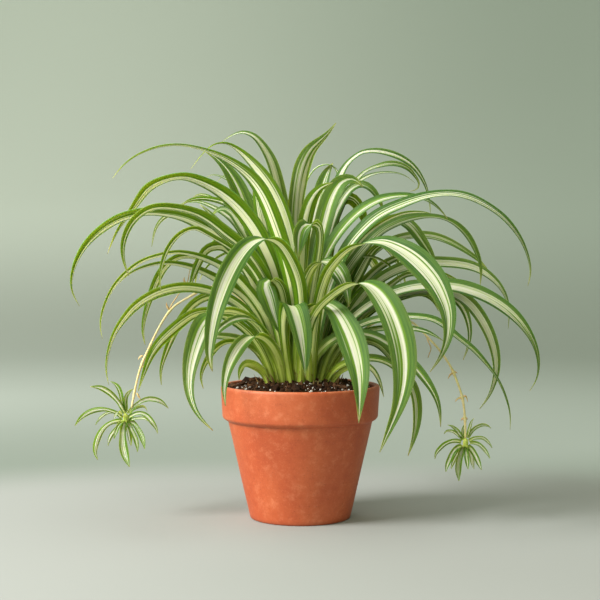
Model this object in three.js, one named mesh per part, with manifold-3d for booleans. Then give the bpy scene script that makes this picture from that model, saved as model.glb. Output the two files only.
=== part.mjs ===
// A potted spider plant: a clay pot, its potting soil, the crown with its
// leaves, and two hanging runners that each carry a plantlet.
// Millimetres, +Z up. The origin is the middle of the pot's underside, on the
// surface the pot stands on; the leaves spread widest along X, and -Y is the front.
import * as THREE from "three";
import * as BufferGeometryUtils from "three/addons/utils/BufferGeometryUtils.js";
import Module from "manifold-3d";

// ---------------------------------------------------------------- driving sizes
const POT_RIM_R = 75;          // outer radius at the top of the rim
const POT_HEIGHT = 125.6;
const POT_BASE_R = 47.6;       // outer radius of the foot
const POT_SHOULDER_R = 68.2;   // body radius just under the rim band
const RIM_BAND_Z = 92.6;       // underside of the rim band
const POT_WALL = 5.6;
const POT_FLOOR = 6.2;         // floor thickness
const DRAIN_R = 6;             // hole in the middle of the floor
const SOIL_EDGE_Z = 121.2;     // soil surface against the wall
const SOIL_MOUND = 9.5;        // extra height in the middle
const CROWN_CENTRE = [0, -3, 122];
const CROWN_RADII = [50, 45, 33];
const CROWN_BOTTOM_Z = 110;    // how far the crown reaches into the soil
const LEAF_THICKNESS = 1.0;    // at the midrib, thinning to the edges
const RUNNER_R = 1.0;
const TWIG_R = 0.6;
const PLANTLET_CORE = [4.6, 4.6, 6.2];
const GAP = 0.3;               // clearance between pieces that rest together

// ---------------------------------------------------------------- traced forms
// Leaf stations: [x, y, z, hx, hy, hz], millimetres, from the base to the tip.
// (x, y, z) is the middle of the leaf, (hx, hy, hz) reaches from there to its left edge.
const LEAVES = {
  leaf_left_01: [[-.3,-6.2,125.1,2.29,-.59,-.15],[-2,-20.1,167.2,4.87,-1.29,-.05],[-6,-29.7,205,6.09,-1.73,.54],[-13.6,-36.6,243.3,6.9,-2.19,1.36],[-25.3,-42.1,280.7,7.14,-3.93,2.02],[-37,-46.4,306.7,5.86,-5.57,2.59],[-50.7,-50.2,322.7,4.03,-6.57,2.66],[-70,-54.9,335.4,2.16,-5.26,1.85],[-94.5,-60.6,343.8,.89,-2.88,1.09],[-115.2,-65.2,345.5,.39,-2.29,.96],[-135,-68.8,340.8,.02,-2.15,.83],[-152.1,-71,331.4,-.15,-1.64,.44],[-166.5,-72.8,315.6,-.05,-.5,.09]],
  leaf_left_02: [[-2.2,2,125.1,2.24,-.79,-.17],[-2,-3.6,160.8,4.54,-1.64,-.14],[-2.8,-5.2,195.8,5.8,-2.47,.2],[-5.7,-7.5,232.3,6.44,-4.06,.47],[-11.3,-9.5,265.3,6.78,-4.92,1.25],[-19.9,-11.9,293.5,6.44,-5.01,2.12],[-32.3,-14.5,316.5,5.26,-5.09,2.84],[-48.8,-17.6,336.8,3.16,-5.16,2.12],[-62.3,-20.2,347.9,1.2,-3.32,1.19],[-70.6,-21.4,350.7,.42,-2.41,.81],[-78,-22.4,349.8,.07,-1.86,.52],[-86,-23.4,345,-.06,-1.38,.29],[-100.6,-25.5,326.8,-.04,-.5,.08]],
  leaf_left_03: [[-4.1,9.5,125,-2.26,-.78,.09],[-5.4,18.2,166.2,-4.65,-1.69,.21],[-6.6,23.8,199.4,-5.39,-3.06,.04],[-9.1,25.7,235.1,-5.66,-4.85,-.33],[-13.6,26.9,271.7,-5.6,-5.66,-.77],[-20.2,27.3,309.9,-5.29,-5.16,-1.03],[-27.6,27.5,336.3,-4.86,-3.68,-1.82],[-37,28.3,353.1,-3.27,-2.88,-2.33],[-45.9,29,361.8,-1.68,-2.61,-2.33],[-53.2,29.6,364.6,-.49,-2.37,-1.98],[-61.3,30.3,363.9,.19,-1.87,-1.28],[-75.3,31.8,356,.11,-.42,-.23]],
  leaf_left_04: [[-9.8,6.8,125,-2.59,-.93,.06],[-11.9,10.8,153.1,-4.47,-1.85,-.31],[-16.7,14.4,182.1,-6,-4.17,-.77],[-23.8,17.1,211.9,-6.66,-5.75,-1.32],[-32.1,19.5,241.1,-7.28,-6.53,-1.94],[-41.1,21.3,260.6,-6.86,-6.53,-3.06],[-48.7,22.6,279.8,-7.74,-4.95,-2.04],[-56.8,23.6,305.2,-7.72,-2.68,-3.02],[-66.6,24.6,324.4,-5.36,-2.02,-3.36],[-77.5,25.6,337.5,-2.49,-1.31,-2.59],[-92.2,26.8,347.5,-.46,-.38,-.78]],
  leaf_left_05: [[-6.9,1.4,125,2.25,-.72,.24],[-9.3,2.3,150.4,3.85,-1.28,.39],[-11.9,2.6,174.2,5.5,-3.22,.87],[-15.2,4.5,197.2,5.75,-4.94,1.29],[-19.7,4.9,219.4,6.08,-5.75,1.37],[-26.1,4.6,242.4,6.22,-5.23,1.83],[-32.8,3.9,265.8,6.53,-3.08,1.49],[-38.2,3,290.9,6.34,-2.07,1.18],[-42.6,2.1,316.2,2.72,-.88,.38]],
  leaf_left_06: [[-10.6,-8.2,125,2.33,-1.44,.21],[-14.9,-11.1,171.1,5.18,-3.2,.21],[-19.4,-13.2,213,6.41,-4.03,.93],[-27.8,-14.8,242.2,6.9,-4.72,2.54],[-43.7,-17.1,273.1,7.04,-5.6,3.97],[-61,-19.2,294.6,5.41,-6.86,4.86],[-81.9,-21.3,310,3.35,-7.86,4.63],[-102.4,-23.3,318.2,1.32,-6.85,3.35],[-116.2,-24.4,318.7,-.04,-5.87,2.73],[-133,-25.4,313,-1.47,-6.14,3.14],[-144.6,-25.8,302.8,-2.59,-5.7,2.27],[-165,-25.3,275.1,-1.27,-3,.73],[-178.1,-23.9,248.6,-.23,-.55,.06]],
  leaf_left_07: [[-13.4,-11,125,2.36,-.68,-.27],[-14,-13.9,161.1,4.56,-1.32,.55],[-24.2,-17.3,199.4,6.17,-1.89,1.97],[-38.8,-20.8,228.6,5.88,-2.49,3.75],[-62.8,-25.3,255.9,5.06,-4.88,4.76],[-92,-29.6,275.5,3.46,-6.69,4.91],[-119.7,-32.9,284.9,1.48,-7.52,4.02],[-145.8,-35.5,285.5,0,-7.3,3.65],[-172.3,-37.7,276.4,-1.34,-6.69,3.25],[-193.4,-39,259.2,-1.88,-5.31,1.87],[-205.5,-39.5,238.4,-1.42,-3.55,.55],[-208.7,-39.6,219.2,-.7,-1.84,-.06],[-201.7,-39.5,201.1,-.17,-.5,-.1]],
  leaf_left_08: [[-11.5,-13.7,125,2.23,-.72,.12],[-16.3,-18.2,168.1,4.65,-1.53,.53],[-24,-22.6,203.8,5.44,-2.41,1.34],[-36,-27.2,232.1,5.35,-4.12,2.22],[-51.4,-32.2,252.8,4.78,-5.25,3.33],[-76.6,-39.4,273.7,4.43,-5.69,3.44],[-96.6,-44.9,285.9,2.92,-6.21,3.27],[-120.2,-51,290.8,1.5,-5.36,2.97],[-135.4,-54.6,289,-.01,-5.15,3.09],[-147.2,-57.3,280.9,-1.5,-4.47,2.47],[-156,-59.5,267.3,-2.28,-3.24,1.21],[-159.1,-60.5,250.1,-1.86,-1.88,.03],[-153.7,-60.7,228.9,-.34,-.32,-.12]],
  leaf_left_09: [[-19,-13.4,125,2.02,-.52,.1],[-22.7,-13.5,159.3,3.85,-1.01,.68],[-30.4,-15.5,185.8,4.54,-1.34,1.81],[-43.9,-18.5,208.4,4.1,-2.05,2.82],[-62.8,-22.5,229.7,3.43,-4.02,3.07],[-83.5,-26.7,242.4,2.22,-5.1,2.65],[-105.8,-31.2,249.1,1.05,-4.02,1.92],[-124.7,-34.8,248.3,.29,-3.34,1.63],[-145.8,-38.8,241,-.27,-3.6,1.72],[-162.6,-42,227.3,-.77,-3.73,1.41],[-174.7,-44.4,209.8,-.87,-2.95,.69],[-181.1,-45.6,189.5,-.6,-1.76,.15],[-179.9,-46.1,171.4,-.13,-.37,-.02]],
  leaf_left_10: [[-20,-4.7,124.9,2.02,-.48,.35],[-25.1,.6,153.9,3.27,-.85,.87],[-33.8,.4,180.5,3.93,-1.65,1.7],[-47,-.9,202,3.59,-3.13,2.6],[-63.4,-3.6,216.7,2.84,-4.09,3.27],[-90.4,-8.7,231.4,2.31,-4.57,2.89],[-113.4,-13.1,238.7,1.22,-4.29,2.49],[-134.4,-16.9,239.1,.24,-3.11,1.81],[-154.3,-20.3,232.4,-.23,-1.93,1],[-168.6,-22.9,220.4,-.09,-.34,.14]],
  leaf_left_11: [[-21.7,-18.9,125,2,-.56,.13],[-26.7,-19.6,153.1,3.19,-1.01,.94],[-38.2,-22,178.3,3.85,-2.39,1.97],[-53.2,-25.7,198,3.32,-3.91,2.57],[-71.5,-30.1,209.7,2.7,-4.78,3.42],[-96.9,-36.6,216.7,2.03,-5.12,4.3],[-117.4,-42.1,216,.31,-4.83,5.02],[-138,-47.8,208.2,-1.2,-4.74,4.43],[-155,-52.8,194.5,-1.78,-4.81,2.88],[-168,-56.8,174.8,-1.25,-3.81,1.13],[-174.1,-59,152.9,-.82,-2.25,.23],[-172.4,-59.9,130.7,-.15,-.39,-.02]],
  leaf_left_12: [[-15.4,.1,125,1.98,-.72,.2],[-20.8,1.2,158.1,3.32,-1.26,.88],[-31.6,1.1,188.8,3.79,-1.77,1.73],[-47,.2,213.7,3.51,-3.04,2.6],[-64.7,-1.1,231.2,2.54,-4.3,3.15],[-87.5,-2.8,242.1,1.29,-4.63,2.7],[-107,-4.4,246,.25,-4.61,2.79],[-118.3,-5.2,243.1,-1.21,-4.58,2.81],[-129,-6.2,232.9,-2.68,-3.87,2.22],[-139.5,-7.6,209.4,-2.95,-2.31,1.18],[-146.9,-8.5,182.4,-1.7,-1.21,.21],[-145.2,-9,163.5,-.38,-.27,-.1]],
  leaf_left_13: [[-12.4,-15.1,125,2.02,-.48,.25],[-19.8,-19.9,169.6,3.59,-.88,.61],[-29.2,-25.6,205.1,3.71,-1.69,.93],[-41.7,-33.6,231.6,3.59,-3.12,1.05],[-58.3,-43.8,250.5,3.11,-3.7,1.1],[-82.4,-58,265.5,2.4,-2.85,1.12],[-95,-65.4,271.1,1.6,-2.93,1.89],[-104.2,-70.4,268.2,.25,-3.05,2.31],[-115.2,-77,256.5,-1.36,-2.25,1.72],[-122.3,-81.7,237.4,-1.58,-1.3,.51],[-122.9,-83.5,216.1,-.36,-.27,-.04]],
  leaf_left_14: [[-24.4,-20.5,125,2.02,-.33,.39],[-33.6,-23.7,154.5,3.26,-.78,1.38],[-47.4,-29.3,175.2,3.71,-2.44,2.48],[-67.4,-38.6,191,3.68,-3.73,3.22],[-83.5,-46.5,195.5,2.14,-4.18,4.48],[-98.6,-54.2,192,-.45,-4.08,4.98],[-119.8,-66.3,175.2,-2.5,-2.82,4.18],[-133.6,-74.4,156.6,-2.66,-2.07,1.9],[-143.8,-79.7,126.9,-.34,-.26,.15]],
  leaf_left_15: [[-22.8,-9.5,125,2.04,-.38,.3],[-30.3,-9.5,158.3,3.47,-.75,1.12],[-42,-10.9,184,3.71,-2.13,2.24],[-57.1,-13.3,200,2.93,-3.42,3.34],[-75.1,-16.3,208.4,1.55,-4.04,4.14],[-88.2,-18.5,207.7,-.63,-4.25,4.18],[-101.1,-21,199.1,-2.4,-4.22,3.17],[-115.6,-24.2,177.1,-2.99,-3.36,1.93],[-127.2,-26.9,147.9,-1.84,-1.58,.57],[-128.2,-27.8,127.6,-.36,-.3,-.04]],
  leaf_left_16: [[-5.9,-17.3,125.1,2.56,-.02,-.33],[-1,-34.2,167.5,5.51,-.36,-.64],[.5,-47.6,203.6,6.1,-.96,-.13],[-3.3,-58.9,229.1,6.42,-.93,1.49],[-13.1,-72.3,250.6,5.64,-2.82,1.48],[-22,-81.2,259.8,4.65,-4.41,1.47],[-31.5,-88.9,262.1,4.24,-5.07,-.66],[-42,-97.6,258.6,5.23,-3.18,-3.62],[-53.4,-109.3,246.7,7.36,-.4,-4.66],[-65.1,-124.4,222.8,8.36,.21,-3.3],[-72.9,-136.3,196.3,7.25,.38,-1.57],[-76.3,-141.1,170.7,4.79,.3,-.25],[-73.8,-142.1,150.1,.4,.04,.12]],
  leaf_left_17: [[-15.1,-23.1,125,2.55,.06,.28],[-20.1,-32.6,151.2,4.06,.18,1.44],[-29.1,-46.8,168.4,3.79,-.12,3.09],[-39.7,-60.7,175.1,3.49,-2.45,1.77],[-50.2,-75.8,171.4,4.48,-1,-3.3],[-60.4,-98.1,156.4,5.19,.07,-2.33],[-64.9,-114.3,139,3.32,.11,-.42],[-64,-120.7,118.6,.42,.03,.08]],
  leaf_left_18: [[-17.9,-20.2,125,2.56,.05,.18],[-24.2,-25.8,154.5,3.99,.19,1.61],[-38.6,-36.5,180.3,3.45,-1.08,2.09],[-54.7,-46.7,193.5,2.65,-2.43,2.74],[-72.5,-57.8,196.1,2.49,-4.17,2.16],[-83.3,-65.9,190,5.6,-2.38,-2.8],[-93.4,-79.8,167.2,6.33,.31,-2.03],[-97.5,-93.1,138.3,4.01,-.26,.16],[-92.5,-100.5,115.3,1.88,-.94,1.18],[-75.8,-106.1,95.6,.22,-.03,.27]],
  leaf_left_19: [[-9.6,-20.4,125,2.56,.04,.2],[-12,-23,162.5,4.63,.06,.25],[-15.1,-32.3,200.2,5.49,-1.05,.58],[-22,-38.6,221.9,4.27,-2.5,2.82],[-28.1,-40.3,225.1,1.8,-5.84,-.91],[-31.8,-41,222.1,5.98,-3.63,-1.92],[-29.1,-40.7,208.3,8.21,-.88,2.28],[-17.8,-31.2,173.2,.44,-.08,.12]],
  leaf_right_01: [[2.6,5.4,125,-2.24,.81,.03],[5,6.5,171.6,-4.84,1.76,.36],[10.7,8.4,217,-5.32,2.09,.78],[19.7,10.9,258.5,-5.19,3.84,1.16],[32.7,14.3,303.4,-4.74,5.07,.88],[41.6,16.3,328.9,-2.89,4.77,1.19],[51.4,17.9,340.7,-1.55,3.59,1.4],[62.6,19.3,345.6,-.9,3.76,2.07],[78.8,21.3,345.3,.06,4.13,3.19],[98.4,23.7,338.6,1.38,3.22,3.13],[111.4,25.2,327.6,2.01,2.51,1.86],[121,26.2,310.3,1.51,1.74,.58],[124.9,26.7,285.8,.27,.32,.01]],
  leaf_right_02: [[-.3,.2,125,2.37,1.1,.1],[-2.3,1.3,159,4.48,2.46,.19],[-3.6,2.3,190.5,5.49,4.65,-.12],[-4.3,4.6,220.9,5.72,6.41,-.22],[-4.6,4.5,250.5,6.09,7.25,.32],[-4.2,3.2,281.3,6.56,6.64,.02],[-1.7,1.3,309.3,7.28,4.35,-.68],[3,-1,331.3,7.52,3.24,-2.01],[8.9,-2.8,344.3,5.48,2.86,-3.15],[20,-5.3,355.6,2.52,1.78,-2.36],[33.2,-8.8,370.5,.44,.24,-.27]],
  leaf_right_03: [[.7,-4,125,-2.32,1.68,.35],[4.4,-9.3,163.6,-5.27,3.51,1.23],[9.1,-14.4,199.9,-6.53,6.19,1.18],[13.1,-12.9,231.8,-7.4,7.41,.31],[19.9,-10.1,268.9,-7.85,5.77,1.5],[28.9,-9.6,300.5,-8.23,3.16,3.3],[36.8,-9.9,314,-5.21,1.9,5.56],[43.6,-10.4,318.3,-1.21,.41,5.51],[50.1,-10.8,317.9,1.18,-.41,3.36],[58.4,-11.7,310.9,.45,-.17,.41]],
  leaf_right_04: [[-3.1,-9.3,125,2.24,.75,-.01],[-1.9,-12.9,155.4,4.18,1.6,.09],[-.2,-19.6,187.9,5.44,4.35,.54],[1,-24.3,219.5,6.12,5.76,.48],[2.3,-27.6,253.6,6.55,4.91,.06],[5.4,-30.3,281.6,6.67,2.27,-1.09],[10.8,-33.3,299,5.56,1.57,-2.43],[17.8,-37,308,2.92,1.68,-2.54],[29.7,-42.8,313.5,.24,.32,-.32]],
  leaf_right_05: [[2.5,-7.1,125,-2.02,1.12,.49],[5.1,-11.5,157.1,-3.34,1.91,.27],[6.1,-14.7,192.3,-4.14,3.71,.8],[11.5,-18.4,217.1,-3.92,4.74,2.1],[23.9,-23.4,247.5,-3.82,5.79,2.68],[37.6,-26.2,270.6,-3.45,5.8,3.23],[54.6,-27.8,287.8,-2.51,5.44,3.74],[71.9,-29,298,-1.05,5.2,3.61],[90.8,-30.2,302,.1,4.45,2.78],[109.1,-31.1,300.4,.65,3.12,2.07],[122.4,-31.4,294.1,.95,1.85,1.31],[135.5,-31.3,280.2,.27,.32,.2]],
  leaf_right_06: [[9.1,-9.8,125,-1.98,1.13,.61],[16.8,-20.9,175.9,-4.17,2.48,1.15],[25.6,-28.1,214.8,-4.18,3.74,2.04],[40.8,-33.7,250,-3.77,5.12,2.96],[59.5,-37.9,273.9,-3.06,5.75,4.26],[80.5,-41.5,288.9,-1.45,6.18,4.84],[113.4,-45.9,300.5,-.1,6,3.54],[138.7,-48.6,302.5,.84,5.45,3.2],[161.1,-50.6,296,1.87,5.18,3.03],[183.4,-52.2,281,2.33,4.3,2.23],[199.1,-52.7,260.9,1.95,2.79,1.1],[207.2,-51.9,238.9,1.21,1.5,.27],[205.7,-50.9,219.7,.31,.37,-.05]],
  leaf_right_07: [[12,-2.7,125,-1.87,.93,.27],[18.3,-4.6,163.5,-3.83,1.98,.95],[28.2,-6.8,198.5,-4.26,3.27,1.74],[41.4,-8.9,228.2,-3.82,4.83,2.54],[59.2,-11.2,253.3,-3.1,5.92,3.25],[77.3,-13.2,270.6,-1.92,6.21,3.73],[97,-15.2,280,-.57,6.09,3.66],[118.3,-17.3,283.4,.39,4.4,2.43],[134.6,-18.8,280.9,1.08,3.57,2.06],[147.6,-20,273.2,2.33,3.48,2.26],[158.6,-21.1,259,2.9,2.47,1.5],[166.1,-21.7,239.8,1.98,1.37,.39],[166.4,-21.8,218.9,.39,.26,-.04]],
  leaf_right_08: [[16.7,3.1,125,-2.02,.62,.17],[23,9.4,153.2,-2.95,1.01,.65],[33.5,15.4,182.5,-3.59,2.24,1.05],[47.7,21.9,215.8,-3.59,3.89,.9],[59.8,26.1,237.7,-3.29,4.75,1.39],[72.9,29.1,252,-2.68,4.97,2.03],[87.4,31.7,260.8,-1.92,4.87,2.75],[105.9,34.3,265.7,-1.02,4.23,3.45],[125.2,36.6,266.2,.13,3.22,3.79],[142.5,38.3,261.1,1.2,2.01,3.25],[163.8,39.8,249.2,1.48,.93,2.25],[181.2,40.4,234.3,.51,.24,.48]],
  leaf_right_09: [[20.5,-0,125,-1.86,.94,.37],[29.8,-.1,158,-3.25,1.91,1.26],[44.3,-.6,187.6,-3.66,3.46,2.36],[63,-2.3,213.2,-3.01,4.94,3.24],[81.7,-4.4,228.8,-1.8,5.81,4.11],[104.3,-7,237.7,-.53,5.78,4.75],[129.1,-10.1,240.6,.78,5.17,5.07],[157,-13.5,237.5,1.76,4.46,4.38],[173.8,-15.5,229.5,2.63,3.83,2.92],[186.8,-17.2,215.9,2.27,3.13,1.24],[192.7,-18.1,201.3,1.58,2.14,.22],[193,-18.7,178.9,.28,.38,-.04]],
  leaf_right_10: [[17.5,-11,125,-1.78,1.65,.48],[26.9,-13.6,156.9,-2.98,3.09,1.58],[40.7,-17.1,180.9,-2.7,4.66,3.03],[59.7,-22.1,199,-1.43,5.63,4.1],[84.8,-29.4,212.9,.17,6.72,4.66],[110.8,-37.4,219.2,1.72,7.1,5.12],[139.6,-46.8,219.3,2.98,6.49,5.44],[165.4,-55.6,211.2,4.15,5.54,4.93],[186.6,-63.1,197.8,4.81,4.74,3.55],[202.7,-68.8,178.9,3.94,4.14,1.52],[210.8,-72,159.4,2.26,2.8,.16],[211.3,-73.5,142.2,1.06,1.5,-.31],[204,-74.5,126.8,.24,.44,-.19]],
  leaf_right_11: [[21.3,-8.1,125,-1.78,1.22,.43],[29.5,-10.7,152.5,-2.75,2.1,1.48],[44.3,-14.7,177,-2.82,3.71,2.93],[62.5,-19.6,196.3,-1.58,4.98,3.69],[84.7,-25.1,208.3,-.14,5.98,4.16],[111,-31.7,214.9,1.09,6.44,4.53],[133.2,-37.3,214.2,2.48,6.09,4.54],[148.4,-41.1,207.8,4.25,5.27,3.95],[162.2,-45.1,193,5.37,4.14,2.77],[173.5,-48.6,170.3,5.15,3.29,1.37],[177.7,-50.4,147.6,3.87,2.46,-.12],[174.1,-51.6,128,2.14,1.68,-.9],[162.4,-53.1,108.3,.28,.3,-.25]],
  leaf_right_12: [[18.4,-13.7,125,-1.44,1.04,.42],[26.5,-18,153.1,-1.99,1.52,1.18],[36.5,-22.7,169.5,-1.82,2.03,2.46],[52.3,-29.5,181.5,-.65,2.62,3.18],[72.8,-38.4,188.9,.78,3.31,3.33],[102.3,-52.1,191.9,1.97,4.18,2.88],[119.9,-60.5,189.3,2.86,4.3,1.87],[135.8,-69.3,178.3,3.23,4.19,.98],[157.6,-81.2,159.2,2.6,3.54,.55],[173.5,-90.1,138.3,1.54,2.19,.19],[181.6,-94.3,117.9,1.04,1.48,.1],[183.6,-95.7,94.7,.21,.29,-.02]],
  leaf_right_13: [[9.9,-20.9,125,2.57,-.03,-.11],[12.5,-32.3,170.4,4.78,.54,-.25],[17.7,-44.6,207.7,5.19,2.76,-.06],[26.2,-55.8,233.1,5.02,4.44,-.42],[40.2,-66.7,250.3,4.44,5.94,-.41],[55.2,-75.9,257.9,3.65,6.76,1.03],[72.8,-85.8,259.4,3.86,5.36,4.32],[91,-96.8,251,5.87,1.73,7.29],[109.7,-109.4,234,8.52,-.6,7.26],[122.1,-118.8,213,8.38,-.5,3.48],[126.8,-124.2,191.8,6.28,-.19,.21],[123.6,-127.3,171.1,3.07,.42,-1.12],[110.2,-129.2,148.6,.36,.12,-.28]],
  leaf_right_14: [[8.1,-24.8,125,2.56,-.03,-.13],[6.5,-41,157,3.95,.47,.55],[8.3,-55.3,180,4.26,2.07,.41],[16,-69.7,198.7,4.38,3.04,-.27],[32.2,-87,214.8,4.55,3.92,-1.08],[47.8,-100.6,223,4.33,5.25,-.34],[57.9,-108.4,222.9,5.21,5.2,2.47],[67.5,-117.1,215.4,8.06,2.52,4.71],[78.6,-130.7,196.3,10.84,1.39,3.63],[85.7,-143.4,170.6,11.39,.7,1.43],[86.1,-152.7,144.4,9.1,-.17,-1.03],[79.7,-159.2,118.4,4.9,.13,-1.83],[65.7,-162.1,84.7,.4,.03,-.16]],
  leaf_right_15: [[.6,-26.2,125,2.56,0,.04],[1.4,-38.4,163.9,4.22,.97,.02],[6.1,-49.2,193.2,4.75,3.16,-.47],[11.8,-53.6,202.1,3.62,4.69,-.95],[19.7,-58.5,204.2,3.31,4.82,1.73],[29.4,-66.6,200.1,5.51,1.71,4.44],[40.6,-83.8,183.8,9.95,-.06,4.77],[49.1,-108.2,158.3,10.6,-.25,2.45],[51.4,-123.9,135.5,6.96,-.28,.15],[49.5,-132.7,105.5,.43,.03,-.04]],
  leaf_right_16: [[-7.7,-24.1,125,3.15,.45,.65],[-14,-32.8,167.2,4.67,.41,.51],[-13,-44.5,195.3,7.85,.84,-1.65],[-8.5,-53.7,203.1,9.58,4.27,-2.07],[-4.2,-62.4,199.5,10.3,3.23,2.15],[1.6,-70.7,177.9,9.37,1.01,1.42],[4.6,-74.6,139,.4,.05,0]],
  leaf_right_17: [[-1.2,-15.3,125,2.58,-0,-.04],[-.1,-27.5,168.5,4.15,.11,-.15],[3.1,-34,208,4.14,1.55,-.36],[10.3,-38.7,233.8,2.99,3,-1.12],[19,-41.5,241.5,1.08,4.09,.65],[27.7,-43.9,239.9,2.99,1.69,4.34],[38.1,-47,227.7,5.61,-.11,2.71],[44.3,-44.9,200.9,.45,-.01,.05]],
  leaf_right_18: [[2.5,-12.3,125,1.76,1.05,.13],[5.2,-21.2,167.7,3.08,1.87,.11],[10,-26.7,207.3,3.85,2.45,-.25],[16.7,-34.9,246.6,3.95,2.5,-.09],[17.6,-40.3,270.8,3.71,1.86,1.68],[13.7,-42.5,275.6,2.62,-.94,4.58],[6.2,-45.5,275.3,3.46,-2.96,-5.09],[.8,-48.1,269.3,7.04,.83,-2.85],[-2.1,-49.8,243.2,.44,.09,-.01]],
  leaf_right_19: [[5.3,-21.3,124.9,-1.97,1.24,.18],[12.4,-20.9,149.6,-3.16,1.8,1.83],[24.7,-26.8,165.7,-2.09,2.39,3.91],[42.1,-36.4,175.2,.92,3.39,4.29],[63.3,-49.6,175.1,3.65,4.37,2.91],[84,-65.3,164.2,4.67,4.09,1.78],[106.4,-84.4,142.8,4.3,2.75,1.48],[118.9,-95.6,122,2.74,1.49,.53],[122.4,-100.2,97.9,.35,.17,-.03]],
  leaf_right_20: [[23.1,-14.7,125,-1.29,1.48,.71],[32.1,-19.9,141.3,-.99,1.58,1.87],[50.8,-29.9,150.8,.63,2.74,3.3],[72.8,-42.4,151.9,2.96,4.09,2.29],[91.3,-54.7,141.8,4.19,4.09,1.32],[102,-63.8,125.4,4.73,3.06,.43],[104.2,-70.1,100.5,3.92,1.27,-.56],[95.8,-75.6,68.9,.4,.13,-.17]],
  leaf_back_01: [[0,15.1,125.9,-2.7,0,0],[0,35.6,159.1,-5.3,0,0],[0,54.2,193.2,-7.53,0,0],[0,75.3,225.7,-9.15,0,0],[0,93,247.8,-9.79,0,0],[0,108.4,259.2,-9.75,0,0],[0,118.5,262.1,-9.5,0,0],[0,127,260.3,-9.12,0,0],[0,138.2,252.2,-8.47,0,0],[0,149.4,236.4,-6.97,0,0],[0,155.8,217,-4.92,0,0],[0,157.2,187.6,-.59,0,0]],
  leaf_back_02: [[5.3,14.8,126,-2.81,.93,-.24],[8.1,31.1,165.4,-6.43,2.21,-.28],[12.7,47.1,196.1,-8.47,2.95,-.19],[19.3,65.9,220.2,-9.91,3.67,.06],[26.2,84.1,234,-10.08,3.81,.06],[31.8,98.6,237.9,-9.73,3.96,-.01],[37.4,112.1,234.1,-9.09,3.62,-.13],[43.7,127.7,221.2,-7.63,2.92,-.15],[48.6,139,202.6,-5.06,1.95,-.22],[51.4,144.9,175.8,-.61,.22,.01]],
  leaf_back_03: [[-5.3,15.1,125.9,-2.69,-.83,.29],[-7.6,32.6,161.1,-5.6,-1.86,.37],[-11.3,48,193.3,-7.8,-2.68,.26],[-16.9,65.2,220,-9.25,-3.41,-.05],[-23.3,81.5,237.2,-9.62,-3.65,-.11],[-29,95.8,245.1,-9.4,-3.88,-.1],[-33.4,106.2,245.5,-8.97,-3.84,.1],[-38.6,118.2,239.6,-8.38,-3.37,.2],[-44.1,131.4,225.7,-6.86,-2.68,.24],[-48.3,139.9,207.6,-4.62,-1.79,.28],[-50.8,143.9,181.8,-.58,-.21,-0]],
  leaf_back_04: [[8.7,11.3,126,-2.02,1.57,-.06],[13.1,18,166.1,-4.62,3.61,-0],[18.7,25.2,196.9,-6.03,4.7,-.02],[26.8,35.5,221.7,-7.03,5.55,.06],[36.9,48.2,239.6,-7.35,5.71,-.02],[47.1,61.3,249.8,-7.15,5.71,.02],[55.6,71.7,252,-6.75,5.48,-0],[64.8,83.4,247.6,-6.31,4.9,.02],[74.9,96.5,235.6,-5.01,3.9,-0],[83,106.3,218.5,-3.2,2.57,-.1],[87.5,112.5,196,-.44,.34,.04]],
  leaf_back_05: [[-8.7,11.9,125.9,-2.18,-1.53,.38],[-13,24.8,163.1,-4.74,-3.57,.32],[-20,35.4,196.6,-6.51,-5.05,.06],[-30,47.5,221.8,-7.48,-6.08,-.23],[-41.6,61.3,237.9,-7.55,-6.22,-.15],[-51.7,72.9,243.8,-7.07,-6.23,-.06],[-61.1,83.7,241.8,-6.65,-5.68,.13],[-72.1,96.5,231.1,-5.55,-4.57,.17],[-81.1,106.3,213.7,-3.55,-2.96,.28],[-86.3,111.6,189.9,-.47,-.36,-.02]],
  leaf_back_06: [[1.1,8.7,125.9,-2.27,.28,-.06],[2,24.3,159.6,-4.37,.57,-.12],[2.4,31.1,193.9,-6.03,.84,-.04],[3.3,37,238.5,-7.59,1.08,.11],[5.3,45,271.7,-8.23,1.24,.24],[8,57.4,294,-8.08,1.45,.34],[9.6,63.8,299.5,-7.68,1.95,.21],[10.5,67.2,299.2,-7.49,1.84,-.33],[12,72.8,292.6,-7.19,1.25,-.4],[13.8,77.9,275,-6.22,.89,-.4],[15.3,75,249.9,-4.57,.56,-.35],[15.8,61.8,215.5,-.5,.05,-.01]],
  leaf_back_07: [[-1.3,8.3,125.9,-2.26,-.36,.06],[-2.5,22.1,161.1,-4.55,-.77,.13],[-3,28.5,198.3,-6.4,-1.12,.01],[-4.5,33.5,240.7,-7.98,-1.45,-.25],[-7.3,41.6,271.4,-8.15,-1.6,-.39],[-10.2,51.7,287,-7.72,-1.84,-.37],[-11.8,57.2,289.4,-7.34,-2.06,-.01],[-13.3,62.6,287.2,-7.04,-1.72,.34],[-15.7,70.6,275.1,-6.06,-1.2,.38],[-17.9,73.5,254.1,-4.35,-.76,.37],[-18.9,66.9,222.9,-.49,-.07,.01]],
};

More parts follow.
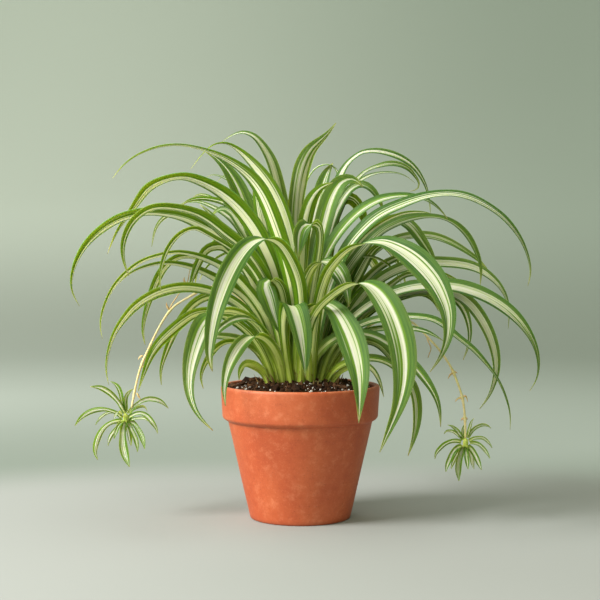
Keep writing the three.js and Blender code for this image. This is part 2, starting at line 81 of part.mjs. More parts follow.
// Young and hidden leaves that are still one with the crown.
const CROWN_LEAVES = [
  [[-14.5,2,124.9,1.96,-.75,.26],[-19.1,5.4,161.6,3.22,-1.26,.59],[-27.3,4.1,197.3,3.48,-1.38,.94],[-39.4,2.7,227.4,3.4,-1.95,1.78],[-56.1,3.5,252.2,2.88,-2.22,2.65],[-77.5,5,271,1.99,-2.03,3.19],[-103.5,7.3,285.9,.95,-1.7,2.97],[-117,8.4,288,-.37,-1.49,2.49],[-127.6,9.3,283.8,-1.18,-1.21,1.63],[-135.8,9.9,275.2,-1.27,-.84,.66],[-140.8,10.4,255.1,-.3,-.17,.04]],
  [[-19.8,-21.6,125,2,-.33,.13],[-23.6,-28.9,151.9,3.01,-.36,.47],[-30.4,-43.5,172.2,3.65,-2.46,-.62],[-40.4,-62.9,188,2.9,-2.43,-1.56],[-52.2,-81.7,191.9,3.25,-2.06,-2.36],[-65.3,-102.1,187.3,2.65,-.63,-2.38],[-75,-115.4,174.9,.4,-.03,-.17]],
  [[-26.4,-17.6,125,1.78,-.24,.29],[-34,-15.9,148.3,2.06,-.77,1.11],[-47.5,-20.7,162.2,2.31,-2.91,1.4],[-65,-31.8,167.6,1.96,-2.98,2.66],[-78.5,-42.5,160.5,-1.08,-2.37,3.15],[-88.5,-53,142.9,-1.59,-1.46,.97],[-87.5,-57.3,127.3,-.34,-.29,-.09]],
  [[-28.4,-10.8,125,-1.64,-.81,-.01],[-31.4,-12,142.8,-2.06,-.83,-.92],[-40.7,-15.7,157.9,-1.78,-2.5,-2.58],[-54.2,-21.2,168.3,.06,-3.75,-3.31],[-73.2,-28.4,172.4,.79,-2.79,-3.07],[-85.3,-32.6,171,1.39,-1.27,-1.8],[-93.9,-35.1,161.5,.39,-.17,-.19]],
  [[-28.2,-20.3,125,2.27,.06,.5],[-31.7,-19.5,134.6,2.39,.01,1.32],[-36.6,-24.2,141.3,2.38,-.06,2.2],[-44,-35.2,146.9,2.55,-.66,3.05],[-50.2,-45.2,148.2,.3,-.99,3.8],[-53.8,-52.3,143.9,-2.08,-.8,1.62],[-55.3,-57.2,135,-.43,-.16,.05]],
  [[18.6,1.5,125,1.99,.58,-.42],[26.3,4,156.5,3.02,.91,-1],[37.5,5.3,184.4,3.3,1.61,-1.81],[52,6.9,205.9,2.85,2.79,-2.73],[69.6,8.6,221.4,1.7,3.5,-3.13],[89.9,10.5,230.7,.57,3.57,-3.05],[112.8,12.3,233.7,-.24,2.98,-2.62],[132.4,13.7,230.4,-.86,1.62,-2.11],[157.8,15,218.5,-.23,.22,-.37]],
  [[23.3,-2.7,125,-1.8,.96,.54],[34.9,-5.8,155.9,-2.54,1.49,1.54],[52.9,-11,181.9,-1.97,2.96,2.54],[73.7,-17.5,200,-.43,4.23,3.02],[101.3,-26.3,210.4,.81,4.7,2.73],[125.6,-34.3,212.7,1.71,4.11,2.63],[141,-39.4,207.1,2.72,2.99,2.36],[150.1,-42.7,195.3,3.27,1.72,1.15],[154.2,-45.1,175.8,2.3,.94,-.12],[148,-46.7,152.3,.39,.18,-.17]],
  [[22.1,-14.7,125,-1.22,.97,.06],[28.4,-14.1,147,-1.69,.98,.91],[40.4,-19.3,164.6,-1.39,1.87,2.32],[58.3,-28.2,176.3,.25,2.75,2.84],[82.2,-40.5,181,1.18,2.63,2.49],[108.4,-53.1,180,.99,1.24,2.15],[128.3,-60.6,170.7,.22,.13,.26]],
  [[28.6,-16.2,125,-1.01,1.1,.47],[34.7,-19,136.5,-1.08,.8,1.33],[44.4,-25.6,143.6,-.13,1.28,2.42],[56.5,-36.1,146.5,2.27,2.37,2.26],[64.4,-44.5,143.9,3.01,2.26,.46],[70.9,-53.4,134.2,2.12,1.64,-.16],[75.2,-59.1,119.8,.29,.22,-0]],
  [[26,-6.7,125,-1.77,1.11,.21],[31.6,-9.1,146,-2.33,1.05,1.33],[42.5,-14.4,160.6,-1.32,2.92,3.41],[57,-21.5,167,1.64,4.09,3.29],[70.9,-28.6,164.8,3.03,3.72,2.01],[82.8,-35.2,152.7,2.89,2.08,1.09],[90.4,-39.1,133.3,.41,.22,.06]],
  [[19.5,-4.1,125,-1.58,.9,.33],[28.3,-5.4,153.7,-2.47,1.41,1.22],[42.6,-8.8,177.6,-1.99,3.77,2.35],[61.4,-13.5,195.1,-.6,4.69,2.81],[87.7,-20.4,206.2,-.14,3.81,3.16],[109.5,-25.7,212.1,.44,1.7,2.9],[119,-27.6,208.5,1.41,.85,1.6],[127.3,-29.4,196.1,.42,.13,.15]],
  [[-6,10.8,125,-1.61,-.93,.07],[-8.7,17.8,160.5,-2.75,-1.33,.01],[-12.3,23.6,193.7,-3.06,-1.49,-.16],[-17.3,28.4,225.1,-3.19,-2.09,-.3],[-24.7,33.6,254.1,-2.97,-2.64,-.44],[-34.6,38.6,279.4,-2.63,-2.59,-.72],[-47,43.5,300.8,-2.17,-2.13,-.99],[-58.3,47.4,313.2,-1.43,-1.6,-1.22],[-75.8,52.3,323.5,-.68,-.91,-.97],[-83.9,54.4,325.5,-.21,-.79,-.73],[-92.4,56.6,323.3,.01,-.41,-.28]],
  [[-7.9,14.8,125,-1.67,-.84,-.06],[-10.6,17.5,159.9,-2.8,-1.14,-.12],[-14.6,23.2,194.7,-3.16,-1.3,-.21],[-20.3,30.1,227.6,-3.28,-2.1,-.19],[-28.6,38.6,258.3,-3.15,-2.42,-.3],[-39.7,47.7,286.5,-2.74,-2.22,-.55],[-53.6,56.7,310.8,-2.05,-1.17,-.96],[-64.6,62.5,322.8,-1.15,-.78,-1.11],[-71.2,65.3,326,-.51,-.88,-.94],[-76,67.3,325.4,-.13,-.84,-.63],[-82.5,70.8,319.1,.01,-.36,-.18]],
  [[-9.8,13.2,125,1.87,-.98,.29],[-14.2,16,157.5,3.29,-1.41,.69],[-19.6,22.6,190.6,4.06,-2.14,1.2],[-26.8,28.5,222.8,4.01,-3.76,1.69],[-36.4,32.7,251.8,3.55,-4.39,2.01],[-48.1,35.7,275.3,2.82,-4.26,2.37],[-60.5,37.9,290,1.93,-3.63,2.93],[-73.6,39.9,297.9,.79,-2.69,3.06],[-91.7,42.3,302,0,-1.64,2.58],[-106.1,43.7,300.8,-.61,-.9,1.79],[-116,44.8,295,-.31,-.16,.35]],
  [[-11.8,15.9,125,1.83,-1.1,.15],[-16,15.8,158,3.09,-1.25,.57],[-22.2,20.4,192.6,3.59,-1.7,1.01],[-30.7,26.3,227.4,3.5,-3.1,1.62],[-42,33,259.5,2.99,-3.34,1.96],[-53.8,38.3,282.6,2.25,-2.75,2.4],[-65.3,42.3,293.5,1.11,-1.9,2.74],[-84.3,47.8,301.6,.61,-1.14,1.89],[-96.2,50.8,306.2,-.1,-.55,1.44],[-104.9,53,303.6,-.24,-.07,.43]],
  [[-12.6,7.9,125,-2,-.67,-.28],[-16.4,7.6,152.3,-3.12,-1.06,-.45],[-21.3,9.1,179.6,-3.99,-1.72,-.77],[-27.7,9.5,205.4,-4.04,-3.13,-1.23],[-36.3,9.1,228.1,-3.87,-3.43,-1.87],[-47,8.6,247.3,-3.45,-3.03,-2.44],[-60.7,8.5,263.4,-2.77,-2.02,-2.86],[-78.5,8.4,279.5,-2.13,-1.33,-2.11],[-94.8,8.3,295.3,-.28,-.2,-.34]],
  [[-14.6,12.2,125,-1.88,-.95,-.36],[-21.9,15.1,163.6,-3.7,-1.44,-.47],[-28.5,19.7,202.3,-4.15,-2.93,-.38],[-37.2,25.6,235.6,-4.06,-3.63,-.64],[-49.6,32.1,262.4,-3.59,-2.91,-1.43],[-65.9,38.8,286.7,-2.74,-.97,-2.15],[-73.1,41,291.8,-1.1,-1.28,-2.9],[-79.3,42.6,291.5,.52,-1.51,-2.35],[-86.9,45.3,284.4,.27,-.3,-.29]],
  [[-15.6,17.6,125,-1.9,-.95,-.29],[-21.3,18,160.5,-3.21,-1.31,-.5],[-28.1,22.1,192.6,-3.58,-1.49,-.58],[-36.8,29.5,223.8,-3.65,-2.35,-.55],[-48.5,39,252.7,-3.49,-2.73,-.7],[-62.1,48.2,275.5,-3.01,-2.5,-1.17],[-76,55.8,288.8,-2.18,-2,-1.75],[-95.7,64.8,298.5,-1.03,-1.3,-1.49],[-109.6,70.2,299.8,-.26,-.94,-1.01],[-121.5,74.7,296,.01,-.32,-.25]],
  [[-17.3,3.3,125.1,2.05,-.55,.02],[-22.2,-4.1,158.3,3.69,-1.26,.67],[-32.6,-7.9,194.5,4.92,-3.38,1.31],[-47.3,-11.5,228.5,4.92,-4.39,2.34],[-64.3,-14.5,250.2,3.92,-3.84,3.46],[-74.1,-16.2,255.4,1.21,-3.68,4.59],[-84.3,-17.8,253.8,-1.57,-3.22,3.93],[-91.8,-19.1,245.3,-3.34,-2.57,2.03],[-103.7,-19.1,215.2,-.4,-.22,.11]],
  [[-10.6,7.6,126,-1.26,-1.73,.27],[-15.5,16.3,162.6,-2.62,-3.76,.33],[-21.2,21.8,199.6,-3.66,-5.38,.08],[-30.2,27.7,229.2,-4.24,-6.41,-.15],[-43,35.3,252,-4.23,-6.58,-.2],[-55.6,43,264.8,-3.97,-6.39,-.14],[-65.2,48.8,268.1,-3.62,-6.13,-.01],[-75.7,55,265.3,-3.46,-5.55,.1],[-88.7,63.1,254.1,-2.77,-4.33,.14],[-99.7,69,236.1,-1.69,-2.69,.2],[-104.6,71.7,216,-.27,-.39,-.02]],
  [[-10.9,18.2,126.1,-2.11,-1.2,.14],[-13.6,26.5,160.7,-4.64,-2.57,.23],[-22.7,40.6,196.9,-7.05,-4.44,-.58],[-32.6,54.3,220.7,-7.44,-4.67,-.27],[-37.9,61.8,224.7,-6.89,-4.9,-.02],[-45.1,72.9,219.2,-6.63,-3.89,.04],[-54.1,87.9,199.7,-4.51,-2.71,.17],[-58.7,95.3,174.4,-.46,-.25,-.05]],
  [[-5.2,22.4,126,-2.63,-.56,.14],[-7,35.9,156.9,-5.29,-1.15,.12],[-10.7,54.1,182.3,-7.9,-1.8,.03],[-15.9,76,202.5,-9.44,-2.24,-.04],[-20.2,94,211.4,-9.5,-2.32,-.02],[-23.8,108.4,210.9,-9.03,-2.26,.04],[-28.1,125.7,201.4,-7.86,-1.89,.05],[-31.8,140.5,184.5,-5.19,-1.26,.09],[-34.2,149.5,159.9,-.57,-.13,-.01]],
  [[-9.6,4.2,125.9,-.79,-1.61,.59],[-14.3,16,157.5,-1.44,-3.55,.68],[-20.2,21.8,192.2,-2.09,-5.63,.17],[-30.6,24.6,221.3,-2.1,-6.51,-.46],[-45.7,27.5,242.1,-1.78,-6.3,-.45],[-58.7,30.3,249.8,-1.3,-5.81,-.18],[-71.8,33.2,248.9,-1.16,-4.79,.18],[-87.4,36.5,238.8,-.76,-2.96,.3],[-97.9,37.7,222,-.13,-.39,.03]],
  [[5.4,10.9,125,-1.99,.76,.09],[8.4,11.8,168.1,-3.91,1.5,.31],[13.5,14.2,208.8,-4.19,2.22,.55],[22.2,18,246.7,-4.14,3.92,.73],[35.5,23.2,283.8,-3.48,4.83,.71],[50.2,28.3,314.1,-2.37,3.95,.82],[64.7,32.1,328.8,-1.33,2.59,1.17],[84.6,36.7,335.1,-.87,2.55,2.7],[99.7,39.9,333.4,.76,2.11,2.76],[111.1,42.2,324,1.35,1.45,1.25],[115,43.3,316.1,1.09,1.03,.15],[114,43.9,311.8,.66,.69,-.45],[106.6,44.8,309.3,.09,.15,-.31]],
  [[8.3,14.6,125,-1.77,.61,.06],[9.7,12.5,158.1,-2.77,.97,.24],[13.3,13.9,190,-3.2,1.23,.33],[19.1,18.2,224.5,-3.37,2.25,.3],[26.2,24.6,259.6,-3.49,2.83,.21],[34,30.6,285.1,-3.3,2.87,.65],[45.8,37,306.4,-2.78,2.75,.97],[57,42.2,318.6,-2.06,2.66,1.22],[70.5,47.5,325.7,-1.25,2.25,1.23],[86.7,53.2,328.1,-.53,1.62,1.1],[100.3,57.5,326.2,-.08,1.05,.7],[112.8,61.9,318.2,.03,.35,.2]],
  [[1.6,8.2,125,-2.19,.96,-.09],[1.4,10.3,152.9,-3.79,1.78,-.16],[1.5,12.8,180,-5.17,3.8,-.33],[2.3,15.7,205.6,-5.63,5.22,-.33],[4.2,18.9,231.3,-6.14,5.85,-.15],[7.3,22,256.3,-6.25,5.53,.24],[11.6,25.1,280.3,-6.46,3.57,.94],[17.4,27.9,302.8,-6.31,2.09,1.64],[24,30.9,323.3,-5.08,1.71,1.75],[31.5,33.3,336,-.41,.19,.24]],
  [[4.5,9.5,125,-1.71,.73,.05],[6.7,10.6,167.4,-3,1.28,.17],[10.8,13,207.4,-3.12,1.38,.31],[17.6,16.8,246.2,-3.21,2.28,.44],[26.6,22,285.8,-2.71,2.78,.27],[35,25.3,316.3,-1.71,2.85,-.02],[35.5,27.1,326.7,-.75,2.71,-.72],[32.2,28.4,331.9,.1,2.57,-.59],[25.7,30,334.2,.45,2.33,.19],[17.1,31.7,333.1,-.03,1.85,.88],[9.8,33.5,325.7,-.64,1.25,.65],[1.6,36.4,304.4,-.24,.29,.1]],
  [[6.3,2.7,125,-2.01,.66,.05],[8.7,2,164.6,-3.74,1.25,.39],[14.4,2,204.4,-4.46,2.29,.77],[22.6,2.6,246.4,-4.38,4,.88],[32,3.5,282,-3.95,3.87,1.27],[42.7,4.6,303.9,-3.45,2.72,2.24],[51.2,5.7,312.3,-1.99,2.26,3.3],[58,6.4,314,-.04,2.21,3.7],[64.8,7.1,311.7,1.79,2.06,3.08],[72.8,7.9,302.3,2.38,1.45,1.52],[79.7,8.7,283.5,.43,.22,.09]],
  [[8.3,6.8,125,1.86,1.02,-.15],[12,9.3,166.9,4.56,1.58,-.69],[19,12.5,209.7,5.34,3.24,-1.29],[27.3,16.5,254.5,5.83,3.54,-1.36],[34.5,19.3,288.7,5.12,3.01,-2.23],[40.5,21.2,299.5,3.23,2.77,-4.69],[45.6,22.4,301.9,-.08,1.85,-6.02],[51,23.4,300.1,-3.52,.69,-5.03],[58.1,25.1,290,-4.84,-.13,-2.37],[63,26.3,268.6,-.49,-.03,-.04]],
  [[13.9,3.9,125,1.99,.7,-.14],[18.9,.4,157.1,3.07,1.1,-.54],[26.4,-0,188.8,3.55,1.59,-1.04],[37.1,1.4,221.6,3.59,2.98,-1.49],[48.4,3.3,246.9,3.19,3.17,-2.16],[62.2,5.2,264.7,2.17,3.19,-2.6],[81,7.4,278.9,1.17,2.74,-2.47],[98.7,9.2,286.5,.36,1.61,-2.24],[116.8,10.8,287.6,-.2,.78,-1.34],[128.7,11.8,283.6,-.18,.18,-.29]],
  [[15.8,5.3,125,-1.97,.77,.14],[21.2,7.2,157.6,-3.61,1.58,.77],[32,10.4,191.4,-4.52,3.51,1.45],[47.9,13.4,229.7,-4.83,5.3,1.63],[62.2,15.7,257.9,-4.44,5.48,2.43],[76.4,17.6,274.4,-3.54,4.8,3.68],[87.9,18.8,280.6,-1.62,4.04,4.94],[96.1,19.6,280.4,1.04,3.6,5.17],[104.9,20.5,275.4,3.63,2.94,4.41],[119.9,22,255.5,4.16,1.6,2.77],[130.9,22.6,233.1,.44,.15,.14]],
  [[13,4,125,1.85,.97,-.34],[20.5,4.4,159,3.9,2.17,-1.17],[30.7,6.6,187.4,4.46,4.49,-2.61],[46.8,10.3,213.8,4.39,4.8,-3.7],[63.4,14.4,242.4,4.08,3.57,-2.8],[73.5,16.5,254.9,1.75,2.35,-3.12],[85.3,18.2,258.9,-.03,1.26,-2.17],[97.1,19.9,256.1,-.23,.2,-.38]],
  [[21.6,8.2,125,-1.94,.64,.58],[31.8,11.9,160.5,-3.43,1.56,.74],[42.1,17.5,191.7,-3.79,4.03,.7],[55.7,24,214.1,-3.68,4.54,1.34],[75.4,32,234.2,-3.09,3.66,2.31],[93.8,38.3,244.2,-1.39,1.93,2.96],[108.4,42.2,244.8,.23,1.22,2.2],[120.5,45.3,237.7,.23,.29,.33]],
  [[23.5,10.8,125,-2.04,.52,.35],[31.6,14.1,156.9,-3.12,.9,.89],[43.4,20.6,184.7,-3.54,2.44,1.2],[59.3,29.2,206.9,-3.2,3.65,1.19],[83.3,40.6,227.7,-2.67,3.03,1.67],[100.2,47.6,237.4,-1.19,1.72,2.3],[112.7,51.5,237.2,.18,1.22,1.65],[124.3,55.2,228.8,.21,.34,.3]],
  [[25.4,12.2,125,-1.8,.42,.25],[32.6,14,153.2,-2.56,.7,.89],[45.4,18.1,179,-2.9,2.36,1.38],[63.9,24.3,201.8,-2.67,3.25,1.59],[84.8,30.6,217,-2.08,2.76,2.04],[102.2,35.3,227.8,-1.12,1.39,2.46],[113.7,37.7,228.2,.4,1.15,2.22],[125.9,40.1,220.3,.27,.26,.32]],
  [[27.4,14.9,125,-1.77,.51,.34],[37,16.2,155.4,-2.54,.9,1.09],[53.2,18.9,182,-2.63,2.86,1.69],[75,22.8,203.6,-2.08,3.34,2.04],[101.5,26.8,219.2,-1.2,2.22,1.98],[115.9,28.6,221.7,.18,1.2,1.68],[129.8,30.1,213.8,.25,.29,.31]],
  [[10.5,7.3,126,-1.23,1.77,.07],[16.2,10.4,170.2,-3.01,4.31,.04],[23.3,15.2,205.8,-3.94,5.63,-.01],[34,22.8,233.2,-4.49,6.39,-.02],[48.3,33,253.1,-4.51,6.33,-.05],[60.7,41.8,261.4,-4.18,6,-0],[71.9,49.6,261.2,-3.91,5.53,.02],[85.7,59.6,252.3,-3.19,4.41,.06],[98.3,68.5,235.3,-1.92,2.8,-.05],[104.9,73.8,214,-.28,.38,.04]],
  [[10.9,18.4,126,-2.1,1.2,.12],[13.6,19.4,160.4,-4.5,2.65,.18],[21.5,30.8,192.6,-6.89,4.19,.31],[31.6,46.9,217.4,-7.66,4.36,-.06],[37.5,56.6,223,-7.19,4.61,0],[45,69.3,217,-6.81,3.75,.12],[54.3,86.9,196.3,-4.64,2.65,.02],[58.8,96.4,170.3,-.46,.25,.07]],
  [[5.6,22.3,126,-2.62,.6,-.16],[7.6,36.8,158.8,-5.46,1.28,-.15],[11.7,55.9,186.2,-7.99,1.97,-.03],[17.4,78.1,207.4,-9.43,2.41,.04],[21.8,94.9,215.7,-9.44,2.51,.02],[25.5,108.4,214.4,-9.01,2.45,-.06],[30,125.2,203.4,-7.93,2.06,-.07],[34,139.6,184.2,-5.28,1.38,-.12],[36.3,147.2,157.9,-.57,.14,.01]],
  [[9.6,3.6,126,-.64,1.78,.04],[15.8,4.8,169.2,-1.66,4.65,.18],[24.2,5.6,205,-2.08,6.27,.51],[38.2,7.4,230.9,-1.86,6.52,.62],[53.6,10.4,244.4,-1.42,6,.31],[67.3,13.6,246,-1.29,5.08,-.09],[84.1,17.9,237.5,-.92,3.18,-.19],[96.6,20.8,220.3,-.14,.39,-.01]],
];

// Middle lines of the two runners, with their dry side twigs and bracts.
const RUNNERS = {
  runner_left: {
    line: [[-16.4,6.6,134.7],[-21.1,5.5,149.3],[-27.2,4.8,163.2],[-34.6,4.6,176.6],[-42.8,4.8,189.4],[-51.9,4.7,201.6],[-63.3,4.2,211.6],[-77.1,3.7,217.8],[-91.8,3.1,215.3],[-105.1,2.6,207.8],[-118.1,2.1,199.8],[-127.9,1.7,188.3],[-135.5,1.4,175.1],[-142.1,1.2,161.3],[-148.5,1,147.4],[-153.3,0.8,133],[-156.6,0.7,118],[-159.5,0.7,103]],
    twig: [[-123.4,1.9,195.7],[-121,1.9,201.4],[-117.2,1.9,207],[-110.6,1.9,216.5],[-107.3,1.9,220.2],[-105.4,1.9,225.9],[-104,1.9,233.4],[-101.1,1.9,239.1],[-97.3,1.9,242.9]],
    bracts: [[[-123.4,1.9,195.7],[-125.8,1.9,199.5],[-126.2,1.9,203.2]],[[-148.5,1.1,152.7],[-151.3,1.1,151.3],[-153.2,1.1,148.5]],[[-150.4,1,145.6],[-148.5,1,141.9],[-148.1,1,138.1]],[[-154.3,0.7,117.3],[-152.4,0.7,113.5],[-150.5,0.7,110.6]],[[-107.4,2.7,220.2],[-109.7,2.7,224],[-109.2,2.7,226.8]]],
  },
  runner_right: {
    line: [[31.9,4,135],[37.3,2.9,146.9],[43.7,1.7,158.4],[51.3,0.2,169.1],[60.7,-1.6,178],[71.9,-3.8,184.4],[84.3,-6.3,188],[97.2,-8.8,187.7],[108.5,-11,181.7],[117.5,-12.9,172.4],[126.5,-14.6,162.8],[134.5,-16.2,152.5],[141.2,-17.5,141.3],[146.2,-18.6,129.2],[150.3,-19.3,116.7],[152.5,-19.8,103.7],[153.4,-19.9,90.6],[153.8,-20,77.4]],
    twig: [[118.2,-13.2,170.2],[120.1,-13.2,165.5],[122,-13.2,159.9],[121.1,-13.2,157.1],[119.2,-13.2,151.5]],
    bracts: [[[142.6,-17.8,138.3],[139.4,-17.8,136],[137.5,-17.8,132.2]],[[142.6,-17.8,138.3],[144,-17.8,138.8],[146.3,-17.8,137.4]],[[150.9,-19.3,115.1],[146.7,-19.3,114.2],[143.9,-19.3,110.9]],[[150.9,-19.3,115.1],[153.2,-19.3,116.5],[155.6,-19.3,110.9]],[[153.2,-19.9,96.1],[150.9,-19.9,95.6],[149.5,-19.9,93.3]],[[153.2,-19.9,96.1],[154.2,-19.9,96.1],[155.6,-19.9,94.2]]],
  },
};

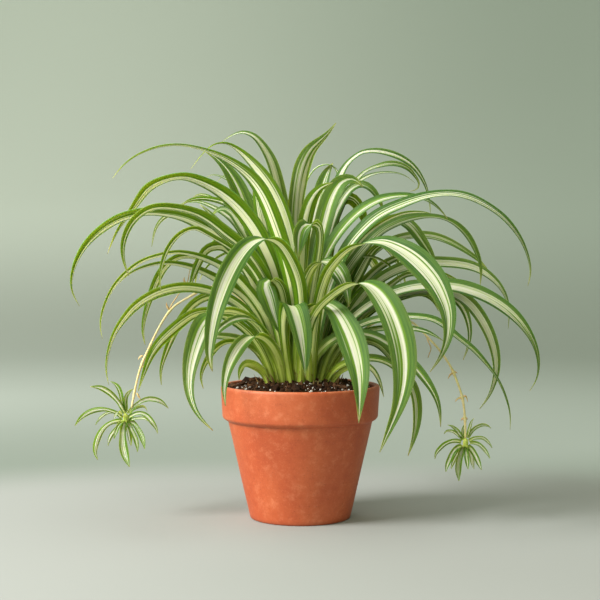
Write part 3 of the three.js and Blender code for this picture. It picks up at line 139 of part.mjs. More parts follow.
const PLANTLETS = {
  plantlet_left: {
    centre: [-165.2, 0, 94.1],
    leaves: [
      [[-165.6,0,98.4,.79,-.02,.37],[-170.4,-1.3,107.1,1.23,.06,.8],[-176,-3,114.4,1.6,.03,1.5],[-182.4,-4.6,119.9,1.34,-.08,2.04],[-189.3,-6.2,123.2,.55,-.2,1.82],[-197.3,-8,124.1,.01,-.06,.34]],
      [[-166.5,-0,100.3,-.69,-.16,-.15],[-168.3,1.9,108.1,-1.21,-.27,-.17],[-170.1,4.3,115.8,-1.7,-.45,-.35],[-172.5,6.3,121.4,-1.54,-.65,-.74],[-176,8.1,125.1,-.83,-.74,-.75],[-181,10,127.3,-.14,-.29,-.13]],
      [[-164.6,-0,100.3,-.62,-.19,-.03],[-165.4,2.4,105.4,-1.02,-.29,.04],[-165.7,5.4,110.3,-1.44,-.31,.23],[-165,8,114,-1.41,-.17,.69],[-163,10.6,116.9,-.96,.08,.83],[-159.7,14,119.7,-.24,.08,.24]],
      [[-161.8,-0,98.4,-.61,.1,.43],[-154.7,1.1,106.2,-.86,.21,.97],[-147.3,2.2,110.4,-.61,.4,1.73],[-139.7,3.3,111.1,.22,.65,2.03],[-131.9,4.5,108.3,.78,.74,1.44],[-125.1,6,102,.23,.16,.21]],
      [[-162.8,0,93.6,-.32,.34,.59],[-154.5,-2.4,98.1,-.25,.46,1.17],[-148.7,-4.3,98.5,.56,.37,1.57],[-142.6,-6.8,95,1.51,.45,1.32],[-136.3,-10.8,87.5,1.38,.32,.84],[-133.5,-14,80.8,.35,.04,.04]],
      [[-161.9,0,91.7,0,.17,.43],[-157.3,-4,93.2,.03,.25,.7],[-152.5,-9.2,94.5,.09,.31,1.01],[-148.1,-14.4,95.4,.27,.32,1.09],[-144.6,-19,95.2,.39,.14,.81],[-141.3,-24,93.8,.19,.01,.3]],
      [[-162.8,0,91.7,.41,.4,.66],[-157.5,-2.5,88.9,.89,.4,.86],[-153.3,-6,84.7,1.55,.31,.96],[-149.2,-10.6,78.7,2.05,.27,1.04],[-146.5,-15.2,73,1.8,.06,.6],[-145.1,-20,67.1,.35,-.02,.05]],
      [[-163.8,0,90.8,.71,.01,.37],[-160.6,-1.6,85,1.11,.08,.6],[-157.2,-3.7,79,1.64,.16,.88],[-154.8,-5.7,73.9,1.9,.07,.65],[-153.3,-7.8,68.3,1.5,-.03,.29],[-152.8,-10,62.8,.35,-.03,.01]],
      [[-165.6,0,90.8,1.2,-.07,-.29],[-167.1,-2.1,82.8,1.92,-.04,-.14],[-167,-5.1,74.3,2.84,.06,.16],[-165.8,-8.2,66.5,3.38,.2,.81],[-163.1,-12,58,2.82,-.07,1.08],[-159.6,-16,49.6,.32,0,.15]],
      [[-168.5,0,90.8,.06,-.13,.86],[-178.4,-2.3,89.4,-.48,-.14,1.34],[-185.3,-5,84.2,-1.39,-.56,1.39],[-190,-8.6,75,-2.14,-1.02,1.06],[-191.8,-12.6,64.5,-1.58,-1.22,.39],[-189,-16,56.2,-.27,-.21,-.08]],
      [[-168.5,0,93.6,.56,-.09,.49],[-176.4,-.5,99.7,.51,-.07,1.1],[-186.4,-1.3,101.8,.07,-.15,1.81],[-196.7,-2.1,100.1,-.72,-.5,2.09],[-206.1,-3.1,94.5,-1.04,-.71,1.33],[-212.3,-4,86.6,-.28,-.14,.15]],
      [[-169.4,-0,95.5,.2,-.21,.33],[-174.5,1.5,98.2,.08,-.21,.6],[-180.3,3.6,98.4,-.21,-.17,.87],[-185.8,6,96.1,-.63,-.17,.9],[-191.1,8.8,91.6,-.77,-.13,.61],[-195.3,12,85.5,-.31,-.03,.16]],
      [[-168.5,0,96.5,.32,.15,.25],[-170.2,-2.1,99.1,.45,-0,.42],[-171.6,-4.9,99.9,.7,-.29,.27],[-172.6,-8.1,98.7,.98,-.2,-.11],[-173.5,-12.8,95.7,.92,-.06,-.04],[-173.6,-18,93,.35,.01,.01]],
      [[-167.5,.1,90.8,.51,-.29,-.29],[-169.8,-2.9,88.6,.86,-.21,-.36],[-171.4,-6.9,86,1.23,-.1,-.38],[-172.3,-11.5,83,1.55,0,-.34],[-172.8,-16.6,79.8,1.34,-.05,-.09],[-173.1,-22,76.7,.35,-.01,-.02]],
      [[-163.7,-0,98.4,-.25,.03,.39],[-158.8,3.9,101.1,-.41,.08,.7],[-153.9,8.3,103,-.44,.2,1],[-150.3,12,103.2,-.19,.34,1.03],[-148.4,14.7,101.8,.13,.53,.68],[-146.8,18,97.7,.11,.26,.2]],
      [[-164.7,-0,91.7,-.71,-.01,-.15],[-163.8,2.3,86.6,-1.1,-.01,-.18],[-163,5.4,81.1,-1.55,-.03,-.21],[-162.4,8.8,75.7,-1.82,-.07,-.19],[-162.1,12.3,70.2,-1.48,-.08,-.11],[-162,16,64.8,-.35,-.03,-.02]],
      [[-167.5,-0,91.7,-.55,-.09,.35],[-171.6,2.6,86.4,-.86,-.16,.59],[-176.2,6,80.8,-1.23,-.25,.88],[-179.9,9.3,75.8,-1.5,-.17,.8],[-182.6,12.7,70.4,-1.24,-.05,.44],[-184.1,16,64.8,-.34,.01,.06]],
    ],
  },
  plantlet_right: {
    centre: [153.8, -20, 73.2],
    leaves: [
      [[151.4,-20,75.5,-.52,-.05,-.23],[149.4,-19,79.5,-.78,-.08,-.44],[146.9,-17.7,83.2,-1.02,-.15,-.76],[144.2,-16.5,85.9,-.88,-.25,-.97],[141.1,-15.3,87.8,-.48,-.43,-.73],[137.6,-14,88.8,-.12,-.28,-.17]],
      [[152.4,-20,77.4,-.42,-.15,-.13],[151.5,-18.5,80.1,-.64,-.13,.01],[151.7,-16.3,83.1,-.88,-.03,.2],[152.7,-13.9,85.8,-.97,.15,.43],[154.4,-11,88.7,-.83,.09,.31],[155.6,-8,91.8,-.34,0,.09]],
      [[155.2,-20,78.3,.42,.03,-.18],[156.4,-20.6,82,.67,.03,-.17],[157.4,-21.5,86.3,.99,.04,-.19],[158.3,-22.5,90.7,1,.05,-.23],[159.4,-23.3,94,.59,.08,-.27],[161.1,-24,96.1,.24,.09,-.23]],
      [[156.1,-20,77.4,-.53,.12,.18],[159.2,-18.7,82.8,-.72,.24,.53],[163.9,-16.9,86.8,-.72,.35,1.07],[169.6,-15.2,88.8,-.32,.53,1.28],[174.7,-13.5,88.1,.15,.52,.88],[178.6,-12,85.2,.16,.21,.22]],
      [[157,-20,74.6,-.23,.28,.41],[161.8,-21.2,77.2,-.15,.36,.75],[167,-22.8,77.9,.13,.4,1.15],[170.7,-24.1,77.1,.72,.24,1.1],[174.5,-25.9,73.8,.86,.1,.68],[177.4,-28,69.2,.32,.01,.14]],
      [[158,-20,72.7,.04,.34,.5],[162.4,-22.1,72.9,.28,.33,.77],[165.9,-24.5,71.9,.71,.17,.93],[169.4,-27.8,68.8,1.12,.1,.97],[172.3,-31.8,65,1.09,0,.67],[174.5,-36,60.6,.32,-.02,.15]],
      [[156.1,-20,69.9,.57,.01,.65],[159.2,-21.8,66.8,.97,.01,.8],[161.7,-24.2,63.2,1.5,-.1,.92],[163.7,-27.1,59,1.89,-.23,.94],[165.4,-30.4,54.4,1.6,-.22,.72],[166.9,-34,49.7,.32,-.05,.14]],
      [[154.3,-20,69,.72,-.19,.06],[154,-22.7,65.3,1.07,-.23,.17],[154,-26.6,61.6,1.5,-.27,.3],[154.1,-30.9,57.9,1.78,-.27,.4],[154.1,-35.4,54.5,1.43,-.26,.28],[153.8,-40,51.1,.34,-.07,.06]],
      [[152.4,-20,69,.88,-.27,-.4],[149.8,-21.4,63.3,1.41,-.41,-.43],[148,-23.2,57.4,2.14,-.53,-.37],[146.8,-25.3,51.5,2.54,-.51,-.11],[146.5,-27.6,45.2,2.08,-.35,.11],[146.7,-30,38.8,.34,-.05,.05]],
      [[150.5,-20,69.9,.3,-.69,-.43],[145.6,-21.8,68.1,.76,-.58,-.78],[142,-24.3,65,1.44,-.5,-.79],[138.9,-27.7,59.7,2.01,-.64,-.63],[135.9,-31.9,53.8,1.71,-.68,-.27],[134,-36,48.2,.33,-.11,.01]],
      [[149.6,-20,73.6,.24,-.08,.67],[143,-20.9,74.7,-.02,-.01,1.11],[136.7,-22,73.2,-.61,-.12,1.5],[131,-23.3,69.3,-1.2,-.24,1.4],[126.3,-24.8,64,-1.13,-.23,.7],[124.9,-26,58.7,-.34,-.07,.03]],
      [[150.5,-20,75.5,.26,-.28,.3],[147.6,-17.4,79.4,.4,-.25,.65],[143.8,-14,82.2,.36,-.18,1.06],[140.1,-11,82.8,-.11,-.08,1.14],[136.9,-8.3,82.1,-.42,.09,.68],[135.2,-6,79.3,-.28,.12,.18]],
      [[155.2,-20,69.9,-.61,.2,-.33],[157.6,-18.1,65.8,-.98,.28,-.32],[159.4,-15.5,61.3,-1.44,.31,-.28],[160.7,-12.5,56.3,-1.76,.31,-.22],[162,-9.3,51.1,-1.42,.29,-.21],[163.6,-6,46.2,-.33,.08,-.07]],
      [[151.5,-20,69.9,-.52,.14,.39],[148.9,-17.9,65.6,-.83,.18,.55],[146.5,-15.2,60.9,-1.21,.28,.72],[144.5,-12.2,56,-1.44,.36,.75],[143,-9.1,51.2,-1.17,.33,.52],[141.9,-6,46.2,-.31,.1,.12]],
    ],
  },
};

// ---------------------------------------------------------------- solids
const wasm = await Module();
wasm.setup();

function solidOf(geometry) {
  const g = geometry.clone();
  g.deleteAttribute("normal");
  g.deleteAttribute("uv");
  const m = BufferGeometryUtils.mergeVertices(g, 1e-5);
  return new wasm.Manifold(new wasm.Mesh({
    numProp: 3,
    vertProperties: new Float32Array(m.attributes.position.array),
    triVerts: new Uint32Array(m.index.array),
  }));
}

function geometryOf(solid) {
  const m = solid.getMesh();
  const g = new THREE.BufferGeometry();
  const pos = new Float32Array(m.numVert * 3);
  for (let i = 0; i < m.numVert; i++) {
    for (let k = 0; k < 3; k++) pos[3 * i + k] = m.vertProperties[i * m.numProp + k];
  }
  g.setAttribute("position", new THREE.BufferAttribute(pos, 3));
  g.setIndex(new THREE.BufferAttribute(new Uint32Array(m.triVerts), 1));
  g.computeVertexNormals();
  return g;
}

const biggest = (solid) => solid.decompose().sort((a, b) => b.volume() - a.volume())[0];

// Closed surface from rings of points; the two ends close on fans. The faces
// under a blade are split along the same way as those above it, so a twisted
// blade keeps its thickness.
function ringSolid(rings, blade = false) {
  const n = rings[0].length;
  const pos = rings.flat().flatMap((v) => [v.x, v.y, v.z]);
  const idx = [];
  for (let i = 0; i + 1 < rings.length; i++) {
    for (let k = 0; k < n; k++) {
      const a = i * n + k, b = i * n + ((k + 1) % n), c = a + n, d = b + n;
      if (blade && k >= n / 2) idx.push(a, b, c, b, d, c);
      else idx.push(a, b, d, a, d, c);
    }
  }
  const last = (rings.length - 1) * n;
  for (let k = 1; k + 1 < n; k++) {
    idx.push(0, k + 1, k);
    idx.push(last, last + k, last + k + 1);
  }
  const g = new THREE.BufferGeometry();
  g.setAttribute("position", new THREE.BufferAttribute(new Float32Array(pos), 3));
  g.setIndex(idx);
  return solidOf(g);
}

// A leaf: a lens-shaped blade, thickest along its midrib, through its stations.
function leafSolid(stations, thickness) {
  const mid = stations.map((s) => new THREE.Vector3(s[0], s[1], s[2]));
  const side = stations.map((s) => new THREE.Vector3(s[3], s[4], s[5]));
  const rings = mid.map((p, i) => {
    const t = mid[Math.min(i + 1, mid.length - 1)].clone().sub(mid[Math.max(i - 1, 0)]).normalize();
    const up = t.clone().cross(side[i]).normalize();
    const k = i === mid.length - 1 ? 0.35 : i > mid.length - 3 ? 0.7 : 1;
    const half = up.multiplyScalar(0.5 * thickness * k);
    return [p.clone().add(side[i]), p.clone().add(half), p.clone().sub(side[i]), p.clone().sub(half)];
  });
  const s = ringSolid(rings, true);
  return s.volume() > 0 ? s : ringSolid(rings.map((r) => [r[0], r[3], r[2], r[1]]), true);
}

// A round stem of n sides along a line, its radius running from r0 to r1.
function stemSolid(points, r0, r1, n = 6) {
  const mid = points.map((p) => new THREE.Vector3(...p));
  let ref = new THREE.Vector3(0, 1, 0);
  const rings = mid.map((p, i) => {
    const t = mid[Math.min(i + 1, mid.length - 1)].clone().sub(mid[Math.max(i - 1, 0)]).normalize();
    const a = ref.clone().addScaledVector(t, -ref.dot(t)).normalize();
    ref = a;
    const b = t.clone().cross(a);
    const r = r0 + (r1 - r0) * (i / (mid.length - 1));
    return Array.from({ length: n }, (_, k) => {
      const w = (2 * Math.PI * k) / n;
      return p.clone().addScaledVector(a, r * Math.cos(w)).addScaledVector(b, r * Math.sin(w));
    });
  });
  return ringSolid(rings);
}

function ellipsoidSolid(centre, radii, w = 16, h = 10) {
  const g = new THREE.SphereGeometry(1, w, h);
  g.scale(...radii);
  g.translate(...centre);
  return solidOf(g);
}

function boxSolid(centre, size, turn = 0) {
  const g = new THREE.BoxGeometry(...size);
  g.rotateZ(turn);
  g.translate(...centre);
  return solidOf(g);
}

function latheSolid(profile, segments) {
  const g = new THREE.LatheGeometry(profile.map((p) => new THREE.Vector2(p[0], p[1])), segments);
  g.rotateX(Math.PI / 2);
  const s = solidOf(g);
  if (s.volume() > 0) return s;
  g.index.array.reverse();
  return solidOf(g);
}

// ---------------------------------------------------------------- pot and soil
const potProfile = [
  [DRAIN_R + 0.5, 0], [POT_BASE_R - 1, 0], [POT_BASE_R, 1],
  [POT_SHOULDER_R, RIM_BAND_Z], [POT_SHOULDER_R + 1.8, RIM_BAND_Z + 0.3], [POT_RIM_R - 2.6, RIM_BAND_Z + 2],
  [POT_RIM_R - 1.6, RIM_BAND_Z + 5], [POT_RIM_R, POT_HEIGHT - 3], [POT_RIM_R - 0.7, POT_HEIGHT - 0.8],
  [POT_RIM_R - 2.2, POT_HEIGHT], [POT_RIM_R - 4, POT_HEIGHT], [POT_RIM_R - 5.4, POT_HEIGHT - 0.9],
  [POT_RIM_R - POT_WALL, POT_HEIGHT - 3], [POT_RIM_R - POT_WALL - 1.6, RIM_BAND_Z + 4],
  [POT_SHOULDER_R - POT_WALL + 0.4, RIM_BAND_Z - 3], [POT_BASE_R - POT_WALL + 1.4, POT_FLOOR + 1.8],
  [POT_BASE_R - POT_WALL - 0.6, POT_FLOOR], [DRAIN_R + 0.4, POT_FLOOR], [DRAIN_R, POT_FLOOR - 0.5], [DRAIN_R, 0.6],
];
const pot = latheSolid([...potProfile, potProfile[0]], 48);

const soilRadius = (z) => {
  const zs = [[POT_FLOOR + 1.8, POT_BASE_R - POT_WALL + 1.4], [RIM_BAND_Z - 3, POT_SHOULDER_R - POT_WALL + 0.4],
    [RIM_BAND_Z + 4, POT_RIM_R - POT_WALL - 1.6], [POT_HEIGHT - 3, POT_RIM_R - POT_WALL]];
  for (let i = 0; i + 1 < zs.length; i++) {
    if (z <= zs[i + 1][0]) {
      const f = (z - zs[i][0]) / (zs[i + 1][0] - zs[i][0]);
      return zs[i][1] + f * (zs[i + 1][1] - zs[i][1]) - GAP - 0.25;
    }
  }
  return zs[3][1] - GAP - 0.25;
};
const soilProfile = [[0, POT_FLOOR + GAP], [POT_BASE_R - POT_WALL - 1.2, POT_FLOOR + GAP],
  [soilRadius(POT_FLOOR + 2), POT_FLOOR + 2.4], [soilRadius(RIM_BAND_Z - 3) - 0.1, RIM_BAND_Z - 3.2],
  [soilRadius(RIM_BAND_Z + 4) - 0.1, RIM_BAND_Z + 4.2], [soilRadius(SOIL_EDGE_Z), SOIL_EDGE_Z],
  [soilRadius(SOIL_EDGE_Z) * 0.86, SOIL_EDGE_Z + SOIL_MOUND * 0.28], [soilRadius(SOIL_EDGE_Z) * 0.6, SOIL_EDGE_Z + SOIL_MOUND * 0.72],
  [soilRadius(SOIL_EDGE_Z) * 0.3, SOIL_EDGE_Z + SOIL_MOUND * 0.94], [0, SOIL_EDGE_Z + SOIL_MOUND]];
let soil = latheSolid(soilProfile, 32);

// ---------------------------------------------------------------- crown
const grow = (r, d) => r.map((v) => v + d);
const dome = ellipsoidSolid(CROWN_CENTRE, CROWN_RADII, 24, 12)
  .subtract(boxSolid([0, 0, CROWN_BOTTOM_Z - 50], [200, 200, 100]));
const domeRoom = ellipsoidSolid(CROWN_CENTRE, grow(CROWN_RADII, GAP), 24, 12)
  .subtract(boxSolid([0, 0, CROWN_BOTTOM_Z - GAP - 50], [200, 200, 100]));
const soilRoom = soil.translate([0, 0, GAP]);
soil = biggest(soil.subtract(domeRoom));

const solids = new Map();
let crown = dome;
for (const stations of CROWN_LEAVES) {
  crown = crown.add(leafSolid(stations, LEAF_THICKNESS).subtract(soilRoom));
}
crown = biggest(crown);

for (const [name, stations] of Object.entries(LEAVES)) {
  const leaf = leafSolid(stations, LEAF_THICKNESS);
  // a leaf that grows close past a joined one keeps clear of it
  if (leaf.intersect(crown.subtract(domeRoom)).volume() > 0.001) {
    crown = biggest(crown.subtract(leafSolid(stations, LEAF_THICKNESS + 4 * GAP).subtract(domeRoom)));
  }
  solids.set(name, biggest(leaf.subtract(domeRoom).subtract(soilRoom)));
}
solids.set("crown", biggest(crown.asOriginal().simplify(0.02)));

// ---------------------------------------------------------------- runners and plantlets
for (const [name, plant] of Object.entries(PLANTLETS)) {
  let own = ellipsoidSolid(plant.centre, PLANTLET_CORE, 10, 7);
  for (const stations of plant.leaves) own = own.add(leafSolid(stations, 0.8));
  solids.set(name, biggest(own));
  solids.set(name + "_room", ellipsoidSolid(plant.centre, grow(PLANTLET_CORE, GAP), 10, 7));
}
for (const [name, runner] of Object.entries(RUNNERS)) {
  let own = stemSolid(runner.line, RUNNER_R, RUNNER_R * 0.85);
  own = own.add(stemSolid(runner.twig, TWIG_R, TWIG_R * 0.6, 5));
  for (const b of runner.bracts) own = own.add(stemSolid(b, TWIG_R * 1.3, 0.2, 5));
  const side = name.slice(7);
  own = own.subtract(domeRoom).subtract(soilRoom).subtract(solids.get(`plantlet_${side}_room`));
  solids.set(name, biggest(own));
  solids.delete(`plantlet_${side}_room`);
}

// ---------------------------------------------------------------- materials and scene
const CLAY = new THREE.MeshStandardMaterial({ color: 0xc8643c, roughness: 0.85, metalness: 0 });
const SOIL = new THREE.MeshStandardMaterial({ color: 0x2c211b, roughness: 1, metalness: 0 });
const LEAF = new THREE.MeshStandardMaterial({ color: 0x6f9440, roughness: 0.5, metalness: 0 });
const CROWN = new THREE.MeshStandardMaterial({ color: 0x9fb060, roughness: 0.6, metalness: 0 });
const RUNNER = new THREE.MeshStandardMaterial({ color: 0xd8cc86, roughness: 0.6, metalness: 0 });

const plant = new THREE.Group();
function put(name, solid, material) {
  const mesh = new THREE.Mesh(geometryOf(solid), material);
  mesh.name = name;
  plant.add(mesh);
}
put("pot", pot, CLAY);
put("soil", soil, SOIL);
for (const [name, solid] of solids) {
  put(name, solid, name.startsWith("leaf") || name.startsWith("plantlet") ? LEAF : name.startsWith("runner") ? RUNNER : CROWN);
}

export default plant;
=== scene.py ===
# A potted spider plant in metres, +Z up, the front towards -Y.
import bpy, math
import numpy as np
from mathutils import Vector, Matrix, noise


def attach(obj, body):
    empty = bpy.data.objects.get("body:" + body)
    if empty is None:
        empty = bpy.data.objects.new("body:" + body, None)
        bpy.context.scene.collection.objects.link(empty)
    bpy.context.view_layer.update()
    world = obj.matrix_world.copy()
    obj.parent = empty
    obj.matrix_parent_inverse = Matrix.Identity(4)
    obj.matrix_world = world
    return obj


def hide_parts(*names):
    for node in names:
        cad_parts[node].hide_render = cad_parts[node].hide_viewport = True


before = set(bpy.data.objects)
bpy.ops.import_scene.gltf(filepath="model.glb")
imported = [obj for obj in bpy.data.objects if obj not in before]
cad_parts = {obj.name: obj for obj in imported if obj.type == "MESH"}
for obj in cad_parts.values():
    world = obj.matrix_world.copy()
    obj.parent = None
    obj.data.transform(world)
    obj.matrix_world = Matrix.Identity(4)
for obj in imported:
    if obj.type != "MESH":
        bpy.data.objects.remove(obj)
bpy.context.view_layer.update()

MM = 0.001

# ------------------------------------------------------------------ camera
cam_data = bpy.data.cameras.new("camera")
cam = bpy.data.objects.new("camera", cam_data)
bpy.context.scene.collection.objects.link(cam)
cam_data.sensor_width = 36.0
cam_data.lens = 1381.0 / 600.0 * 36.0
cam_data.clip_start, cam_data.clip_end = 0.05, 60.0
cam_data.shift_x = -0.3 / 600.0
cam.location = (0.0, -1.300, 0.2515)
cam.rotation_euler = (math.radians(90) - 0.0356, 0.0, 0.0)
bpy.context.scene.camera = cam
bpy.context.scene.view_settings.view_transform = "Standard"

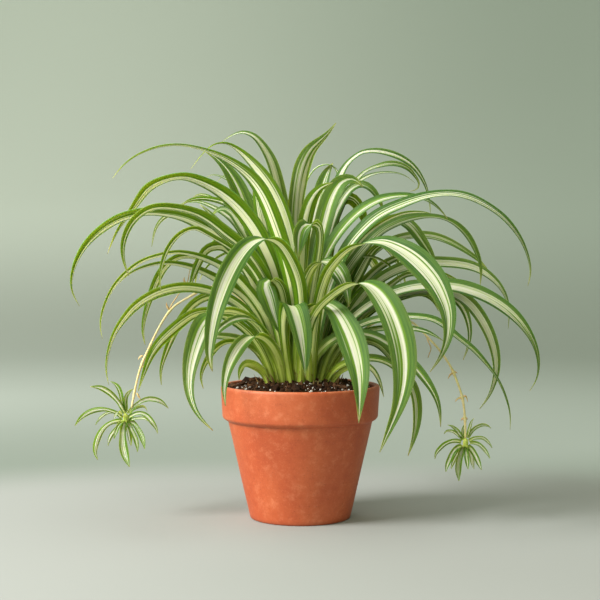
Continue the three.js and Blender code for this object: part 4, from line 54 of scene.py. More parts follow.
# ------------------------------------------------------------------ traced forms
# Stations are [x, y, z, hx, hy, hz] in millimetres, base to tip: the middle of
# the leaf and half its width as a vector to its left edge.
LEAVES = {
    "leaf_left_01": ({}, [[-.3,-6.2,125.1,2.29,-.59,-.15],[-.9,-13.4,146.2,3.34,-.86,-.15],[-1.9,-19.7,165.7,4.74,-1.26,-.07],[-3.4,-24.7,183.8,5.55,-1.52,.16],[-5.6,-29,202,6.02,-1.7,.48],[-8.6,-32.6,220.1,6.38,-1.86,.85],[-12.5,-35.9,238.7,6.79,-2.09,1.25],[-17.1,-38.6,256.6,7.14,-2.63,1.69],[-22.8,-41.1,273.9,7.19,-3.56,2.04],[-29.4,-43.8,291.5,6.85,-4.53,2.12],[-34.7,-45.7,302.7,6.19,-5.28,2.47],[-40.4,-47.4,311.6,5.37,-5.97,2.72],[-46.9,-49.2,319.2,4.48,-6.48,2.75],[-54.8,-51.2,326,3.56,-6.52,2.52],[-64,-53.5,332.2,2.66,-5.89,2.12],[-74.4,-56,337.4,1.83,-4.75,1.66],[-86.5,-58.8,341.7,1.18,-3.47,1.25],[-98.1,-61.5,344.6,.78,-2.66,1.03],[-107.9,-63.6,345.7,.54,-2.37,.97],[-117.6,-65.6,345.2,.35,-2.28,.95],[-126.9,-67.4,343.5,.16,-2.24,.91],[-136.6,-69,340.2,-.01,-2.12,.8],[-145.4,-70.2,336,-.11,-1.9,.62],[-152.7,-71.1,331,-.15,-1.61,.43],[-159.2,-71.9,324.9,-.13,-1.2,.26],[-166.5,-72.8,315.6,-.05,-.5,.09]]),
    "leaf_left_02": ({}, [[-2.2,2,125.1,2.24,-.79,-.17],[-2,-1.8,146.9,3.5,-1.25,-.2],[-2,-4,165.3,4.89,-1.78,-.1],[-2.4,-4.9,185.2,5.58,-2.15,.12],[-3.4,-5.7,206.2,6,-2.9,.23],[-5.1,-7.1,227.3,6.36,-3.84,.39],[-7.7,-8.4,247,6.66,-4.6,.79],[-11.3,-9.5,265.3,6.78,-4.92,1.25],[-15.9,-10.9,282.3,6.67,-4.98,1.7],[-21.4,-12.3,296.8,6.32,-5.02,2.28],[-28.1,-13.7,309.8,5.68,-5.03,2.78],[-36.7,-15.3,322.8,4.76,-5.22,2.8],[-46.1,-17.1,334,3.52,-5.3,2.34],[-55.7,-19,343.2,2.11,-4.3,1.58],[-62.3,-20.2,347.9,1.2,-3.32,1.19],[-67.4,-21,350.3,.66,-2.67,.94],[-71.7,-21.6,350.8,.35,-2.32,.77],[-75.9,-22.1,350.5,.14,-1.99,.6],[-80.1,-22.7,349,.01,-1.72,.45],[-84.8,-23.3,345.9,-.05,-1.45,.32],[-90.2,-24,340.4,-.07,-1.15,.21],[-100.6,-25.5,326.8,-.04,-.5,.08]]),
    "leaf_left_03": ({}, [[-4.1,9.5,125,-2.26,-.78,.09],[-4.8,14.3,147.8,-3.41,-1.18,.15],[-5.5,19,170,-4.82,-1.81,.21],[-6.2,22.5,188.7,-5.24,-2.53,.17],[-7,24.3,205.8,-5.45,-3.39,-.04],[-8.3,25.3,225.5,-5.6,-4.4,-.26],[-10.2,26.1,246.4,-5.69,-5.31,-.42],[-12.8,26.8,266.1,-5.62,-5.64,-.7],[-16.3,27.2,287.2,-5.53,-5.63,-.9],[-19.9,27.3,308.3,-5.31,-5.22,-1],[-23.6,27.3,323.8,-5.2,-4.49,-1.45],[-28,27.6,337.4,-4.81,-3.62,-1.86],[-32.9,27.9,347,-3.97,-3.13,-2.23],[-38.6,28.4,355.2,-3.02,-2.8,-2.34],[-43.7,28.8,360.5,-2.11,-2.63,-2.35],[-47.7,29.2,363,-1.34,-2.56,-2.29],[-51.7,29.5,364.4,-.69,-2.43,-2.08],[-55.8,29.8,365,-.17,-2.24,-1.78],[-60.4,30.3,364.1,.15,-1.94,-1.36],[-65.9,30.8,362,.28,-1.46,-.89],[-75.3,31.8,356,.11,-.42,-.23]]),
    "leaf_left_04": ({}, [[-9.8,6.8,125,-2.59,-.93,.06],[-10.6,9.1,140.7,-3.51,-1.29,-.1],[-12.3,11.3,156.2,-4.73,-2.06,-.37],[-14.9,13.3,172.3,-5.83,-3.52,-.63],[-18.1,15.1,188.6,-6.13,-4.54,-.89],[-22,16.5,204.9,-6.46,-5.43,-1.22],[-26.8,18,223,-7.05,-6.15,-1.42],[-31.3,19.3,238.5,-7.3,-6.5,-1.82],[-35.5,20.3,249.8,-7.06,-6.61,-2.54],[-41.1,21.3,260.6,-6.86,-6.53,-3.06],[-45.7,22,270.1,-7.36,-5.97,-2.39],[-49.6,22.7,282.9,-7.82,-4.59,-2.03],[-54.1,23.3,297.8,-7.88,-3.09,-2.59],[-58.9,23.8,310,-7.46,-2.53,-3.24],[-64.4,24.4,320.7,-6.08,-2.18,-3.42],[-70.1,24.9,329.3,-4.28,-1.77,-3.17],[-76.2,25.5,336.2,-2.75,-1.39,-2.71],[-83,26.1,342,-1.54,-1,-2.03],[-92.2,26.8,347.5,-.46,-.38,-.78]]),
    "leaf_left_05": ({}, [[-6.9,1.4,125,2.25,-.72,.24],[-8.3,2.1,140,3.08,-.99,.32],[-9.6,2.3,154,4.17,-1.44,.43],[-11.2,2.4,168.2,5.35,-2.64,.69],[-12.7,3.1,180.5,5.54,-3.74,1.06],[-14.7,4.3,194.2,5.7,-4.73,1.29],[-16.9,4.9,206.3,5.93,-5.46,1.26],[-19.7,4.9,219.4,6.08,-5.75,1.37],[-23,4.7,232.3,6.1,-5.67,1.66],[-27.2,4.5,246,6.27,-4.96,1.83],[-31.1,4.1,259.2,6.47,-3.74,1.6],[-34.4,3.6,272.8,6.59,-2.55,1.41],[-37.5,3.1,287.2,6.5,-2.13,1.25],[-40.2,2.6,301.7,5.42,-1.76,.9],[-42.6,2.1,316.2,2.72,-.88,.38]]),
    "leaf_left_06": ({}, [[-10.6,-8.2,125,2.33,-1.44,.21],[-13,-9.6,146.1,3.4,-2.1,.18],[-14.8,-11,169.1,5.11,-3.15,.2],[-16.6,-12.1,191.5,5.82,-3.61,.4],[-18.9,-13,210.2,6.33,-3.97,.83],[-22,-13.8,225.3,6.67,-4.3,1.52],[-26.3,-14.6,238.7,6.86,-4.63,2.34],[-32.7,-15.5,253.2,7.04,-5,3.11],[-41.1,-16.7,268.9,7.16,-5.44,3.75],[-48.9,-17.8,280.7,6.66,-5.95,4.38],[-57.3,-18.8,290.8,5.82,-6.58,4.77],[-66.5,-19.8,299.4,4.83,-7.23,4.91],[-76.5,-20.8,306.8,3.84,-7.74,4.81],[-87.3,-21.9,312.7,2.83,-7.82,4.36],[-97.9,-22.9,317,1.83,-7.24,3.66],[-105.3,-23.5,318.9,1,-6.57,3.16],[-111.9,-24.1,319.1,.34,-6.11,2.86],[-119,-24.6,318,-.24,-5.88,2.78],[-127.3,-25.1,315.4,-.89,-6,3],[-134.4,-25.5,312,-1.64,-6.13,3.07],[-140.1,-25.7,308,-2.31,-6.04,2.79],[-145.5,-25.8,301.8,-2.64,-5.63,2.17],[-155.1,-25.7,288.3,-2.07,-4.42,1.43],[-165.6,-25.2,274.2,-1.22,-2.9,.68],[-171.7,-24.7,263.6,-.79,-1.91,.29],[-178.1,-23.9,248.6,-.23,-.55,.06]]),
    "leaf_left_07": ({}, [[-13.4,-11,125,2.36,-.68,-.27],[-12.4,-12.4,142.7,3.24,-.93,-.02],[-13.8,-13.7,159.6,4.45,-1.29,.5],[-17.1,-15.2,176.7,5.52,-1.64,1.25],[-23.1,-17,196.1,6.1,-1.85,1.87],[-29.2,-18.7,212.3,6.2,-2.03,2.66],[-36.5,-20.3,225.1,5.94,-2.35,3.57],[-47,-22.5,239.3,5.71,-3.21,4.19],[-58.8,-24.6,252.1,5.27,-4.48,4.63],[-70.5,-26.6,262.3,4.55,-5.53,5.03],[-85.8,-28.8,272,3.82,-6.38,5.02],[-99.7,-30.6,279.2,2.87,-7.06,4.74],[-112.5,-32.1,283.5,1.89,-7.47,4.32],[-127.3,-33.6,285.9,1.14,-7.47,3.79],[-139.6,-34.9,286.3,.44,-7.35,3.65],[-151.5,-36,284,-.28,-7.23,3.66],[-165.4,-37.2,279.6,-.91,-6.93,3.52],[-175.9,-38,274,-1.5,-6.51,3.05],[-186.6,-38.7,265.9,-1.8,-5.84,2.4],[-195.2,-39.1,256.8,-1.87,-5.13,1.69],[-201.6,-39.4,247,-1.72,-4.34,1.02],[-206.2,-39.5,236.6,-1.36,-3.38,.47],[-208.6,-39.6,226.6,-.96,-2.43,.12],[-208.7,-39.6,218.6,-.68,-1.78,-.08],[-206.8,-39.6,211.1,-.45,-1.24,-.16],[-201.7,-39.5,201.1,-.17,-.5,-.1]]),
    "leaf_left_08": ({}, [[-11.5,-13.7,125,2.23,-.72,.12],[-13.7,-16.1,148.1,3.39,-1.1,.27],[-16.6,-18.4,169.8,4.75,-1.56,.56],[-20.2,-20.7,189.2,5.22,-1.89,.95],[-24.9,-23,206.5,5.46,-2.55,1.42],[-30.8,-25.3,221.7,5.45,-3.45,1.89],[-38,-27.9,235.4,5.32,-4.32,2.33],[-46,-30.6,246.9,5.09,-4.96,2.88],[-54.2,-33,255.5,4.59,-5.37,3.55],[-68.1,-36.9,266.4,4.56,-5.51,3.57],[-81.4,-40.7,277.4,4.13,-5.87,3.43],[-91.5,-43.5,283.7,3.32,-6.19,3.36],[-102.2,-46.4,287.7,2.52,-6.1,3.15],[-114.9,-49.7,290.2,1.78,-5.56,2.97],[-125.5,-52.3,290.8,1.06,-5.28,3.05],[-133.1,-54.1,289.6,.26,-5.19,3.1],[-139.7,-55.6,286.8,-.56,-5,2.96],[-145.7,-57,282.2,-1.33,-4.6,2.59],[-151.2,-58.3,276,-1.92,-4.02,2.02],[-155.3,-59.3,268.5,-2.25,-3.36,1.32],[-158.2,-60.1,259.7,-2.24,-2.62,.63],[-159.1,-60.5,250.8,-1.9,-1.93,.06],[-158.1,-60.7,242.2,-1.35,-1.3,-.27],[-153.7,-60.7,228.9,-.34,-.32,-.12]]),
    "leaf_left_09": ({}, [[-19,-13.4,125,2.02,-.52,.1],[-20.5,-13.2,145.3,3,-.77,.36],[-23.5,-13.7,163.7,4.13,-1.09,.82],[-27.7,-14.8,178.9,4.55,-1.28,1.47],[-33.5,-16.3,192.5,4.46,-1.44,2.14],[-41.3,-17.9,205,4.16,-1.86,2.73],[-53.2,-20.4,219.9,3.97,-2.96,2.88],[-62.8,-22.5,229.7,3.43,-4.02,3.07],[-73.9,-24.8,237.3,2.75,-4.87,2.96],[-86.8,-27.4,243.7,2.04,-5.02,2.53],[-100,-30,248,1.35,-4.38,2.08],[-111.1,-32.2,249.7,.78,-3.71,1.78],[-121.8,-34.2,248.8,.37,-3.37,1.64],[-135.1,-36.8,245.4,.07,-3.42,1.72],[-145.8,-38.8,241,-.27,-3.6,1.72],[-155.1,-40.6,234.3,-.59,-3.73,1.58],[-164.8,-42.5,225,-.81,-3.68,1.32],[-171.9,-43.9,215.2,-.89,-3.25,.9],[-177.2,-44.9,203.8,-.82,-2.62,.5],[-180.7,-45.5,192,-.65,-1.93,.2],[-181.6,-45.8,182.5,-.44,-1.27,.02],[-179.9,-46.1,171.4,-.13,-.37,-.02]]),
    "leaf_left_10": ({}, [[-20,-4.7,124.9,2.02,-.48,.35],[-22.6,-.9,142.5,2.72,-.67,.63],[-25.9,.8,157.1,3.43,-.9,.94],[-30.7,.7,172.6,3.96,-1.28,1.39],[-36.7,.2,186.4,3.88,-2.03,1.96],[-44.3,-.5,198.6,3.68,-2.89,2.45],[-52.6,-1.7,208.2,3.38,-3.56,2.89],[-62.2,-3.4,215.8,2.9,-4.05,3.25],[-76.4,-6,223.8,2.48,-4.39,3.25],[-91.8,-9,232,2.24,-4.58,2.88],[-104.7,-11.5,236.7,1.62,-4.53,2.66],[-118,-14,239.4,1.02,-4.07,2.36],[-129.5,-16.1,239.7,.44,-3.37,1.98],[-141.2,-18.1,237.5,.04,-2.76,1.58],[-152.2,-19.9,233.5,-.2,-2.09,1.11],[-161.2,-21.4,227.9,-.26,-1.31,.62],[-168.6,-22.9,220.4,-.09,-.34,.14]]),
    "leaf_left_11": ({}, [[-21.7,-18.9,125,2,-.56,.13],[-23.6,-19.1,140.9,2.64,-.77,.5],[-27.6,-19.7,155.7,3.31,-1.09,1.06],[-33.2,-20.9,169.3,3.85,-1.77,1.74],[-41.4,-22.8,183.4,3.79,-2.79,2.04],[-49.6,-24.8,194.3,3.49,-3.64,2.36],[-58,-26.8,201.9,3.12,-4.2,2.83],[-68.4,-29.3,208.2,2.79,-4.66,3.3],[-80.2,-32.3,212.9,2.42,-5.06,3.74],[-95.9,-36.4,216.6,2.1,-5.13,4.25],[-106.6,-39.2,217.3,1.19,-5.01,4.74],[-118.4,-42.4,215.8,.22,-4.82,5.03],[-129.9,-45.5,212.2,-.69,-4.75,4.83],[-140.9,-48.6,206.4,-1.37,-4.74,4.25],[-150.6,-51.4,199.1,-1.75,-4.81,3.43],[-158.8,-54,189.7,-1.66,-4.69,2.37],[-166.1,-56.2,178.6,-1.33,-4.06,1.4],[-170.7,-57.8,167.5,-1.12,-3.3,.74],[-173.8,-58.9,154.9,-.87,-2.4,.29],[-174.5,-59.5,143.9,-.59,-1.59,.04],[-172.4,-59.9,130.7,-.15,-.39,-.02]]),
    "leaf_left_12": ({}, [[-15.4,.1,125,1.98,-.72,.2],[-17.8,.8,144.6,2.7,-1,.52],[-22.2,1.2,163.1,3.54,-1.36,1.04],[-28.4,1.2,181.3,3.8,-1.59,1.5],[-35.8,.9,196.9,3.75,-2.1,2.04],[-45.1,.3,211.2,3.56,-2.89,2.53],[-55.6,-.4,223.5,3.18,-3.68,2.93],[-65.6,-1.1,231.9,2.47,-4.35,3.17],[-77.7,-2,238.2,1.68,-4.74,2.98],[-92.6,-3.2,243.7,1.08,-4.54,2.63],[-104.4,-4.2,246.2,.53,-4.56,2.74],[-111.5,-4.7,245.7,-.25,-4.65,2.87],[-117.8,-5.2,243.5,-1.12,-4.6,2.83],[-123.8,-5.7,238.9,-2.02,-4.31,2.57],[-130,-6.3,231.3,-2.8,-3.75,2.12],[-135.5,-7,220.4,-3.2,-2.96,1.47],[-142.8,-8,200.2,-2.56,-1.91,.91],[-146.4,-8.4,185.9,-1.89,-1.35,.33],[-147.2,-8.7,174.3,-1.2,-.85,-.04],[-145.2,-9,163.5,-.38,-.27,-.1]]),
    "leaf_left_13": ({}, [[-12.4,-15.1,125,2.02,-.48,.25],[-16.2,-17.6,149.4,2.82,-.68,.4],[-20.3,-20.1,171.8,3.62,-.9,.63],[-24.9,-22.9,191.3,3.62,-1.17,.8],[-30.3,-26.3,208.4,3.73,-1.83,.96],[-36.7,-30.4,222.8,3.72,-2.59,1.05],[-44,-35.1,235,3.52,-3.29,1.03],[-52.5,-40.3,245.1,3.26,-3.64,1.05],[-62.9,-46.4,254,2.98,-3.65,1.11],[-75.6,-54,261.9,2.47,-3.18,1.09],[-88.2,-61.6,269.2,2.28,-2.71,1.35],[-93.2,-64.5,271.2,1.83,-2.85,1.76],[-97.6,-66.8,270.9,1.24,-3.03,2.06],[-102.7,-69.5,268.9,.49,-3.07,2.27],[-108.6,-72.9,264.7,-.42,-2.82,2.26],[-114.2,-76.3,258,-1.24,-2.34,1.84],[-118.7,-79.3,249.6,-1.69,-1.86,1.21],[-122,-81.5,238.7,-1.62,-1.36,.57],[-123.8,-82.8,226.8,-1.06,-.81,.11],[-122.9,-83.5,216.1,-.36,-.27,-.04]]),
    "leaf_left_14": ({}, [[-24.4,-20.5,125,2.02,-.33,.39],[-28.8,-22,142,2.74,-.51,.83],[-34.4,-24,156.1,3.33,-.85,1.47],[-41.2,-26.7,167.7,3.76,-1.74,2.17],[-49.7,-30.3,177.6,3.69,-2.66,2.56],[-60.2,-35.1,186.3,3.68,-3.4,2.9],[-70.7,-40.2,192.7,3.48,-3.88,3.48],[-78.8,-44.2,195.1,2.65,-4.17,4.16],[-88,-48.7,195.3,1.54,-4.15,4.76],[-95.8,-52.6,193.5,.12,-4.12,5.01],[-104.3,-57.4,188.3,-1.33,-3.86,4.85],[-117,-64.7,177.8,-2.32,-3,4.38],[-126.7,-70.2,167.7,-2.79,-2.45,3.33],[-132.9,-73.9,158,-2.7,-2.12,2.05],[-137.9,-77,145.5,-2,-1.51,.95],[-143.8,-79.7,126.9,-.34,-.26,.15]]),
    "leaf_left_15": ({}, [[-22.8,-9.5,125,2.04,-.38,.3],[-26.7,-9.3,145.6,2.87,-.56,.71],[-32.4,-9.7,164.4,3.73,-.93,1.36],[-39.4,-10.5,179.7,3.79,-1.81,2.01],[-47.7,-11.8,191.5,3.48,-2.71,2.68],[-57.1,-13.3,200,2.93,-3.42,3.34],[-68.5,-15.2,206.2,2.24,-3.88,3.89],[-77.8,-16.8,208.8,1.12,-4.1,4.23],[-85.6,-18.1,208.4,-.19,-4.22,4.25],[-93.2,-19.4,205.4,-1.45,-4.27,3.89],[-101.1,-21,199.1,-2.4,-4.22,3.17],[-109.6,-22.8,187.9,-2.88,-3.93,2.36],[-118.7,-24.9,170.8,-2.9,-2.94,1.69],[-125.6,-26.6,153.2,-2.16,-1.89,.83],[-128.8,-27.3,139.6,-1.28,-1.07,.18],[-128.2,-27.8,127.6,-.36,-.3,-.04]]),
    "leaf_left_16": ({}, [[-5.9,-17.3,125.1,2.56,-.02,-.33],[-3,-26.6,148.1,4.23,-.06,-.52],[-.8,-34.9,169.3,5.54,-.41,-.64],[.5,-42.2,189.1,5.82,-.87,-.51],[.3,-48.7,206.3,6.17,-.95,-.03],[-1.2,-54.7,220.5,6.48,-.82,.8],[-4.2,-60.4,231.8,6.35,-1.04,1.67],[-9.5,-67.8,244,5.93,-2.05,1.59],[-14.7,-74.2,252.9,5.48,-3.13,1.51],[-19.2,-78.8,257.9,4.98,-3.95,1.58],[-24,-82.9,260.8,4.47,-4.68,1.21],[-29,-86.9,262.3,4.14,-5.16,.16],[-34.1,-90.9,262,4.28,-4.91,-1.48],[-39.6,-95.4,260.1,4.86,-3.8,-3.1],[-45.3,-100.7,256.2,5.75,-2.17,-4.23],[-51.4,-107,249.4,6.94,-.76,-4.67],[-57.4,-114.1,239.9,7.97,-.07,-4.23],[-63.7,-122.3,226.4,8.38,.16,-3.52],[-68.8,-130,211.8,8.07,.33,-2.64],[-72.4,-135.6,198.4,7.37,.37,-1.72],[-74.7,-139.1,185.4,6.35,.35,-1.01],[-76.2,-141,171.8,4.93,.3,-.31],[-76.2,-141.7,160.8,3.12,.23,.33],[-73.8,-142.1,150.1,.4,.04,.12]]),
    "leaf_left_17": ({}, [[-15.1,-23.1,125,2.55,.06,.28],[-17.7,-28.3,142.1,3.43,.12,.8],[-21.3,-34.6,154.5,4.29,.21,1.78],[-26.5,-43,164.9,4.12,.15,2.86],[-32.6,-51.6,171.8,3.34,-.72,3.04],[-38.9,-59.7,174.9,3.39,-2.25,2.11],[-44.6,-67.2,174.6,3.98,-2.55,-1.08],[-51.1,-77.4,170.5,4.69,-.83,-3.43],[-57.3,-90.3,162.4,5.45,-.06,-3.12],[-62.2,-103.5,151.6,4.83,.11,-1.69],[-64.5,-112.6,141.6,3.68,.12,-.63],[-65.3,-117.5,131.7,2.34,.1,-.06],[-64,-120.7,118.6,.42,.03,.08]]),
    "leaf_left_18": ({"widen": 1.42}, [[-17.9,-20.2,125,2.56,.05,.18],[-20.1,-22.8,141.3,3.37,.12,.81],[-24.8,-26.3,156,4.04,.18,1.72],[-32.1,-31.7,170.4,3.97,-.22,2.22],[-40.4,-37.8,182.5,3.33,-1.31,2.1],[-48.8,-43.2,190.1,2.93,-2.12,2.37],[-57.8,-48.6,194.6,2.48,-2.52,2.98],[-67.8,-54.8,196.3,2.16,-3.27,3.13],[-75.6,-59.9,195.4,2.99,-4.63,.96],[-81.1,-64,192.2,4.83,-3.62,-1.9],[-86.1,-68.8,185.8,6.24,-.71,-3.12],[-91.6,-76.8,172.7,6.52,.31,-2.4],[-95.8,-84.9,157.1,5.69,.18,-1.11],[-97.6,-91.8,141.4,4.27,-.16,-.05],[-96.6,-96.7,127.9,3.13,-.66,.79],[-93,-100.2,116.5,2,-.94,1.18],[-86.8,-103,106.5,1.06,-.65,1.03],[-75.8,-106.1,95.6,.22,-.03,.27]]),
    "leaf_left_19": ({}, [[-9.6,-20.4,125,2.56,.04,.2],[-11.2,-20.9,147.6,3.86,.05,.23],[-12.3,-24.3,168.6,4.63,.04,.26],[-13.9,-29.9,191.1,5.11,-1.19,.24],[-17.3,-35.3,211.2,5.72,-.3,1.34],[-21.3,-38.3,221.1,4.57,-1.99,2.75],[-25.4,-39.7,224.8,2.12,-5.16,1.76],[-28.5,-40.4,225.1,1.74,-5.83,-1.39],[-31,-40.8,223.6,4.38,-4.64,-2.46],[-32.1,-41.1,220.5,7.05,-2.82,-.61],[-30.5,-41.2,212.9,8.45,-1.03,2.48],[-25.2,-38,195.3,6.6,-.87,1.92],[-17.8,-31.2,173.2,.44,-.08,.12]]),
    "leaf_right_01": ({}, [[2.6,5.4,125,-2.24,.81,.03],[3.3,5.8,147.5,-3.39,1.23,.15],[4.8,6.4,169.7,-4.79,1.74,.34],[7,7.3,191.3,-5.16,1.89,.55],[10.1,8.3,213.3,-5.32,2.04,.75],[13.9,9.3,234.4,-5.3,2.6,.93],[18.3,10.5,253.6,-5.22,3.6,1.12],[24.5,12.2,274.8,-5.16,4.4,1.2],[30.9,13.8,296.4,-4.93,4.87,1],[35.9,15.1,314.9,-4.17,5.31,.92],[39.9,16,325.6,-3.25,5.02,1.12],[44.2,16.8,332.9,-2.41,4.35,1.25],[49,17.5,338.3,-1.8,3.82,1.36],[54,18.2,342.1,-1.39,3.59,1.53],[59.2,18.9,344.9,-1.08,3.59,1.81],[65.1,19.6,346,-.76,3.86,2.26],[72.6,20.5,346.1,-.32,4.11,2.82],[82.2,21.7,344.6,.28,4.06,3.35],[92.2,22.9,341.6,.95,3.58,3.42],[100.4,23.9,337.5,1.51,3.1,3.02],[106.7,24.7,332.9,1.89,2.76,2.43],[112.3,25.3,326.6,2.02,2.45,1.75],[117.5,25.9,318.4,1.83,2.11,1.08],[121.2,26.2,309.5,1.47,1.7,.54],[123.7,26.5,298.8,.95,1.12,.18],[124.9,26.7,285.8,.27,.32,.01]]),
    "leaf_right_02": ({"flip": True, "hw": 0.46, "tone": -0.2}, [[-.3,.2,125,2.37,1.1,.1],[-1.4,.9,143.2,3.33,1.58,.14],[-2.4,1.3,160.8,4.62,2.61,.19],[-3.2,1.7,178.1,5.32,3.99,.1],[-3.8,2.5,193.6,5.54,4.81,-.18],[-4.2,3.9,210.4,5.67,5.79,-.36],[-4.3,4.8,225.2,5.76,6.63,-.13],[-4.5,4.8,240.4,6,7.14,.2],[-4.7,4.2,257.6,6.12,7.25,.31],[-4.6,3.6,273.5,6.35,7,.14],[-3.8,2.8,289.1,6.78,6.1,-.11],[-2.4,1.7,303.8,7.14,4.83,-.48],[-.4,.6,317.2,7.52,3.79,-1.04],[2.1,-.6,328.5,7.66,3.31,-1.78],[5.1,-1.7,337,6.97,3.11,-2.53],[8.2,-2.7,343.2,5.76,2.9,-3.08],[12,-3.6,348.3,4.35,2.61,-3.26],[18.8,-5.1,354.6,2.72,1.91,-2.55],[26.5,-6.9,362.1,1.61,1.01,-1.23],[33.2,-8.8,370.5,.44,.24,-.27]]),
    "leaf_right_03": ({}, [[.7,-4,125,-2.32,1.68,.35],[2.5,-6.7,146.8,-3.7,2.41,.72],[5.1,-10.1,168.7,-5.69,4.04,1.41],[7.9,-13.5,190.1,-6.25,5.55,1.48],[9.9,-14.7,207,-6.73,6.65,.84],[12.1,-13.7,224.6,-7.3,7.34,.27],[15.4,-11.6,246,-7.41,7.39,.65],[19.4,-10.2,266.6,-7.79,6.06,1.41],[24.2,-9.7,286.1,-8.26,3.76,2.28],[29.4,-9.6,302,-8.17,3.12,3.45],[34,-9.8,310.6,-6.67,2.48,4.89],[38.1,-10,315.3,-4.43,1.59,5.74],[42,-10.3,317.5,-2.12,.75,5.77],[45.6,-10.5,318.5,-.23,.07,5],[49.2,-10.8,318.1,1.02,-.36,3.69],[53.1,-11.1,316,1.34,-.48,2.11],[58.4,-11.7,310.9,.45,-.17,.41]]),
    "leaf_right_04": ({}, [[-3.1,-9.3,125,2.24,.75,-.01],[-2.5,-10.9,142.2,3.16,1.06,-.01],[-1.8,-13.2,157.3,4.34,1.73,.12],[-.9,-17,174.9,5.34,3.34,.43],[0,-20.4,192.1,5.49,4.64,.56],[.7,-23,208.7,5.88,5.49,.54],[1.2,-25,226.3,6.18,5.81,.43],[1.8,-26.7,244.6,6.36,5.53,.21],[2.9,-28.3,262.2,6.72,4.05,-.15],[4.5,-29.8,276.7,6.73,2.62,-.82],[7.1,-31.2,288.9,6.53,1.86,-1.53],[10,-32.9,297.3,5.82,1.59,-2.27],[13.4,-34.7,303.2,4.58,1.61,-2.73],[17.2,-36.7,307.5,3.12,1.68,-2.62],[22.2,-39.2,310.8,1.67,1.45,-1.83],[29.7,-42.8,313.5,.24,.32,-.32]]),
    "leaf_right_05": ({}, [[2.5,-7.1,125,-2.02,1.12,.49],[4.6,-9.6,142.1,-2.61,1.44,.38],[5.2,-11.9,160.7,-3.54,2.08,.25],[5.5,-13.7,181.8,-4.16,3.2,.43],[6.7,-15.3,197.4,-4.1,3.95,1.07],[9.3,-17.2,210.1,-3.95,4.48,1.83],[14.8,-20,226.2,-3.93,5.07,2.36],[21.8,-22.7,243,-3.86,5.68,2.65],[29.5,-24.8,258.3,-3.71,5.88,2.8],[36.9,-26.1,269.6,-3.47,5.81,3.2],[45.8,-27,280,-3.09,5.63,3.56],[55.5,-27.9,288.6,-2.45,5.42,3.75],[65.2,-28.6,294.9,-1.65,5.3,3.74],[74.5,-29.2,299,-.83,5.15,3.54],[85,-29.9,301.4,-.16,4.76,3.05],[95.6,-30.5,302.2,.28,4.15,2.57],[105.8,-31,301.1,.56,3.39,2.2],[114,-31.2,298.8,.82,2.68,1.85],[121.1,-31.4,295.1,.95,1.98,1.41],[128,-31.4,289.3,.83,1.24,.85],[135.5,-31.3,280.2,.27,.32,.2]]),
    "leaf_right_06": ({"hw": 0.25, "tone": -1.2}, [[9.1,-9.8,125,-1.98,1.13,.61],[13,-15.1,149,-2.98,1.7,.81],[16.5,-20.5,174,-4.15,2.45,1.13],[20.2,-24.6,195,-4.31,2.97,1.47],[24.6,-27.7,212,-4.21,3.62,1.97],[31.4,-30.6,230.2,-4.04,4.39,2.36],[39,-33.2,246.6,-3.83,5.01,2.81],[46.3,-35.1,258.6,-3.53,5.36,3.46],[55.8,-37.2,270,-3.19,5.65,4.08],[66,-39.1,279.7,-2.63,5.9,4.57],[76,-40.8,286.5,-1.81,6.09,4.83],[88.6,-42.6,292.3,-.98,6.32,4.66],[106.2,-45,298.6,-.36,6.22,3.82],[120,-46.6,301.8,.13,5.8,3.36],[132.2,-47.9,302.8,.57,5.54,3.23],[143.1,-49,302,1.06,5.4,3.19],[153.4,-50,299.3,1.57,5.28,3.13],[165,-50.9,294,1.99,5.1,2.95],[176.2,-51.8,287,2.25,4.72,2.6],[185.7,-52.4,278.9,2.33,4.14,2.11],[193.7,-52.7,269.3,2.18,3.41,1.54],[200.1,-52.6,259.2,1.9,2.67,1.02],[204.7,-52.4,248.2,1.54,2,.58],[207.4,-51.9,238.1,1.18,1.46,.24],[207.8,-51.5,230.2,.84,1.01,.01],[205.7,-50.9,219.7,.31,.37,-.05]]),
    "leaf_right_07": ({}, [[12,-2.7,125,-1.87,.93,.27],[15,-3.7,146.4,-2.87,1.45,.56],[19.1,-4.8,166.9,-3.99,2.09,1.04],[24.1,-6,186.1,-4.27,2.68,1.47],[30.4,-7.2,204.5,-4.22,3.58,1.87],[37.6,-8.4,220.9,-3.98,4.45,2.3],[45.5,-9.5,235,-3.64,5.16,2.78],[55.6,-10.7,248.8,-3.25,5.77,3.16],[66.5,-12,261.2,-2.73,6.08,3.41],[75.9,-13.1,269.7,-2.05,6.2,3.68],[85.3,-14,275.2,-1.29,6.25,3.85],[97,-15.2,280,-.57,6.09,3.66],[108.3,-16.3,282.6,.07,5.36,3.09],[120,-17.5,283.4,.45,4.27,2.35],[129.2,-18.3,282.4,.79,3.69,2.06],[137.1,-19,279.9,1.27,3.59,2.11],[144.2,-19.7,275.8,1.96,3.57,2.26],[150.8,-20.3,270,2.65,3.29,2.17],[156.8,-20.9,262.3,2.95,2.7,1.72],[162.2,-21.4,251.7,2.64,2.01,1.07],[165.9,-21.6,241.4,2.08,1.45,.47],[167.1,-21.8,231.9,1.42,.96,.06],[166.4,-21.8,218.9,.39,.26,-.04]]),
